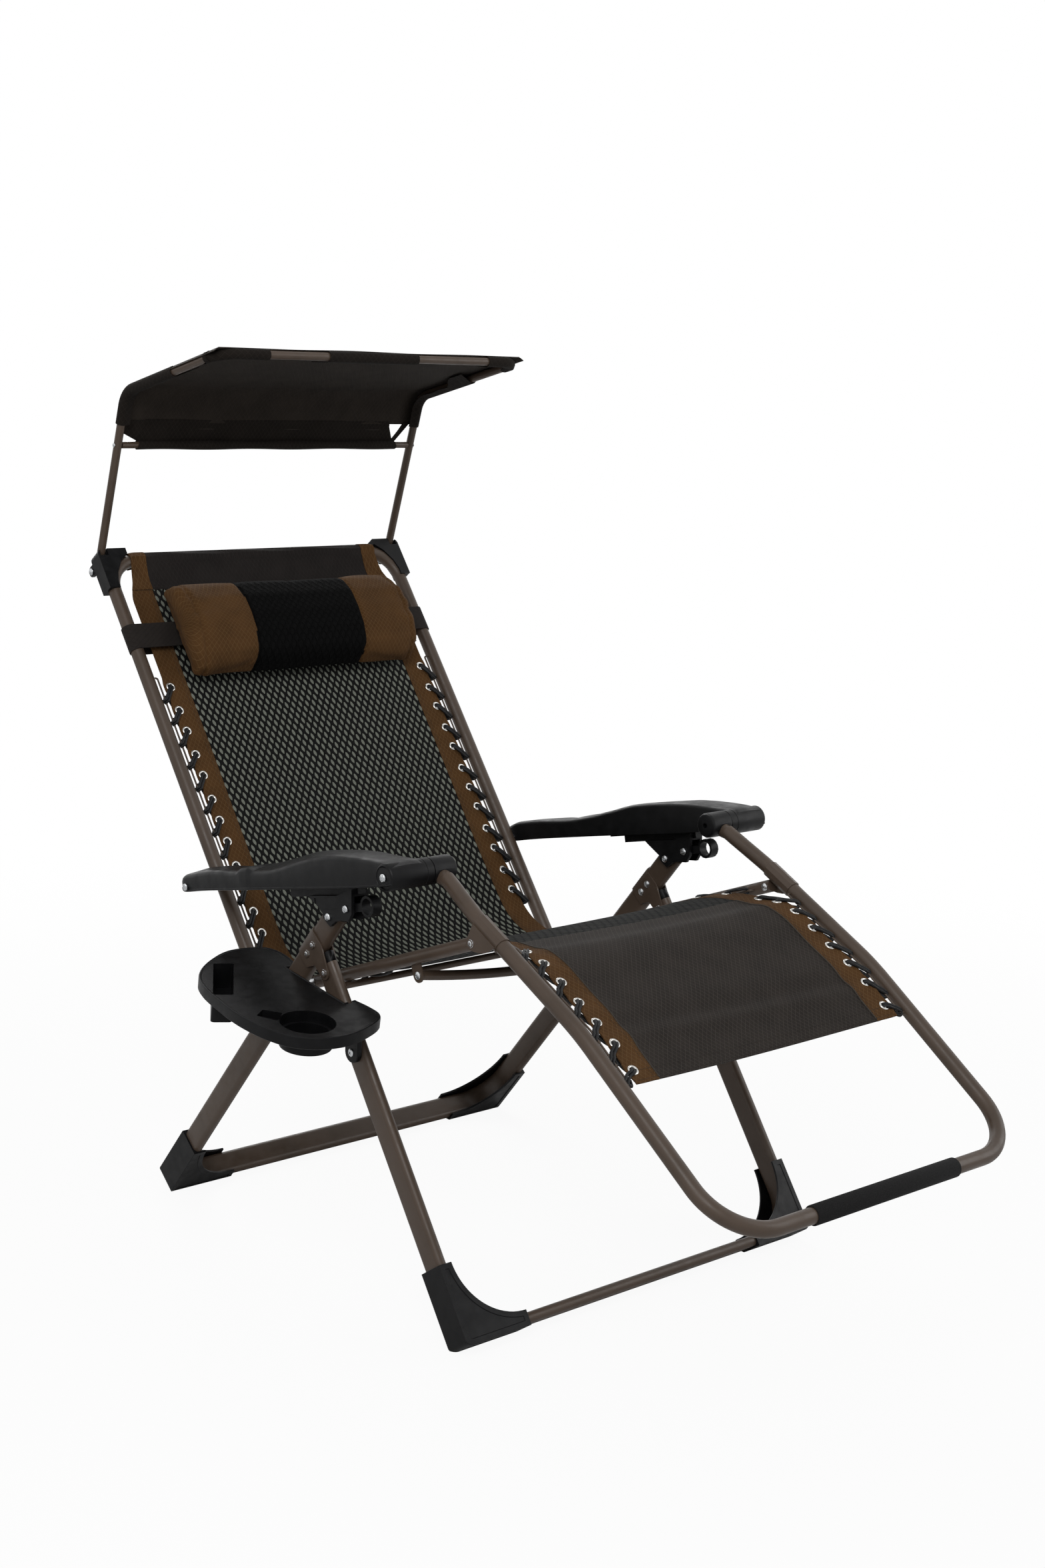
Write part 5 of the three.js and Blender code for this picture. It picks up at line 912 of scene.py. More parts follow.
@dataclass
class BackFrame:
    """The U frame of the backrest with its lacing rods."""

    radius: float = 12.5
    half_width: float = 331.0
    angle: float = 52.55
    length: float = 880.0
    bend: float = 65.0
    below_pin: float = 14.0
    rod_inset: float = 20.5
    rod_from: float = 87.0
    rod_to: float = 630.7

    @property
    def plane(self) -> SidePlane:
        """The plane along the back tubes, from the back pivot."""
        return on_joint("back_recline", self.angle)

    def build(self) -> None:
        """Builds the tube and its rods."""
        plane, shape = self.plane, Shape()
        x = self.half_width
        corners = both_sides([plane.at(-self.below_pin, 0, x), plane.at(self.length, 0, x)])
        shape.tube(filleted(corners, [self.bend] * 2, 16), circle(self.radius))
        for x in (self.half_width, -self.half_width):
            line = [plane.at(self.rod_from, 0, x), plane.at(self.rod_to, 0, x)]
            LacingRod().add(shape, line, self.rod_inset)
        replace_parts(shape.build("backrest_tube", [PAINT], "backrest"), "backrest_frame")


@dataclass
class Footrest:
    """The footrest tube with its knees, lacing rods and foam grip."""

    radius: float = 12.5
    half_width: float = 323.0
    hub_half_width: float = 314.0
    start: tuple[float, float] = (-105.5, 80.2)
    first_bend: tuple[float, float] = (-91.0, 78.1)
    splay_from: float = -84.0
    splay_to: float = -6.0
    upper_angle: float = 26.3
    lower_angle: float = 33.85
    knee_forward: float = 234.0
    end_forward: float = 554.0
    corner_bend: float = 95.0
    knee_bend: float = 500.0
    rod_inset: float = 20.5
    rod_from: float = 70.0
    rod_to: float = 365.0
    grip_radius: float = 15.2
    grip_hole: float = 12.9
    grip_half: float = 160.0
    start_bend: float = 12.0
    splay_bend: float = 300.0

    @staticmethod
    def point(forward: float, rise: float, x: float = 0.0) -> Array:
        """A point in front of and above the footrest's pivot."""
        pivot = PIVOTS["footrest_lift"]
        return np.array([x, pivot[1] - forward, pivot[2] + rise])

    def upper_rise(self, forward: float) -> float:
        """The height of the upper tube's line over the pivot."""
        return self.first_bend[1] - (forward - self.first_bend[0]) * math.tan(math.radians(self.upper_angle))

    @property
    def upper_length(self) -> float:
        """The length of the upper tube from over the pivot to the knee."""
        return self.knee_forward / math.cos(math.radians(self.upper_angle))

    @property
    def end_rise(self) -> float:
        """The height of the foot bar over the pivot."""
        run = self.end_forward - self.knee_forward
        return self.upper_rise(self.knee_forward) - run * math.tan(math.radians(self.lower_angle))

    def at(self, distance: float, lift: float = 0.0, x: float = 0.0) -> Array:
        """A point at a distance down the tubes from over the pivot."""
        low = distance > self.upper_length
        angle = self.lower_angle if low else self.upper_angle
        origin = (self.point(self.knee_forward, self.upper_rise(self.knee_forward)) if low
                  else self.point(0, self.upper_rise(0)))
        plane = SidePlane(origin[1], origin[2], 180 + angle)
        return plane.at(distance - (self.upper_length if low else 0), -lift, x)

    def build(self) -> None:
        """Builds the tube, the rods and the grip."""
        rise, shape = self.upper_rise, Shape()
        half = [(*self.start, self.hub_half_width), (*self.first_bend, self.hub_half_width),
                (self.splay_from, rise(self.splay_from), self.hub_half_width + 0.2),
                (self.splay_to, rise(self.splay_to), self.half_width),
                (self.knee_forward, rise(self.knee_forward), self.half_width),
                (self.end_forward, self.end_rise, self.half_width)]
        route = both_sides([self.point(*place) for place in half])
        radii = [self.start_bend, self.splay_bend, self.splay_bend, self.knee_bend, self.corner_bend]
        shape.tube(filleted(route, radii + radii[::-1], 18), circle(self.radius))
        for x in (self.half_width, -self.half_width):
            knee = self.point(self.knee_forward, rise(self.knee_forward), x)
            line = [self.at(self.rod_from, 0, x), knee, self.at(self.rod_to, 0, x)]
            LacingRod().add(shape, line, self.rod_inset)
        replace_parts(shape.build("footrest_tube", [PAINT], "footrest"), "footrest_frame")
        grip = Shape()
        outer, inner, half = self.grip_radius, self.grip_hole, self.grip_half
        profile = [(inner, -half), (outer - 1.2, -half), (outer, -half + 1.5), (outer, half - 1.5),
                   (outer - 1.2, half), (inner, half)]
        grip.turned_ring(self.point(self.end_forward, self.end_rise), ACROSS, profile, 32)
        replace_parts(grip.build("foam_grip_sleeve", [FOAM], "footrest"), "foot_grip")


@dataclass
class CanopyFrame:
    """The bent frame of the canopy and the bar between its struts."""

    radius: float = 7.5
    half_width: float = 335.0
    strut_length: float = 348.0
    strut_angle: float = 106.7
    side_length: float = 307.0
    side_angle: float = 166.0
    rear_bend: float = 45.0
    front_bend: float = 40.0
    below_pin: float = 5.0
    bar_up: float = 247.0
    bar_radius: float = 6.2

    @property
    def strut(self) -> SidePlane:
        """The plane along the struts, from the canopy's pivot."""
        return on_joint("canopy_tilt", self.strut_angle)

    @property
    def side(self) -> SidePlane:
        """The plane along the side tubes, from the top of the struts."""
        corner = self.strut.at(self.strut_length)
        return SidePlane(corner[1], corner[2], self.side_angle)

    def build(self) -> None:
        """Builds the frame and the bar."""
        strut, side, x = self.strut, self.side, self.half_width
        corners = both_sides([strut.at(-self.below_pin, 0, x), side.at(0, 0, x),
                              side.at(self.side_length, 0, x)])
        bends = [self.rear_bend, self.front_bend, self.front_bend, self.rear_bend]
        shape = Shape()
        shape.tube(filleted(corners, bends, 14), circle(self.radius, 20))
        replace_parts(shape.build("canopy_tube", [PAINT], "canopy"), "canopy_frame")
        bar = Shape()
        reach = x - self.radius
        bar.tube(np.array([strut.at(self.bar_up, 0, -reach), strut.at(self.bar_up, 0, reach)]),
                 circle(self.bar_radius, 18))
        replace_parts(bar.build("canopy_bar_tube", [PAINT], "canopy"), "canopy_crossbar")


@dataclass(frozen=True)
class Head:
    """A bolt head on the left side: its body, plane, face across the width, facing, size and place."""

    body: str
    plane: SidePlane
    face: float
    facing: int = 1
    size: float = 1.0
    along: float = 0.0
    across: float = 0.0


@dataclass
class Fasteners:
    """Domed bolt heads with a cross recess, on every joint of the frame.

    The faces of a bolt are the places across the width on which its two heads sit, outer face first.
    """

    radius: float = 6.4
    height: float = 3.2
    sides: int = 40
    rings: tuple = (1.0, 1.0, 0.97, 0.88, 0.74, 0.6, 0.48, 0.44, 0.34, 0.24, 0.17, 0.09)
    dome: float = 0.62
    cross_half: float = 0.1
    cross_reach: float = 0.46
    cross_depth: float = 0.45
    legs: LegFrames = field(default_factory=LegFrames)
    plate_bolts: tuple = ((2.3, 50.9), (11.5, 0.0), (-11.5, 0.0))
    plate_faces: tuple = (390.3, 366.7)
    pivot_face: float = 387.8
    tab_faces: tuple = (326.3, 323.7)
    fork_faces: tuple = (346.8, 315.2)
    hub_faces: tuple = (339.1, 313.9)
    canopy_faces: tuple = (348.3, 342.8)
    arm_faces: tuple = (416.6, 405.8)
    lock_faces: tuple = (394.6, 362.5)
    lever_faces: tuple = (394.6, 362.4)
    lever_pin: tuple = (-50.8, 12.0)
    stud_up: float = 774.4
    tray_bolt: tuple = (-396.8, -58.5, 414.0)

    @staticmethod
    def pair(body: str, plane: SidePlane, faces: tuple, sizes: tuple = (1.0, 1.0), along: float = 0.0,
             across: float = 0.0) -> Iterable[Head]:
        """The two heads of one bolt."""
        for face, facing, size in zip(faces, (1, -1), sizes):
            yield Head(body, plane, face, facing, size, along, across)

    def heads(self) -> Iterable[Head]:
        """All heads of the left side."""
        seat, canopy, arm = SeatFrame(), CanopyFrame(), Armrest()
        hinge, stud = self.legs.rear.at(self.legs.rear_to_hinge), self.legs.rear.at(self.stud_up)
        plate = SidePlane(hinge[1], hinge[2], self.legs.rear_angle)
        lock = SidePlane(stud[1], stud[2], arm.plane.angle)
        for place in self.plate_bolts:
            yield from self.pair("rear_legs", plate, self.plate_faces, (1.0, 1.0), *place)
        yield Head("rear_legs", on_joint("seat_tilt", 0), self.pivot_face)
        tab = (-seat.tab_forward, -seat.tab_drop)
        yield from self.pair("seat", seat.rail, self.tab_faces, (1.0, 1.0), *tab)
        yield from self.pair("seat", seat.rail, self.fork_faces, (1.0, 0.9), seat.to_back)
        yield from self.pair("footrest", on_joint("footrest_lift", 0), self.hub_faces, (1.05, 1.0))
        yield Head("backrest", canopy.strut, self.canopy_faces[0], 1, 0.9)
        yield Head("canopy", canopy.strut, self.canopy_faces[1], 1, 0.62, canopy.bar_up)
        yield Head("arm_left", arm.plane, self.arm_faces[0])
        yield Head("arm_left", arm.plane, self.arm_faces[1], 1, 0.95, arm.length)
        yield from self.pair("lock_left", lock, self.lock_faces)
        yield from self.pair("lock_left", lock, self.lever_faces, (0.95, 0.95), *self.lever_pin)

    def add(self, shape: Shape, centre: Array, axis: Array, size: float = 1.0) -> None:
        """Adds one head to a shape, on a face square to an axis."""
        radius, height = self.radius * size, self.height * size
        first = unit(np.cross(axis, [0.1, 0.8, 0.55]))
        second = np.cross(axis, first)
        turns = np.arange(self.sides) * 2 * math.pi / self.sides
        rows = []
        for share in self.rings:
            u, v = share * np.cos(turns), share * np.sin(turns)
            lift = np.full(len(turns), height * (1 - self.dome * share**2)) if rows else np.zeros(len(turns))
            crossed = (np.minimum(abs(u), abs(v)) < self.cross_half) & (share < self.cross_reach)
            lift -= crossed * height * self.cross_depth
            rows.append(centre + radius * (u[:, None] * first + v[:, None] * second) + lift[:, None] * axis)
        shape.grid(np.array(rows), ring=True, caps=True)

    def build(self) -> None:
        """Builds one piece of heads for each body."""
        shapes: dict[str, Shape] = {}
        for head in self.heads():
            for side, sign in SIDES.items():
                shape = shapes.setdefault(head.body.replace("left", side), Shape())
                centre = head.plane.at(head.along, head.across, head.face * sign)
                self.add(shape, centre, ACROSS * head.facing * sign, head.size)
        self.add(shapes["rear_legs"], np.array(self.tray_bolt), -ACROSS)
        for body, shape in shapes.items():
            shape.build(f"bolt_heads_{body}", [ZINC], body)


@dataclass
class Armrest:
    """The places of the armrests between the footrest hubs and the back tubes."""

    hub_rear: float = 120.7
    hub_rise: float = 87.8
    up_back: float = 219.0

    @property
    def ends(self) -> tuple[Array, Array]:
        """The middle of the hub and of the rear bolt."""
        return Footrest.point(-self.hub_rear, self.hub_rise), BackFrame().plane.at(self.up_back)

    @property
    def length(self) -> float:
        """The distance between the two bolts."""
        hub, rear = self.ends
        return float(np.linalg.norm(rear - hub))

    @property
    def plane(self) -> SidePlane:
        """The plane along the arm, from the hub."""
        hub, rear = self.ends
        return SidePlane(hub[1], hub[2], math.degrees(math.atan2(rear[2] - hub[2], rear[1] - hub[1])))


@dataclass
class Shoes:
    """The plastic shoes on the four corners of the leg frames, open towards the inside of the bend."""

    legs: LegFrames = field(default_factory=LegFrames)
    wall: float = 3.3
    rise: float = 118.0
    arc: float = 105.0
    lip: float = 13.0
    corner: float = 11.0
    lip_wall: float = 3.8
    panel_inset: float = 9.0
    panel_depth: float = 1.2
    room_inset: float = 5.0
    softness: float = 1.6
    ground: float = 300.0

    def outline(self, inset: float, hollow: bool = False) -> Outline:
        """The outline of a left shoe in (x, along), drawn in by an inset.

        Args:
            inset: How far the outline is drawn in.
            hollow: Whether this is the room inside the shoe, which is open at both ends.

        Returns:
            The points of the outline.
        """
        outer = self.legs.half_width + self.legs.thickness / 2 + self.wall - inset
        sole = -(self.legs.thickness / 2 + self.wall) + inset
        centre = self.legs.half_width - self.lip - self.arc
        if hollow:
            far = self.rise * 2
            bend = self.legs.bend
            points = [(centre - self.arc, sole)]
            points += arc(outer - bend, sole + bend, bend, -90, 0)
            return points + [(outer, far), (centre - self.arc, far)]
        radius = self.arc + inset
        top = self.rise - inset
        turn = math.degrees(math.asin((self.lip + self.arc - top) / radius)) if inset else 0.0
        corner = max(self.corner - inset / 2, 3)
        points = arc(outer - corner, sole + corner, corner, -90, 0, 8)
        points += [(outer, top), (centre + radius * math.cos(math.radians(turn)), top)]
        points += arc(centre, self.lip + self.arc, radius, -turn, -90 + turn, 20)
        return points + [(centre + (inset if inset else 0), sole)]

    @staticmethod
    def mirrored(outline: Outline, sign: int) -> Outline:
        """An outline of the left side, or its mirror image."""
        return [(x * sign, along) for x, along in outline]

    def shoe(self, kind: str, side: str, plane: SidePlane) -> Piece:
        """Builds one shoe: the shell, less its room, its sunken panels and what is under the ground."""
        sign, face = SIDES[side], self.legs.depth / 2 + self.wall
        inner, depth, box = face - self.lip_wall, self.panel_depth, self.ground
        shell, room, panels, ground = Shape(), Shape(), Shape(), Shape()
        shell.raised(self.mirrored(self.outline(0), sign), plane, -face, face)
        hollow = self.outline(self.wall + self.room_inset, True)
        room.raised(self.mirrored(hollow, sign), plane, -inner, inner)
        panel = self.mirrored(self.outline(self.panel_inset), sign)
        for level in (face, -face):
            panels.raised(panel, plane, level - depth, level + depth)
        ground.slab([(-box, -box), (box, -box), (box, 0.0), (-box, 0.0)], SidePlane(plane.y, 0.0, 0.0), 0,
                    sign * box * 2)
        shoe = shell.build(f"{kind}_shoe_shell_{side}", [PLASTIC])
        for cutter in (room, panels, ground):
            merged(shoe, cutter)
        return shoe

    def build(self) -> None:
        """Builds the four shoes."""
        for kind, plane in (("rear", self.legs.rear), ("front", self.legs.front)):
            for side in SIDES:
                moulded(self.shoe(kind, side, plane), self.softness, f"{kind}_legs", f"{kind}_shoe_{side}")


@dataclass
class DrinkTray:
    """The tray outside the right rear leg, with its cup, mug handle channel, phone pocket and ear."""

    legs: LegFrames = field(default_factory=LegFrames)
    plane: SidePlane = SidePlane(-12.498, 489.3, 7.1)
    corner: tuple[float, float] = (-375.5, -121.0)
    size: tuple[float, float] = (195.5, 375.0)
    leg_face: float = -387.8
    notch: tuple[float, float] = (-14.0, 151.0)
    height: float = 20.0
    plate: float = 3.0
    cup: tuple[float, float, float] = (-485.0, -50.0, 45.0)
    cup_step: float = 20.0
    cup_depth: float = 38.0
    pocket_depth: float = 45.0
    handle_depth: float = 13.0
    wall: float = 3.0
    under_plate: float = -3.5
    above: float = 5.0
    taper: float = 6.0
    leg_play: tuple[float, float] = (1.2, 2.4)
    leg_span: tuple[float, float] = (140.0, 700.0)
    ear: tuple[float, float, float, float] = (-58.5, 414.0, 17.0, 9.0)
    ear_top: float = 66.0
    rim_spacing: float = 7.0
    front_shares: tuple = ((0.054, 0.293), (0.079, 0.2), (0.074, 0.131), (0.033, 0.093), (-0.018, 0.072),
                           (-0.13, 0.042), (-0.263, 0.016), (-0.437, 0), (-0.575, 0.008), (-0.729, 0.04),
                           (-0.847, 0.096), (-0.93, 0.19), (-0.985, 0.352), (-0.972, 0.533), (-0.925, 0.699))
    rear_shares: tuple = ((-0.87, 0.777), (-0.77, 0.848), (-0.65, 0.903), (-0.514, 0.949), (-0.39, 0.982),
                          (-0.284, 0.996), (-0.187, 0.995), (-0.049, 0.979), (0.035, 0.957), (0.082, 0.905),
                          (0.09, 0.82), (0.05, 0.727))
    handle_shares: tuple = ((-0.862, 0.336), (-0.749, 0.379), (-0.642, 0.312), (-0.765, 0.253))
    slot_shares: tuple = ((-0.949, 0.6), (-0.58, 0.896), (-0.422, 0.859), (-0.795, 0.563))

    def placed(self, shares: Outline) -> Outline:
        """Shares of the tray's size as places in (x, along)."""
        return [(self.corner[0] + u * self.size[0], self.corner[1] + v * self.size[1]) for u, v in shares]

    def rim(self) -> Array:
        """The smooth outline of the rim, one point to a row."""
        places = self.placed(self.front_shares + self.rear_shares)
        curve = rounded(np.array([(x, y, 0) for x, y in places]), self.rim_spacing)
        notch = [(self.leg_face, self.notch[1], 0), (self.leg_face, self.notch[0], 0)]
        return np.vstack([curve, notch])[:, :2]

    @staticmethod
    def drawn_in(outline: Array, by: float) -> Array:
        """An outline drawn in by a distance."""
        after = np.roll(outline, -1, axis=0)
        ahead, behind = after - outline, outline - np.roll(outline, 1, axis=0)
        ahead /= np.linalg.norm(ahead, axis=1)[:, None]
        behind /= np.linalg.norm(behind, axis=1)[:, None]
        way = ahead + behind
        way /= np.linalg.norm(way, axis=1)[:, None]
        area = np.sum(outline[:, 0] * after[:, 1] - after[:, 0] * outline[:, 1])
        inward = np.stack([-way[:, 1], way[:, 0]], axis=1) * np.sign(area)
        return outline + inward * by

    @staticmethod
    def grown(outline: Outline, by: float, radius: float) -> Outline:
        """A four sided outline grown by a distance, with rounded corners."""
        points = np.array([(x, y, 0.0) for x, y in outline])
        middle = points.mean(axis=0)
        points = middle + (points - middle) * (1 + by / np.linalg.norm(points - middle, axis=1))[:, None]
        mid = (points[0] + points[-1]) / 2
        line = filleted([mid, *points, mid], [radius] * 4, 5)
        return [(x, y) for x, y, _ in line[:-1]]

    def disc(self, radius: float) -> Outline:
        """A round outline about the middle of the cup."""
        return [(self.cup[0] + u, self.cup[1] + v) for u, v in circle(radius, 48)]

    def solid(self, outline: Outline, low: float, high: float) -> Shape:
        """An outline raised between two levels of the tray."""
        shape = Shape()
        shape.raised(outline, self.plane, low, high)
        return shape

    def shell(self) -> Piece:
        """Builds the plate with its turned down rim."""
        deep, shape = -self.height, Shape()
        profile = ((3.4, -self.plate - 2), (3.2, deep + 0.6), (2.4, deep), (0.9, deep), (0.1, deep + 0.9),
                   (0.0, -2.0), (0.5, -0.7), (1.5, 0.0), (3.0, 0.0), (4.0, -0.5), (4.6, -1.4))
        rim = self.rim()
        rows = [[self.plane.at(y, level, x) for x, y in self.drawn_in(rim, by)] for by, level in profile]
        shape.grid(np.array(rows), ring=True, caps=True)
        return shape.build("drink_tray_shell", [PLASTIC])

    def hollows(self, tray: Piece) -> None:
        """Adds the cup, the phone pocket and the mug handle's channel, and opens them."""
        slot, handle = self.placed(self.slot_shares), self.placed(self.handle_shares)
        radius, wall, under = self.cup[2], self.wall, self.under_plate
        step, cup, pocket, channel = -self.cup_step, -self.cup_depth, -self.pocket_depth, -self.handle_depth
        for layer in ((self.disc(radius + wall), step - 1, under),
                      (self.disc(radius - wall), cup - wall, step),
                      (self.grown(slot, wall, 6), pocket - wall, under),
                      (self.grown(handle, wall, 5), channel - wall, under)):
            merged(tray, self.solid(*layer), "UNION")
        for layer in ((self.disc(radius), step, self.above), (self.disc(radius - self.taper), cup, step + 1),
                      (self.grown(slot, 0, 3), pocket, self.above),
                      (self.grown(handle, 0, 3), channel, self.above)):
            merged(tray, self.solid(*layer))

    def leg_room(self) -> Shape:
        """The room that the legs take where they pass the tray."""
        room, x = Shape(), -self.legs.half_width
        section = flat_oval(self.legs.thickness + self.leg_play[0], self.legs.depth + self.leg_play[1])
        for plane in (self.legs.rear, self.legs.front):
            line = np.array([plane.at(place, 0, x) for place in self.leg_span])
            room.tube(line, section, plane.across_axis)
        return room

    def build(self) -> None:
        """Builds the tray and the ear that bolts it to the leg."""
        tray = self.shell()
        self.hollows(tray)
        merged(tray, self.leg_room())
        moulded(tray, 0.7, "rear_legs", "drink_tray", 2)
        y, z, radius, width = self.ear
        outline = arc(0, 0, radius, 180, 360, 20) + [(radius, self.ear_top), (-radius, self.ear_top)]
        ear = Shape()
        ear.slab(outline, SidePlane(y, z, 0), self.leg_face - width, self.leg_face)
        moulded(ear.build("drink_tray_ear", [PLASTIC]), 1.5, "rear_legs")


@dataclass
class ArmrestTops:
    """The moulded armrests with their hubs, drawn as rings along each arm.

    The tables give levels, in radii of the hub, at shares of the arm's length.
    """

    arm: Armrest = field(default_factory=Armrest)
    inner: float = 346.0
    outer: float = 417.0
    tail_outer: float = 405.0
    tail_from: float = 0.67
    end_from: float = 1.005
    end_length: float = 0.04
    end_taper: tuple[float, float] = (7.0, 8.0)
    reach: tuple[float, float] = (-0.03, 1.04)
    rings: int = 92
    flatness: float = 0.16
    crown: float = 2.2
    edge_inset: float = 1.5
    edge_reach: float = 8.0
    edge_radius: float = 5.5
    edge_drop: float = 6.5
    underside: float = 4.0
    skirt: tuple = ((0.0, 4.2), (1.2, 3.2), (1.2, 0.8), (0.0, 0.0))
    hub: float = 22.0
    hub_inner: float = 331.0
    hub_profile: tuple = ((5.5, 0), (20.5, 0), (22, 1.5), (22, 14), (21.4, 14.4), (21.4, 15.6), (22, 16),
                          (22, 82.5), (20.6, 84.6), (18.4, 85.6), (17.6, 84.4), (17.2, 82.6), (11.5, 82.6),
                          (10.5, 84.2), (5.5, 84.2))
    beam: tuple[float, float, float, float] = (25.0, 335.0, 10.5, -14.0)
    beam_middle: float = 378.5
    beam_top: float = 4.0
    outer_top: tuple = ((-0.035, 0.55), (0.0, 0.93), (0.054, 1.23), (0.108, 1.45), (0.166, 1.64),
                        (0.223, 1.75), (0.282, 1.75), (0.343, 1.64), (0.395, 1.48), (0.448, 1.25),
                        (0.502, 1.05), (0.556, 0.93), (0.6, 0.93), (0.625, 0.99), (0.652, 1.26),
                        (0.672, 1.24), (0.7, 1.02), (0.73, 1.0), (0.82, 1.13), (0.877, 1.12),
                        (0.958, 1.0), (1.0, 0.94), (1.03, 0.8), (1.042, 0.4))
    inner_top: tuple = ((-0.035, 0.55), (0.0, 0.98), (0.054, 1.2), (0.108, 1.45), (0.166, 1.68),
                        (0.223, 1.82), (0.282, 1.91), (0.343, 1.96), (0.395, 1.96), (0.448, 1.85),
                        (0.502, 1.65), (0.556, 1.48), (0.61, 1.3), (0.67, 1.18), (0.72, 1.12),
                        (0.82, 1.2), (0.877, 1.26), (0.958, 1.24), (1.0, 1.08), (1.03, 0.86), (1.042, 0.4))
    bottom: tuple = ((-0.035, -0.4), (0, -0.62), (0.147, -0.64), (0.463, -0.5), (0.676, -0.41),
                     (0.917, -0.36), (1.0, -0.4), (1.03, -0.3), (1.042, -0.1))

    @staticmethod
    def smoothed(table: Outline) -> tuple[Array, Array]:
        """A table of shares as a smooth line."""
        line = rounded(np.array([(u, v, 0) for u, v in table]), 0.008)
        return line[:, 0], line[:, 1]

    def ring(self, place: float, sign: int) -> list[Array]:
        """One ring of the arm's body at a share of its length."""
        tail = max(0.0, (place - self.tail_from) / (1 - self.tail_from))
        top_out, top_in, low = (self.hub * float(np.interp(place, *self.smoothed(table)))
                                for table in (self.outer_top, self.inner_top, self.bottom))
        end = (max(0.0, place - self.end_from) / self.end_length) ** 2
        inner = self.inner + self.end_taper[0] * end
        outer = self.outer - (self.outer - self.tail_outer) * min(tail, 1) - self.edge_inset
        outer -= self.end_taper[1] * end
        width = outer - inner
        section = []
        for share in np.linspace(0, 1, 13):
            turn = math.pi * share
            x = inner + width * (0.5 - 0.5 * math.cos(turn) * (1 - self.flatness * math.sin(turn)))
            level = top_in + (top_out - top_in) * smooth_share((x - inner) / width, 0, 1)
            drop = self.edge_drop
            if 0 < share < 1:
                drop = self.edge_radius * (1 - min(1.0, min(x - inner, outer - x) / self.edge_reach) ** 0.5)
            section.append((x, level - drop + self.crown * math.sin(turn)))
        section += [(outer + out, low + up) for out, up in self.skirt]
        section += [(outer - self.underside, low), (inner + self.underside, low), (inner, low),
                    (inner, low + 1)]
        return [self.arm.plane.at(place * self.arm.length, level, x * sign) for x, level in section]

    def build(self) -> None:
        """Builds both armrests."""
        plane = self.arm.plane
        low, high, half, under = self.beam
        beam = [(low, under), (high, under), (high, self.beam_top), (low, self.beam_top)]
        for side, sign in SIDES.items():
            body, hub = Shape(), Shape()
            rows = [self.ring(place, sign) for place in np.linspace(*self.reach, self.rings)]
            body.grid(np.array(rows), ring=True, caps=True)
            arm = body.build(f"armrest_body_{side}", [PLASTIC], f"arm_{side}", 50)
            hub.turned_ring(plane.at(0, 0, self.hub_inner * sign), ACROSS * sign, self.hub_profile, 40)
            hub.slab(beam, plane, sign * (self.beam_middle - half), sign * (self.beam_middle + half))
            hub.build(f"armrest_hub_{side}", [PLASTIC], f"arm_{side}", 35)
            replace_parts(arm, f"armrest_{side}")


# Slings


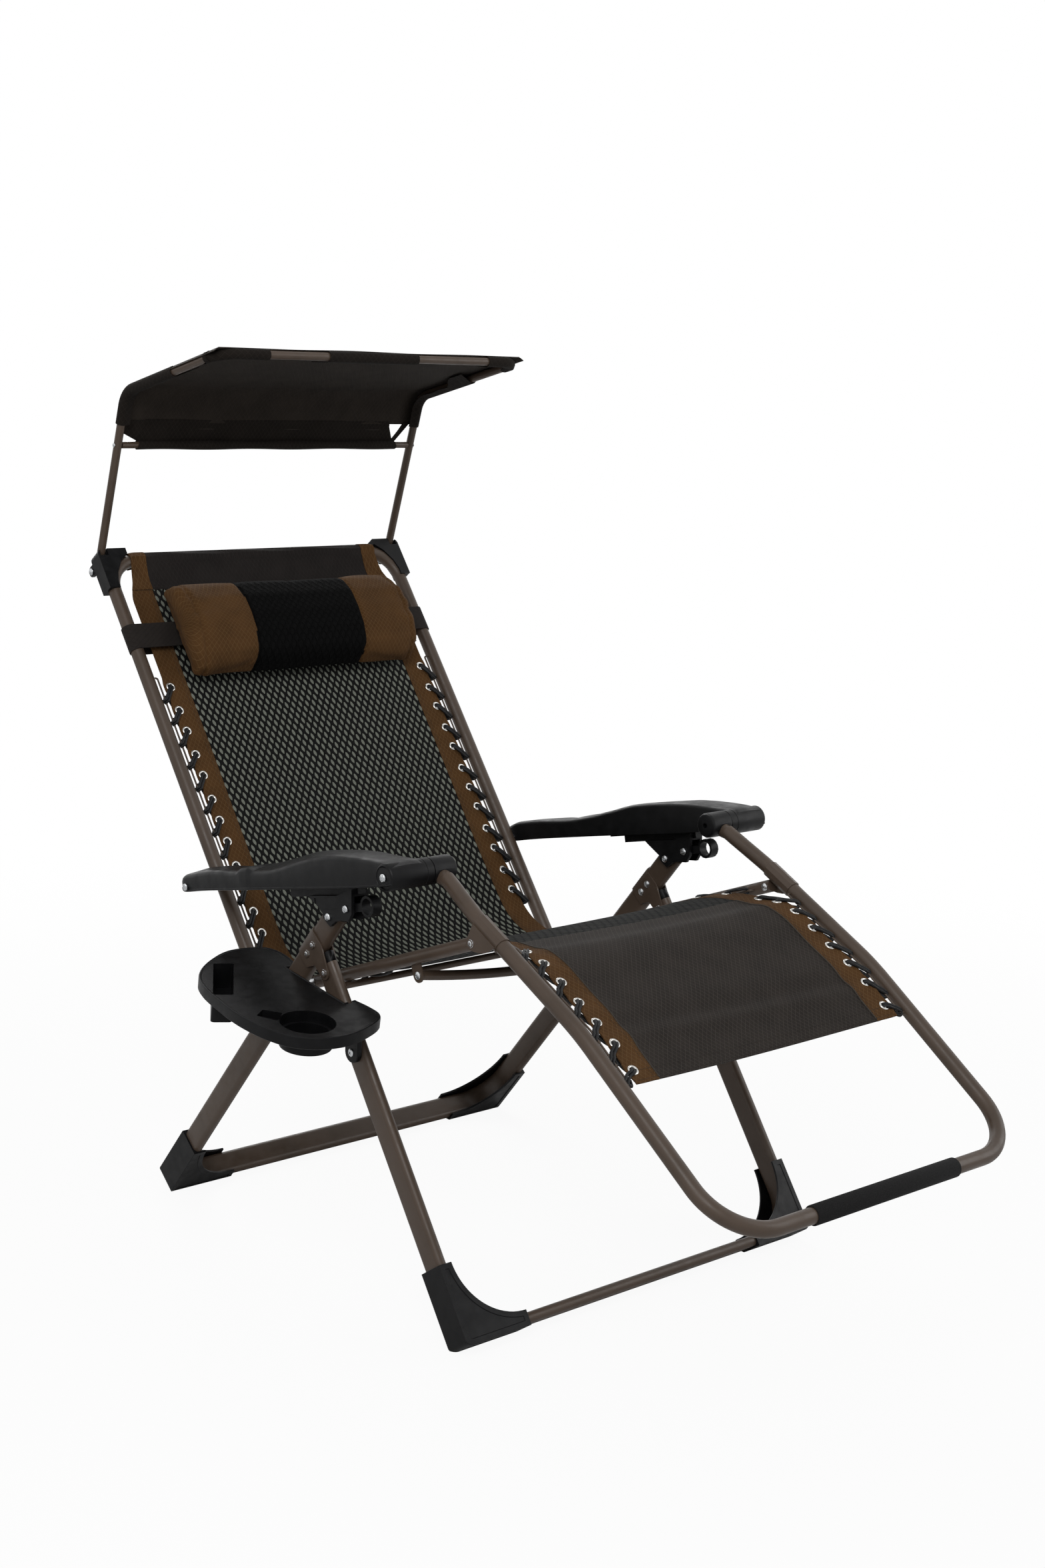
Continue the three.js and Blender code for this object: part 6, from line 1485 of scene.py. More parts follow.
@dataclass
class SlingRoute:
    """The line of the sling in the side plane, from the head bar to the hem at the shins."""

    spacing: float = 6.0
    top: float = 866.0
    sweep: float = 100.0
    rail_end: float = -390.4
    hang: float = 12.8
    crest: float = 40.0
    crest_rise: float = 1.2
    swell: float = 4.8
    merge: float = 96.0
    hem: float = 368.0
    half_width: float = 303.0
    narrowing: float = 5.0
    seat_ease: float = 80.0
    leg_ease: float = 50.0
    head_narrowing: float = 19.0
    head_ease: tuple[float, float] = (-76.0, -6.0)
    sag: float = 5.0
    sag_half: float = 290.0
    sag_ease: tuple[float, float] = (60.0, 200.0)
    fold_up: float = 74.0
    fold_lean: float = 0.03
    ridge: tuple[float, float] = (4.6, 15.0)
    valley: tuple[float, float] = (5.4, 19.0)
    valley_above: float = 27.0
    ripple: float = 1.2

    def __post_init__(self) -> None:
        """Finds the line, its length and its front."""
        back, rail, foot = BackFrame().plane, SeatFrame().rail, Footrest()
        pivot = back.at(0)
        turn = math.radians(back.angle - rail.angle)
        radius = self.sweep / math.tan(turn / 2)
        bend = filleted([back.at(self.sweep * 2), pivot, rail.at(SeatFrame().to_back - self.sweep * 2)],
                        [radius], 16)[1:-1]
        slope = math.cos(math.radians(foot.upper_angle))
        crest, merge = foot.point(self.crest, self.crest_rise - self.hang), foot.at(self.merge / slope)
        middle = (crest + merge) / 2 + np.array([0, 0, self.swell])
        nodes = [back.at(self.top), back.at(500), *bend, rail.at(-150), rail.at(self.rail_end),
                 foot.point(0, -self.hang), crest, middle, merge, foot.at(190), foot.at(foot.upper_length),
                 foot.at(320), foot.at(self.hem)]
        self.line = rounded(np.array(nodes), self.spacing)
        self.reach = reaches(self.line)
        self.front = -np.cross(ACROSS, directions(self.line))
        self.seat_from = self.distance(rail.at(SeatFrame().to_back - self.sweep))
        self.leg_from = self.distance(foot.point(0, -self.hang))
        self.end = float(self.reach[-1])

    def distance(self, place: Array) -> float:
        """The distance along the line to the point nearest to a place."""
        return float(self.reach[np.argmin(np.linalg.norm(self.line - place * [0, 1, 1], axis=1))])

    def straight_half(self, distance: Array) -> Array:
        """Half the width of the sling, without the narrowing at the head."""
        half = self.half_width
        for place, ease in ((self.seat_from, self.seat_ease), (self.leg_from, self.leg_ease)):
            half = half - self.narrowing * smooth_share(distance, place - ease, place)
        return half

    def half(self, distance: Array) -> Array:
        """Half the width of the sling."""
        return self.straight_half(distance) - self.head_narrowing * smooth_share(-distance, *self.head_ease)

    def lift(self, distance: Array, x: Array) -> Array:
        """How far the cloth stands in front of the line, less than nought where it sags."""
        share = 1 - np.clip(abs(x) / self.sag_half, 0, 1) ** 2
        deep = -self.sag * share * smooth_share(distance, *self.sag_ease)
        past_fold = distance - (self.end - self.fold_up + x * self.fold_lean)
        (high, wide), (low, broad) = self.ridge, self.valley
        crease = high * np.exp(-((past_fold / wide) ** 2))
        crease = crease - low * np.exp(-(((past_fold + self.valley_above) / broad) ** 2))
        hollow = self.ripple * np.sin(distance / 41 + x / 190) * share
        return deep + crease * (0.35 + 0.65 * share) + hollow

    def on(self, distance: Array, x: Array, over: float | Array = 0.0) -> tuple:
        """Points and fronts of the cloth at distances along it and places x."""
        distance, x = np.broadcast_arrays(np.asarray(distance, float), np.asarray(x, float))
        place = np.stack([np.interp(distance, self.reach, self.line[:, k]) for k in range(3)], axis=-1)
        front = np.stack([np.interp(distance, self.reach, self.front[:, k]) for k in range(3)], axis=-1)
        front /= np.linalg.norm(front, axis=-1, keepdims=True)
        place = place + ACROSS * x[..., None] + front * (self.lift(distance, x) + over)[..., None]
        return place, front


@dataclass(frozen=True)
class Eyelets:
    """One row of eyelets on each side of the sling, with the rod that its cord runs round."""

    zone: str
    body: str
    places: tuple[Array, ...]
    rods: tuple[Array, ...]
    rod_fronts: tuple[Array, ...]
    rod_x: float
    inset: float = 13.0


@dataclass
class Sling:
    """The cloth of the lounger: mesh back and seat, ripstop leg part, edge bands, eyelets and lacing."""

    route: SlingRoute = field(default_factory=SlingRoute)
    band_width: float = 50.0
    thickness: float = 1.5
    band_thickness: float = 2.3
    ring_outer: float = 9.2
    ring_inner: float = 5.0
    cord: float = 2.5
    slant: float = 27.0
    seam: float = 47.0
    tuck: float = 4.0
    scallop: float = 2.6
    hole_play: float = 0.6
    back_eyelets: tuple[float, float, int] = (608.0, -45.3, 12)
    seat_eyelets: tuple[float, float, int] = (-10.0, -74.0, 6)
    leg_eyelets: tuple[float, float, int] = (20.0, 46.0, 8)
    upper_leg_eyelets: int = 6
    head_parts: tuple = (("back_top_panel", 0, PLAIN, 0.0, 49), ("back_top_band_right", -1, BROWN, 1.0, 9),
                         ("back_top_band_left", 1, BROWN, 1.0, 9))
    head_seam: float = 252.0
    head_overlap: float = 3.0
    head_thickness: float = 1.4
    head_lift: float = 0.9
    head_pull: float = 0.6
    head_ease: tuple[float, float] = (-34.0, -4.0)
    loop_play: float = 1.6
    loop_turns: tuple[float, float] = (90.0, -150.0)
    piping: float = 1.3
    seam_rows: tuple[float, float] = (3.0, 8.0)
    head_rows: tuple[float, float] = (-2.0, 4.0)
    hem_rows: tuple[float, float] = (-22.0, -5.0)
    # The cord at one eyelet: its share of the way to the rod, then how far it stands off towards the
    # cloth's front, the rod's front, the rod itself and the side
    cord_path: tuple = ((0, -5, 0, -1.5, 0), (0, 2.4, 0, -0.8, 0), (0.25, 4.8, 0, 0, 0), (0.7, 0, 5, 0, 0),
                        (1, 0, 4.3, 0, 0), (1, 0, 0, 0, 4.1), (1, 0, -4.3, 0, 0), (0.6, -5.2, 0, 0, 0))

    def rows(self) -> list[Eyelets]:
        """The three rows of eyelets."""
        back, seat, foot = BackFrame(), SeatFrame(), Footrest()
        rows = []
        for zone, body, part, plane, (first, step, count) in (
                ("back", "backrest", back, back.plane, self.back_eyelets),
                ("seat", "seat", seat, seat.rail, self.seat_eyelets)):
            places = [first + step * k for k in range(count)]
            rods = tuple(plane.at(place - self.slant) for place in places)
            rows.append(Eyelets(zone, body, tuple(map(plane.at, places)), rods, (plane.across_axis,) * count,
                                part.half_width - part.rod_inset))
        first, step, count = self.leg_eyelets
        places = [first + step * k for k in range(count)]
        rods = [foot.at(min(max(d, foot.rod_from) + self.slant, foot.rod_to - 3)) for d in places]
        angles = [foot.upper_angle if k < self.upper_leg_eyelets else foot.lower_angle for k in range(count)]
        rows.append(Eyelets("leg", "footrest", tuple(map(foot.at, places)), tuple(rods),
                            tuple(SidePlane(0, 0, -angle).across_axis for angle in angles),
                            foot.half_width - foot.rod_inset))
        return rows

    def panel(self, name: str, span: tuple[float, float], finish: Finish) -> Piece:
        """Builds a middle panel of the sling between the bands."""
        route = self.route
        distance = np.linspace(*span, max(4, int((span[1] - span[0]) / 7)))[:, None]
        share = np.linspace(-1, 1, 61)[None, :]
        x = share * (route.straight_half(distance) - self.band_width + self.tuck)
        place, front = route.on(distance, x)
        shape = Shape()
        cloth = np.stack(np.broadcast_arrays(x, -distance), axis=-1)
        shape.sheet(place, front, self.thickness, 0, cloth)
        return shape.build(name, [finish])

    def bands(self, name: str, span: tuple[float, float], eyelets: Sequence[float]) -> Piece:
        """Builds both edge bands over a span, holed at the eyelets and drawn in between them."""
        route, shape, cutter = self.route, Shape(), Shape()
        distance = np.linspace(*span, max(6, int((span[1] - span[0]) / 4)))[:, None]
        near = np.min([abs(distance - e) for e in eyelets], axis=0)
        drawn = self.scallop * smooth_share(near, 4, 22)
        hole = self.ring_inner + self.hole_play
        for sign in SIDES.values():
            share = np.linspace(0, 1, 12)[None, :]
            outer = route.half(distance) - drawn
            inner = route.straight_half(distance) - self.band_width
            x = sign * (inner + (outer - inner) * share)
            wavy = 0.55 * np.sin(distance / 5.3 + share * 7) * smooth_share(share, 0.0, 0.25) * (1 - share)
            place, front = route.on(distance, x, wavy)
            cloth = np.stack(np.broadcast_arrays(x, -distance), axis=-1)
            shape.sheet(place, front, self.band_thickness, 0, cloth)
            for e in eyelets:
                centre, way = route.on(e, sign * (route.half(np.array(e)) - Eyelets.inset))
                cutter.turned_ring(centre, way, [(hole, -6), (hole, 6)], 16, False)
        made = shape.build(name, [BROWN])
        merged(made, cutter)
        return made

    def rings(self, row: Eyelets) -> Piece:
        """Builds the metal eyelets of one row on both sides, front and back."""
        shape = Shape()
        outer, inner, over = self.ring_outer, self.ring_inner, self.band_thickness / 2
        profile = [(inner, -over - 0.5), (inner + 0.5, -over - 0.9), (outer - 0.8, -over - 0.6),
                   (outer, -over), (outer, over), (outer - 0.5, over + 0.75), (outer - 1.8, over + 1.35),
                   (inner + 1.0, over + 1.1), (inner + 0.2, over + 0.5), (inner, over)]
        for place in row.places:
            e = self.route.distance(place)
            for sign in SIDES.values():
                centre, way = self.route.on(e, sign * (self.route.half(np.array(e)) - row.inset))
                shape.turned_ring(centre, way, profile, 28)
        return shape.build(f"{row.zone}_eyelets", [NICKEL], row.body)

    def lacing(self, row: Eyelets, side: str) -> Piece:
        """Builds the doubled elastic cord of one row on one side.

        At each eyelet it comes up through the ring, crosses to the rod, turns round it and goes back under
        the cloth to the next eyelet.
        """
        sign, shape, route = SIDES[side], Shape(), self.route
        for strand in (-1, 1):
            nodes = []
            for place, rod, rod_front in zip(row.places, row.rods, row.rod_fronts):
                e = route.distance(place)
                centre, way = route.on(e, sign * (route.half(np.array(e)) - row.inset))
                end = rod * [0, 1, 1] + ACROSS * sign * row.rod_x
                run = unit(end - centre)
                aside = unit(np.cross(run, way)) * strand * sign * self.cord * 1.03
                ways = np.array([way, rod_front, run, ACROSS * sign])
                nodes += [centre + (end - centre) * share + np.array(off) @ ways + aside
                          for share, *off in self.cord_path]
            shape.tube(rounded(np.array(nodes), 2.4), circle(self.cord, 9))
        made = shape.build(f"{row.zone}_lacing_cord_{side}", [CORD], row.body)
        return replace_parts(made, f"{row.zone}_lacing_{side}")

    def head_row(self, distance: float, turn: float | None, x: Array, over: float) -> tuple:
        """One row of the head panel, on the flat cloth or round the head bar.

        Args:
            distance: The distance along the sling of a row on the flat cloth.
            turn: The angle of a row round the bar, or None on the flat cloth.
            x: The places across the width.
            over: How far the row stands over the panel.

        Returns:
            The points, their fronts and the length along the cloth.
        """
        back = BackFrame()
        plane, wrap = back.plane, back.radius + self.loop_play
        beyond = np.maximum(abs(x) - (back.half_width - back.bend), 0)
        bar = back.length - back.bend + np.sqrt(np.maximum(back.bend**2 - beyond**2, 0))
        if turn is None:
            point, front = self.route.on(distance, x, self.head_lift + over)
            nearing = float(smooth_share(-distance, *self.head_ease)) * self.head_pull
            target = np.array([plane.at(b - 4, wrap + over) for b in bar]) * [0, 1, 1]
            return point + (target - point) * [0, 1, 1] * nearing, front, -distance
        way = plane.along_axis * math.cos(turn) + plane.across_axis * math.sin(turn)
        point = np.array([plane.at(b, 0, u) for b, u in zip(bar, x)]) + way * (wrap + over)
        return point, np.tile(way, (len(x), 1)), (math.pi / 2 - turn) * wrap

    def top_panel(self) -> list[Piece]:
        """Builds the charcoal head panel and the brown bands that loop over the head bar."""
        flat, pieces = np.linspace(self.seam + 3, 4, 10), []
        steps = [(distance, None) for distance in flat]
        steps += [(flat[-1], turn) for turn in np.radians(np.linspace(*self.loop_turns, 34))]
        for name, side, finish, over, count in self.head_parts:
            shape, rows, fronts, cloth = Shape(), [], [], []
            for place, (distance, turn) in enumerate(steps):
                low = self.head_seam - 2.0 * min(place / len(flat), 1)
                far = low + self.head_overlap
                reach = float(self.route.half(np.array(distance))) - 1.0
                x = side * np.linspace(low, reach, count) if side else np.linspace(-far, far, count)
                point, front, length = self.head_row(distance, turn, x, over)
                soft = 1.2 * np.sin(x / 26 + place / 2.2) * np.sin(place / 3.1) * (place < len(flat) + 6)
                rows.append(point + front * soft[:, None])
                fronts.append(front)
                cloth.append(np.stack([x, np.full(count, length)], axis=-1))
            shape.sheet(np.array(rows), np.array(fronts), self.head_thickness, 0, np.array(cloth))
            pieces.append(shape.build(name, [finish], "backrest"))
        return pieces

    def trims(self) -> tuple[Shape, Shape, Shape]:
        """Piping and stitches on the back, the seat and the leg part."""
        route, made = self.route, []
        ends = (self.seam, route.seat_from, route.leg_from, route.end)
        for part, (start, end) in enumerate(zip(ends, ends[1:])):
            shape = Shape()
            distance = np.arange(start, end, 5.0)
            for sign in SIDES.values():
                inner = route.straight_half(distance) - self.band_width
                if part == 2:
                    place, front = route.on(distance, sign * (inner - 0.6), 1.2)
                    shape.tube(place, circle(self.piping, 8))
                for inset in self.seam_rows:
                    place, front = route.on(distance, sign * (inner + inset), self.band_thickness / 2 + 0.2)
                    shape.stitches(place, front)
            rows = {0: [start + up for up in self.head_rows], 2: [end + up for up in self.hem_rows]}
            for row in rows.get(part, []):
                x = np.linspace(-route.half(np.array(row)) + 6, route.half(np.array(row)) - 6, 60)
                place, front = route.on(np.full(60, row), x, 2.0 if part == 0 else 1.4)
                shape.stitches(place, front)
            made.append(shape)
        return tuple(made)

    def build(self) -> None:
        """Builds the sling in its three parts, each with its bands, eyelets and lacing."""
        route, rail, foot = self.route, SeatFrame().rail, Footrest()
        middle = ACROSS * MIDDLE_X
        turn = (BackFrame().plane.at(105), rail.at(SeatFrame().to_back - route.sweep))
        front = (rail.at(route.rail_end), foot.point(0, -route.hang))
        spans = {"back": (self.seam, route.seat_from), "seat": (route.seat_from, route.leg_from),
                 "leg": (route.leg_from, route.end)}
        joins = {"back": ("backrest", "seat", turn), "seat": ("seat", "footrest", front), "leg": None}
        # The seat takes the spacer mesh darkened as painted shade
        finishes = {"back": MESH, "seat": SEAT_MESH_PAINTED_SHADE, "leg": CHARCOAL}
        stitching = dict(zip(spans, self.trims()))
        for row in self.rows():
            zone, span = row.zone, spans[row.zone]
            panel = self.panel(f"{zone}_cloth", span, finishes[zone])
            eyelets = [route.distance(place) for place in row.places]
            bands = self.bands(f"{zone}_bands", (span[0] - (2 if zone == "back" else 0), span[1]), eyelets)
            trim = stitching[zone].build(f"{zone}_stitching", [THREAD])
            for piece in (panel, bands, trim):
                if joins[zone]:
                    first, second, (start, end) = joins[zone]
                    tuple((start + middle) * METRES)
                    tuple((end + middle) * METRES)
                    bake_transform(piece)
                else:
                    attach(piece, row.body)
            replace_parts(panel, f"{zone}_sling")
            trims = [bands, trim, self.rings(row)]
            trims += self.top_panel() if zone == "back" else []
            width = 2 * (float(route.half(np.array((span[0] + span[1]) / 2))) - self.band_width + self.tuck)
            (span[1] - span[0]) * METRES
            for side in SIDES:
                self.lacing(row, side)


# Pillow


@dataclass
class HeadPillow:
    """The padded bolster with brown ends, a black mesh middle, and its elastic strap."""

    half: float = 257.0
    low: float = 606.0
    high: float = 806.0
    back: float = 16.5
    depth: float = 66.0
    mesh_half: float = 124.0
    end_seam: float = 236.0
    steps: int = 18
    most: float = 9.0
    strap_low: float = 688.0
    strap_high: float = 738.0
    strap_radius: float = 13.9
    strap_half: float = 0.75
    strap_dip: float = 1.4
    buckle_out: float = 2.4
    buckle_bars: tuple = (678.5, 688.0, 697.5)
    voxel: float = 5.2
    round_girth: float = 78.0
    section: tuple = ((0, 0.12), (0.05, 0.46), (0.15, 0.76), (0.31, 0.95), (0.5, 1), (0.69, 0.95),
                      (0.85, 0.76), (0.95, 0.46), (1, 0.12), (0.96, 0.02), (0.8, 0), (0.5, 0), (0.2, 0),
                      (0.04, 0.02))
    ends: tuple = ((-1, 0.74), (-0.985, 0.9), (-0.955, 0.985), (-0.9, 1), (-0.6, 1.01), (-0.3, 1.02),
                   (0, 1.03), (0.3, 1.02), (0.6, 1.01), (0.9, 1), (0.955, 0.985), (0.985, 0.9), (1, 0.74))

    def blank(self) -> Shape:
        """The unfilled bolster."""
        plane, shape = BackFrame().plane, Shape()
        middle, length = (self.low + self.high) / 2, self.high - self.low
        rows = np.array([[plane.at(middle + (u - 0.5) * length * (size + 1) / 2,
                                   self.back + v * self.depth * size, place * self.half)
                          for u, v in self.section] for place, size in self.ends])
        shape.grid(rows, ring=True, caps=True)
        return shape

    @staticmethod
    def vertex_places(mesh: bpy.types.Mesh) -> Array:
        """The places of a mesh's vertices in metres, one to a row."""
        places = np.zeros(len(mesh.vertices) * 3, np.float32)
        mesh.vertices.foreach_get("co", places)
        return places.reshape(-1, 3)

    def filled(self, piece: Piece) -> None:
        """Fills the bolster by a short cloth simulation, with how far a point may move kept small."""
        rest = self.vertex_places(piece.data)
        cloth = piece.modifiers.new("fill", "CLOTH")
        settings, cache = cloth.settings, cloth.point_cache
        settings.quality, settings.mass = 5, 0.25
        settings.tension_stiffness, settings.bending_stiffness = 18, 0.6
        settings.use_pressure, settings.uniform_pressure_force = True, 4
        settings.effector_weights.gravity = 0
        cache.frame_start, cache.frame_end = 1, self.steps
        for step in range(1, self.steps + 1):
            bpy.context.scene.frame_set(step)
        settled(piece)
        bpy.context.scene.frame_set(1)
        shift = self.vertex_places(piece.data) - rest
        length = np.linalg.norm(shift, axis=1, keepdims=True)
        shift *= np.minimum(1, self.most * METRES / np.maximum(length, 1e-9))
        piece.data.vertices.foreach_set("co", (rest + shift).astype(np.float32).ravel())

    def sewn(self, piece: Piece) -> None:
        """Draws in the seams, gathers the ends, and gives the panels their cloth coordinates and finish."""
        plane, mesh = BackFrame().plane, piece.data
        origin = (plane.at(0) + ACROSS * MIDDLE_X) * METRES
        local = (self.vertex_places(mesh).astype(float) - origin) / METRES
        x = local[:, 0]
        along, out = local @ plane.along_axis, local @ plane.across_axis
        centre = np.array([(self.low + self.high) / 2, self.back + self.depth * 0.42])
        spoke = np.stack([along - centre[0], out - centre[1]], axis=1)
        turn = np.arctan2(spoke[:, 1], spoke[:, 0])
        pull = np.zeros(len(x))
        for seam, depth, width in ((self.mesh_half, 3.0, 3.0), (self.end_seam, 4.2, 3.4)):
            pull += depth * np.exp(-(((abs(x) - seam) / width) ** 2))
        ends = smooth_share(abs(x), self.end_seam - 40, self.end_seam + 10)
        creases = np.sin(turn * 9 + x / 23) * 1.6 + np.sin(turn * 5 - x / 17 + 1.0) * 1.8
        pull += ends * creases + 0.8 * np.sin(x / 37 + turn * 2) * (1 - ends)
        pull *= smooth_share(out, self.back + 2, self.back + 14)
        grow = 1 - pull[:, None] / np.maximum(np.linalg.norm(spoke, axis=1), 20)[:, None]
        spoke = spoke * grow
        fresh = origin + METRES * (x[:, None] * ACROSS + (centre[0] + spoke[:, :1]) * plane.along_axis
                                   + np.maximum(centre[1] + spoke[:, 1:], self.back) * plane.across_axis)
        mesh.vertices.foreach_set("co", fresh.astype(np.float32).ravel())
        lay_cloth(mesh, np.stack([x, turn * self.round_girth], axis=1))
        for polygon in mesh.polygons:
            centre_x = abs(polygon.center[0] / METRES - MIDDLE_X)
            polygon.material_index = 1 if centre_x < self.mesh_half else 0
        mesh.shade_smooth()

    def build(self) -> None:
        """Builds the bolster and the strap."""
        pillow = self.blank().build("head_pillow", [BROWN, BLACK_MESH])
        remesh = pillow.modifiers.new("remesh", "REMESH")
        remesh.mode, remesh.voxel_size = "VOXEL", self.voxel * METRES
        settled(pillow)
        self.filled(pillow)
        finer = pillow.modifiers.new("finer", "SUBSURF")
        finer.levels = finer.render_levels = 1
        settled(pillow)
        pillow.data.materials.clear()
        for finish in (BROWN, BLACK_MESH):
            pillow.data.materials.append(finish.material())
        self.sewn(pillow)
        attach(pillow, "pillow")
        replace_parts(pillow, "pillow")
        self.strap()

    def strap_line(self) -> Array:
        """The middle of the strap round both back tubes, as rows of (x, out)."""
        reach, radius, line = BackFrame().half_width, self.strap_radius, []
        for sign in SIDES.values():
            line += [(sign * (reach + radius * math.cos(turn)), sign * radius * math.sin(turn))
                     for turn in np.radians(np.linspace(-90, 90, 15))]
            line += [(sign * reach * share, sign * (radius - self.strap_dip * (1 - abs(share)) ** 0.5))
                     for share in np.linspace(0.95, -0.95, 39)]
        return np.array([*line, line[0]])

    def strap(self) -> None:
        """Builds the strap that goes round both back tubes behind the pillow, and its buckle."""
        plane, shape, buckle, flat = BackFrame().plane, Shape(), Shape(), self.strap_line()
        lengths = reaches(flat)
        ways = np.roll(flat, -1, axis=0) - np.roll(flat, 1, axis=0)
        ways[0] = ways[-1] = flat[1] - flat[-2]
        ways /= np.linalg.norm(ways, axis=1)[:, None]
        places = np.linspace(self.strap_low, self.strap_high, 7)
        face = np.array([[plane.at(t, v, u) for u, v in flat] for t in places])
        normal = np.array([ACROSS * way[1] - plane.across_axis * way[0] for way in ways])
        cloth = np.array([[(t, length) for length in lengths] for t in places])
        outer, inner = face + normal * self.strap_half, face - normal * self.strap_half
        ring, coords = (np.concatenate(both)[:, :-1].transpose(1, 0, 2)
                        for both in ((outer, inner[::-1]), (cloth, cloth[::-1])))
        shape.grid(np.concatenate([ring, ring[:1]]), ring=True, cloth=np.concatenate([coords, coords[:1]]))
        band = shape.build("pillow_strap_band", [WEBBING], "pillow")
        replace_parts(band, "pillow_strap")
        out = -self.strap_radius - self.buckle_out
        for t in self.buckle_bars:
            buckle.tube(np.array([plane.at(t, out, x) for x in (292, 320)]), flat_oval(3.2, 5.0))
        for x in (293, 319):
            buckle.tube(np.array([plane.at(t, out, x) for t in (676, 700)]), flat_oval(3.2, 4.0))
        clip = buckle.build("strap_buckle", [PLASTIC], "pillow")


# Canopy cover


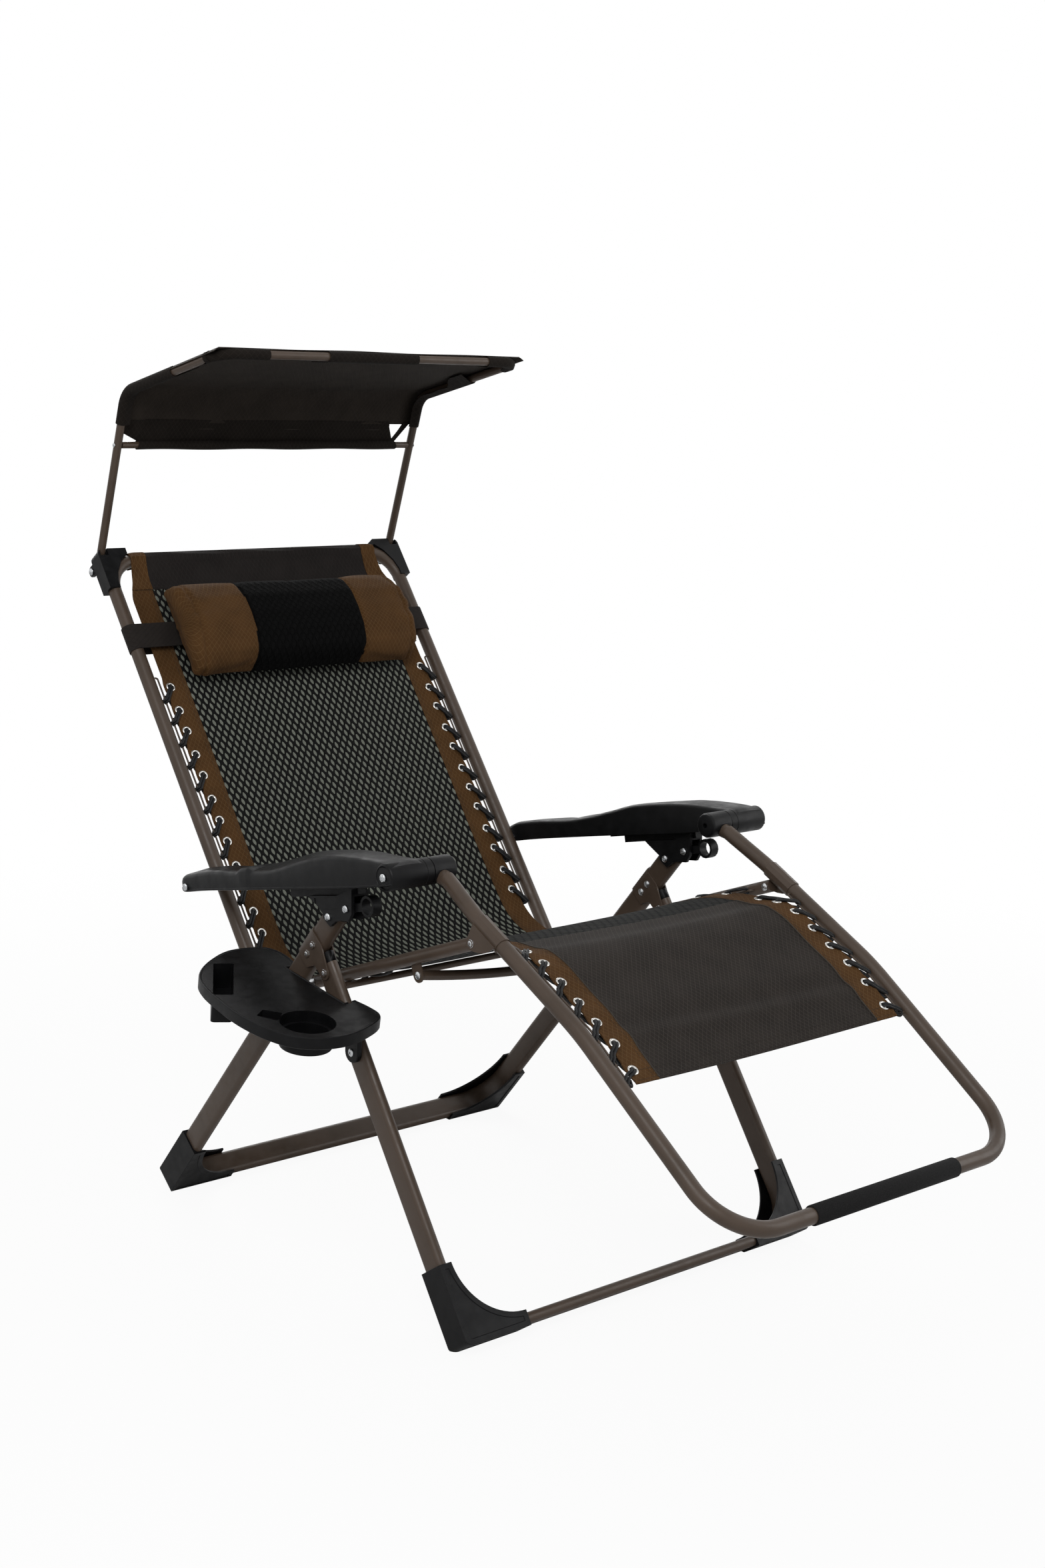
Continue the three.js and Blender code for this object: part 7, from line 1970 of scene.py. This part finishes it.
@dataclass
class CanopyCover:
    """The cloth of the canopy: top sheet, side sleeves, corner pockets, middle tab and rear flap."""

    bones: CanopyFrame = field(default_factory=CanopyFrame)
    thickness: float = 1.3
    gap: float = 8.6
    overhang: float = 9.4
    turn_down: float = 6.0
    sag: float = 3.6
    ripple: float = 0.8
    sleeve_up: float = 287.0
    sleeve_to: float = 167.0
    pocket_from: float = 283.0
    pocket_inner: float = 257.0
    pocket_inner_right: float = 233.0
    seam_up: float = 275.0
    tab: tuple[float, float] = (-107.0, 91.0)
    flap_half: tuple[float, float] = (279.0, 296.0)
    sleeve_turns: tuple[float, float] = (10.0, 200.0)
    pocket_turns: tuple[float, float] = (-25.0, 200.0)
    tab_turns: tuple[float, float] = (-35.0, 192.0)
    fold: tuple = ((292, -331), (292, -276), (266, -322), (253, -294))
    strip: tuple = ((292, 331), (292, 314), (252, 300), (252, 288))
    hem_rows: tuple[float, float] = (14.0, 20.0)
    hem_half: float = 320.0

    def spine(self, start: float, end: float) -> tuple[Array, Array]:
        """The line of the tube in the side plane between two places, and its outward direction."""
        strut, side = self.bones.strut, self.bones.side
        line = filleted([strut.at(start), side.at(0), side.at(end)], [self.bones.rear_bend], 14)
        dense = [line[0]]
        for a, b in zip(line, line[1:]):
            count = max(1, int(np.linalg.norm(b - a) / 8))
            dense += [a + (b - a) * k / count for k in range(1, count + 1)]
        line = np.array(dense)
        return line, -np.cross(ACROSS, directions(line))

    def top(self, shape: Shape) -> None:
        """Adds the top sheet, with a soft sag between the tubes and its edges turned over them."""
        line, out = self.spine(self.sleeve_up, self.bones.side_length + 4)
        x = np.linspace(-1, 1, 71) * (self.bones.half_width + self.overhang)
        reach = reaches(line)
        share = (reach / reach[-1])[:, None]
        width = 1 - np.clip(abs(x) / self.bones.half_width, 0, 1)[None, :] ** 2
        sag = self.sag * width * np.sin(np.pi * np.clip(share, 0, 1)) ** 0.7
        beyond = np.clip((abs(x) - self.bones.half_width) / self.overhang, 0, 1)[None, :]
        over = beyond**2 * self.turn_down
        ripple = self.ripple * np.sin(x / 47 + share * 9) * width
        lift = self.gap + self.thickness / 2 - sag - over + ripple
        place = line[:, None, :] + ACROSS * x[None, :, None] + out[:, None, :] * lift[..., None]
        normal = np.broadcast_to(out[:, None, :], place.shape)
        cloth = np.stack(np.broadcast_arrays(x[None, :], reach[:, None]), axis=-1)
        shape.sheet(place, normal, self.thickness, 0, cloth)

    def wrap(self, shape: Shape, line: Array, side: Array, out: Array, span: tuple[float, float],
             lip: Callable[[float], float], lean: Callable[[float], float]) -> None:
        """Adds cloth wrapped round a tube, with a loose lip.

        Args:
            shape: The shape that gets it.
            line: The middle of the tube.
            side: The direction away from the canopy's middle at each node.
            out: The outward direction at each node.
            span: The angles between which it is wrapped, from outward towards the side.
            lip: The width of the loose lip at a share of the line.
            lean: How far the lip's edge is drawn along the line, at a share of the line.
        """
        radius = self.gap + self.thickness / 2
        turns = np.radians(np.linspace(*span, 20))
        reach = reaches(line)
        ahead = directions(line)
        rows, normals, cloth = [], [], []
        for node, (point, away, up) in enumerate(zip(line, side, out)):
            share = reach[node] / reach[-1]
            row = [point + away * radius * math.sin(turn) + up * radius * math.cos(turn) for turn in turns]
            normal = [away * math.sin(turn) + up * math.cos(turn) for turn in turns]
            on = away * math.cos(turns[-1]) - up * math.sin(turns[-1])
            drawn, edge, front = lean(share), row[-1], normal[-1]
            for step in np.linspace(0.2, 1, 5):
                loose = 0.9 * step * math.sin(reach[node] / 8)
                row.append(edge + (on * lip(share) + ahead[node] * drawn) * step + front * loose)
                normal.append(front)
            rows.append(row)
            normals.append(normal)
            cloth.append([(radius * k / 6, reach[node]) for k in range(len(row))])
        # Mark 1 is the darker copy of the canopy cloth, painted shade on the wrapped cloth and its lip
        shape.sheet(np.array(rows), np.array(normals), self.thickness, 1, np.array(cloth))

    def edges(self, shape: Shape) -> None:
        """Adds the sleeves, the corner pockets and the middle tab."""
        side, length, x = self.bones.side, self.bones.side_length, self.bones.half_width
        for sign in SIDES.values():
            line, out = self.spine(self.sleeve_up, self.sleeve_to)
            line = line + ACROSS * x * sign
            away = np.broadcast_to(ACROSS * sign, line.shape)
            self.wrap(shape, line, away, out, self.sleeve_turns,
                      lambda u: 13 + 26 * smooth_share(u, 0.72, 0.9),
                      lambda u: 16 * smooth_share(u, 0.8, 1.0))
            inner = self.pocket_inner if sign > 0 else self.pocket_inner_right
            corner = filleted([side.at(self.pocket_from, 0, x * sign), side.at(length, 0, x * sign),
                               side.at(length, 0, inner * sign)], [self.bones.front_bend], 14)
            dense = rounded(corner, 9.0)
            up = np.broadcast_to(side.across_axis * -1, dense.shape)
            away = np.cross(directions(dense), up) * sign
            away *= np.sign((away @ (ACROSS * sign + side.along_axis)))[:, None]
            self.wrap(shape, dense, away, up, self.pocket_turns,
                      lambda u: 11 + 9 * smooth_share(u, 0.4, 0.8),
                      lambda u: 8 * smooth_share(u, 0.75, 1.0))
        tab = np.array([side.at(length, 0, u) for u in np.linspace(*self.tab, 26)])
        up = np.broadcast_to(side.across_axis * -1, tab.shape)
        away = np.broadcast_to(side.along_axis, tab.shape)
        self.wrap(shape, tab, away, up, self.tab_turns,
                  lambda u: 31 - 19 * abs(2 * u - 0.9) ** 2.2,
                  lambda u: -24 * (1 - smooth_share(u, 0.0, 0.16)))

    def corners(self, shape: Shape) -> None:
        """Adds the lining fold beside the flap on one side and the slanted strip on the other."""
        strut = self.bones.strut
        behind = -self.gap + 0.5
        for patch in (self.fold, self.strip):
            a, b, c, d = (strut.at(u, behind, x) for u, x in patch)
            u, v = np.meshgrid(np.linspace(0, 1, 9), np.linspace(0, 1, 9))
            u, v = u[..., None], v[..., None]
            face = (a * (1 - u) + b * u) * (1 - v) + (c * (1 - u) + d * u) * v
            normal = np.broadcast_to(-strut.across_axis, face.shape)
            face = face + normal * np.sin(u * 5) * np.sin(v * math.pi) * 1.5
            # Mark 1 is the darker copy of the canopy cloth, painted shade on these patches
            shape.sheet(face, normal, self.thickness, 1, face[..., [0, 2]])

    def flap(self, shape: Shape) -> None:
        """Adds the rear flap that hangs from the sheet and loops round the bar."""
        strut, bar, radius = self.bones.strut, self.bones.bar_up, self.bones.bar_radius + 1.4
        profile = [(self.sleeve_up + 6, -self.gap + 0.6), (self.sleeve_up - 6, -self.gap - 0.4),
                   (bar + 22, -radius - 0.8), (bar + 10, -radius - 0.3)]
        profile += [(bar + radius * math.sin(turn), -radius * math.cos(turn))
                    for turn in np.radians(np.linspace(0, -265, 22))]
        line = np.array([strut.at(u, v) for u, v in profile])
        front = np.cross(ACROSS, directions(line))
        high = np.array([u for u, _ in profile])
        half = np.interp(high, [bar, self.sleeve_up], self.flap_half[::-1])
        x = np.linspace(-1, 1, 61)[None, :] * half[:, None]
        place = line[:, None, :] + ACROSS * x[..., None]
        normal = np.broadcast_to(front[:, None, :], place.shape)
        place = place + normal * (0.7 * np.sin(x / 31))[..., None]
        cloth = np.stack(np.broadcast_arrays(x, high[:, None]), axis=-1)
        # Mark 1 is the darker copy of the canopy cloth, painted shade on the flap
        shape.sheet(place, normal, self.thickness, 1, cloth)

    def build(self) -> None:
        """Builds the cover and its stitching."""
        shape = Shape()
        self.top(shape)
        self.edges(shape)
        self.flap(shape)
        self.corners(shape)
        # The second finish is the canopy cloth darkened as painted shade, for everything with mark 1
        cover = shape.build("canopy_cloth", [CANOPY, CANOPY_PAINTED_SHADE], "canopy")
        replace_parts(cover, "canopy_cover")
        thread, side = Shape(), self.bones.side
        for inset in self.hem_rows:
            line = np.array([side.at(self.bones.side_length - inset, -self.gap - 1.6, u)
                             for u in np.linspace(-self.hem_half, self.hem_half, 90)])
            thread.stitches(line, np.broadcast_to(-side.across_axis, line.shape), 4.2, 0.45)
        strut, half = self.bones.strut, self.flap_half[0] + 4
        seam = np.array([strut.at(self.seam_up, -self.gap - 0.9, x) for x in np.linspace(-half, half, 40)])
        thread.tube(seam, circle(0.9, 8))
        stitches = thread.build("canopy_stitching", [THREAD], "canopy")


# Stage


@dataclass
class Studio:
    """Floor, lamps, pale surroundings and the camera."""

    camera_place: tuple[float, float, float] = (-2.321975, -2.730498, 1.520)
    yaw: float = 41.2685
    pitch: float = -11.2008
    roll: float = 2.0459
    focal_pixels: float = 3269.6
    picture_height: float = 2352.0
    sensor: float = 36.0
    target: tuple[float, float, float] = (0.05, 0.0, 0.7)
    lamps: tuple = (("key", (-2.6, -2.2, 3.4), 84, 2.2), ("fill", (3.2, -2.4, 2.2), 40, 2.6),
                    ("rim", (1.2, 3.2, 2.8), 52, 2.2))
    room_light: float = 0.34
    floor_half: float = 9.0
    floor_grey: float = 0.86
    floor_fade: tuple[float, float, float, float] = (1.3, 3.2, 0.93, 1.0)

    def camera(self) -> None:
        """Makes the camera at the photograph's place and angle."""
        yaw, pitch, roll = (math.radians(value) for value in (self.yaw, self.pitch, self.roll))
        ahead = Vector((math.sin(yaw) * math.cos(pitch), math.cos(yaw) * math.cos(pitch), math.sin(pitch)))
        right = ahead.cross(Vector((0, 0, 1))).normalized()
        up = right.cross(ahead)
        right, up = (right * math.cos(roll) + up * math.sin(roll),
                     up * math.cos(roll) - right * math.sin(roll))
        data = bpy.data.cameras.new("camera")
        data.sensor_width, data.lens = self.sensor, self.focal_pixels / self.picture_height * self.sensor
        made = bpy.data.objects.new("camera", data)
        bpy.context.scene.collection.objects.link(made)
        axes = Matrix((right, up, -ahead)).transposed()
        made.matrix_world = Matrix.Translation(self.camera_place) @ axes.to_4x4()
        bpy.context.scene.camera = made

    def lamp(self, name: str, place: tuple, power: float, size: float) -> None:
        """Makes a soft square lamp that looks at the chair."""
        data = bpy.data.lights.new(name, "AREA")
        data.energy, data.size = power, size
        made = bpy.data.objects.new(name, data)
        bpy.context.scene.collection.objects.link(made)
        made.location = place
        made.rotation_mode = "QUATERNION"
        made.rotation_quaternion = (Vector(self.target) - Vector(place)).to_track_quat("-Z", "Y")

    @staticmethod
    def seen_white(tree: bpy.types.NodeTree) -> Wire:
        """One for what the camera, a gloss or a glass looks at, and nought for what lights the object."""
        rays = tree.nodes.new("ShaderNodeLightPath")
        seen = Wire(tree, rays.outputs["Is Camera Ray"])
        for name in ("Is Glossy Ray", "Is Transmission Ray"):
            seen = seen.joined("MAXIMUM", Wire(tree, rays.outputs[name]))
        return seen

    def surroundings(self) -> None:
        """Makes the pale world and the floor."""
        world = bpy.data.worlds.new("pale_room")
        bpy.context.scene.world = world
        world.use_nodes = True
        tree = world.node_tree
        light = next(node for node in tree.nodes if node.type == "BACKGROUND")
        light.inputs[0].default_value = (1, 1, 1, 1)
        strength = self.seen_white(tree) * (1 - self.room_light) + self.room_light
        tree.links.new(strength.socket, light.inputs[1])
        mesh = bpy.data.meshes.new("floor")
        far = self.floor_half
        corners = [(-far, -far, 0), (far, -far, 0), (far, far, 0), (-far, far, 0)]
        mesh.from_pydata(corners, [], [(0, 1, 2, 3)])
        floor = bpy.data.objects.new("floor", mesh)
        bpy.context.scene.collection.objects.link(floor)
        sheet = Sheet("pale_floor")
        sheet.set(Base_Color=(*[self.floor_grey] * 3, 1), Roughness=0.9, Specular_IOR_Level=0.0)
        glow = sheet.tree.nodes.new("ShaderNodeEmission")
        mix = sheet.tree.nodes.new("ShaderNodeMixShader")
        output = next(node for node in sheet.tree.nodes if node.type == "OUTPUT_MATERIAL")
        rays = sheet.tree.nodes.new("ShaderNodeLightPath")
        distance = sheet.tree.nodes.new("ShaderNodeVectorMath")
        distance.operation = "LENGTH"
        sheet.tree.links.new(sheet.place(), distance.inputs[0])
        fading = Wire(sheet.tree, distance.outputs["Value"]).between(*self.floor_fade)
        share = fading.joined("MULTIPLY", Wire(sheet.tree, rays.outputs["Is Camera Ray"]))
        sheet.tree.links.new(share.socket, mix.inputs[0])
        sheet.tree.links.new(sheet.shader.outputs[0], mix.inputs[1])
        sheet.tree.links.new(glow.outputs[0], mix.inputs[2])
        sheet.tree.links.new(mix.outputs[0], output.inputs[0])
        mesh.materials.append(sheet.material)
        floor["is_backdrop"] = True

    def build(self) -> None:
        """Sets the stage."""
        self.camera()
        self.surroundings()
        for lamp in self.lamps:
            self.lamp(*lamp)
        bpy.context.scene.view_settings.view_transform = "Standard"


def main() -> None:
    """Builds the whole lounger round its frame."""
    logging.basicConfig(level=logging.INFO, format="%(message)s")
    Studio().build()
    dress_cad_nodes()
    for part in (LegFrames(), Shoes(), SeatFrame(), BackFrame(), Footrest(), ArmrestTops(), DrinkTray(),
                 CanopyFrame(), Fasteners(), Sling(), HeadPillow(), CanopyCover()):
        LOG.info("building %s", type(part).__name__)
        part.build()
    [[list(corner) for corner in box] for box in (CAD_BOX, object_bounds())]


if __name__ == "__main__":
    main()
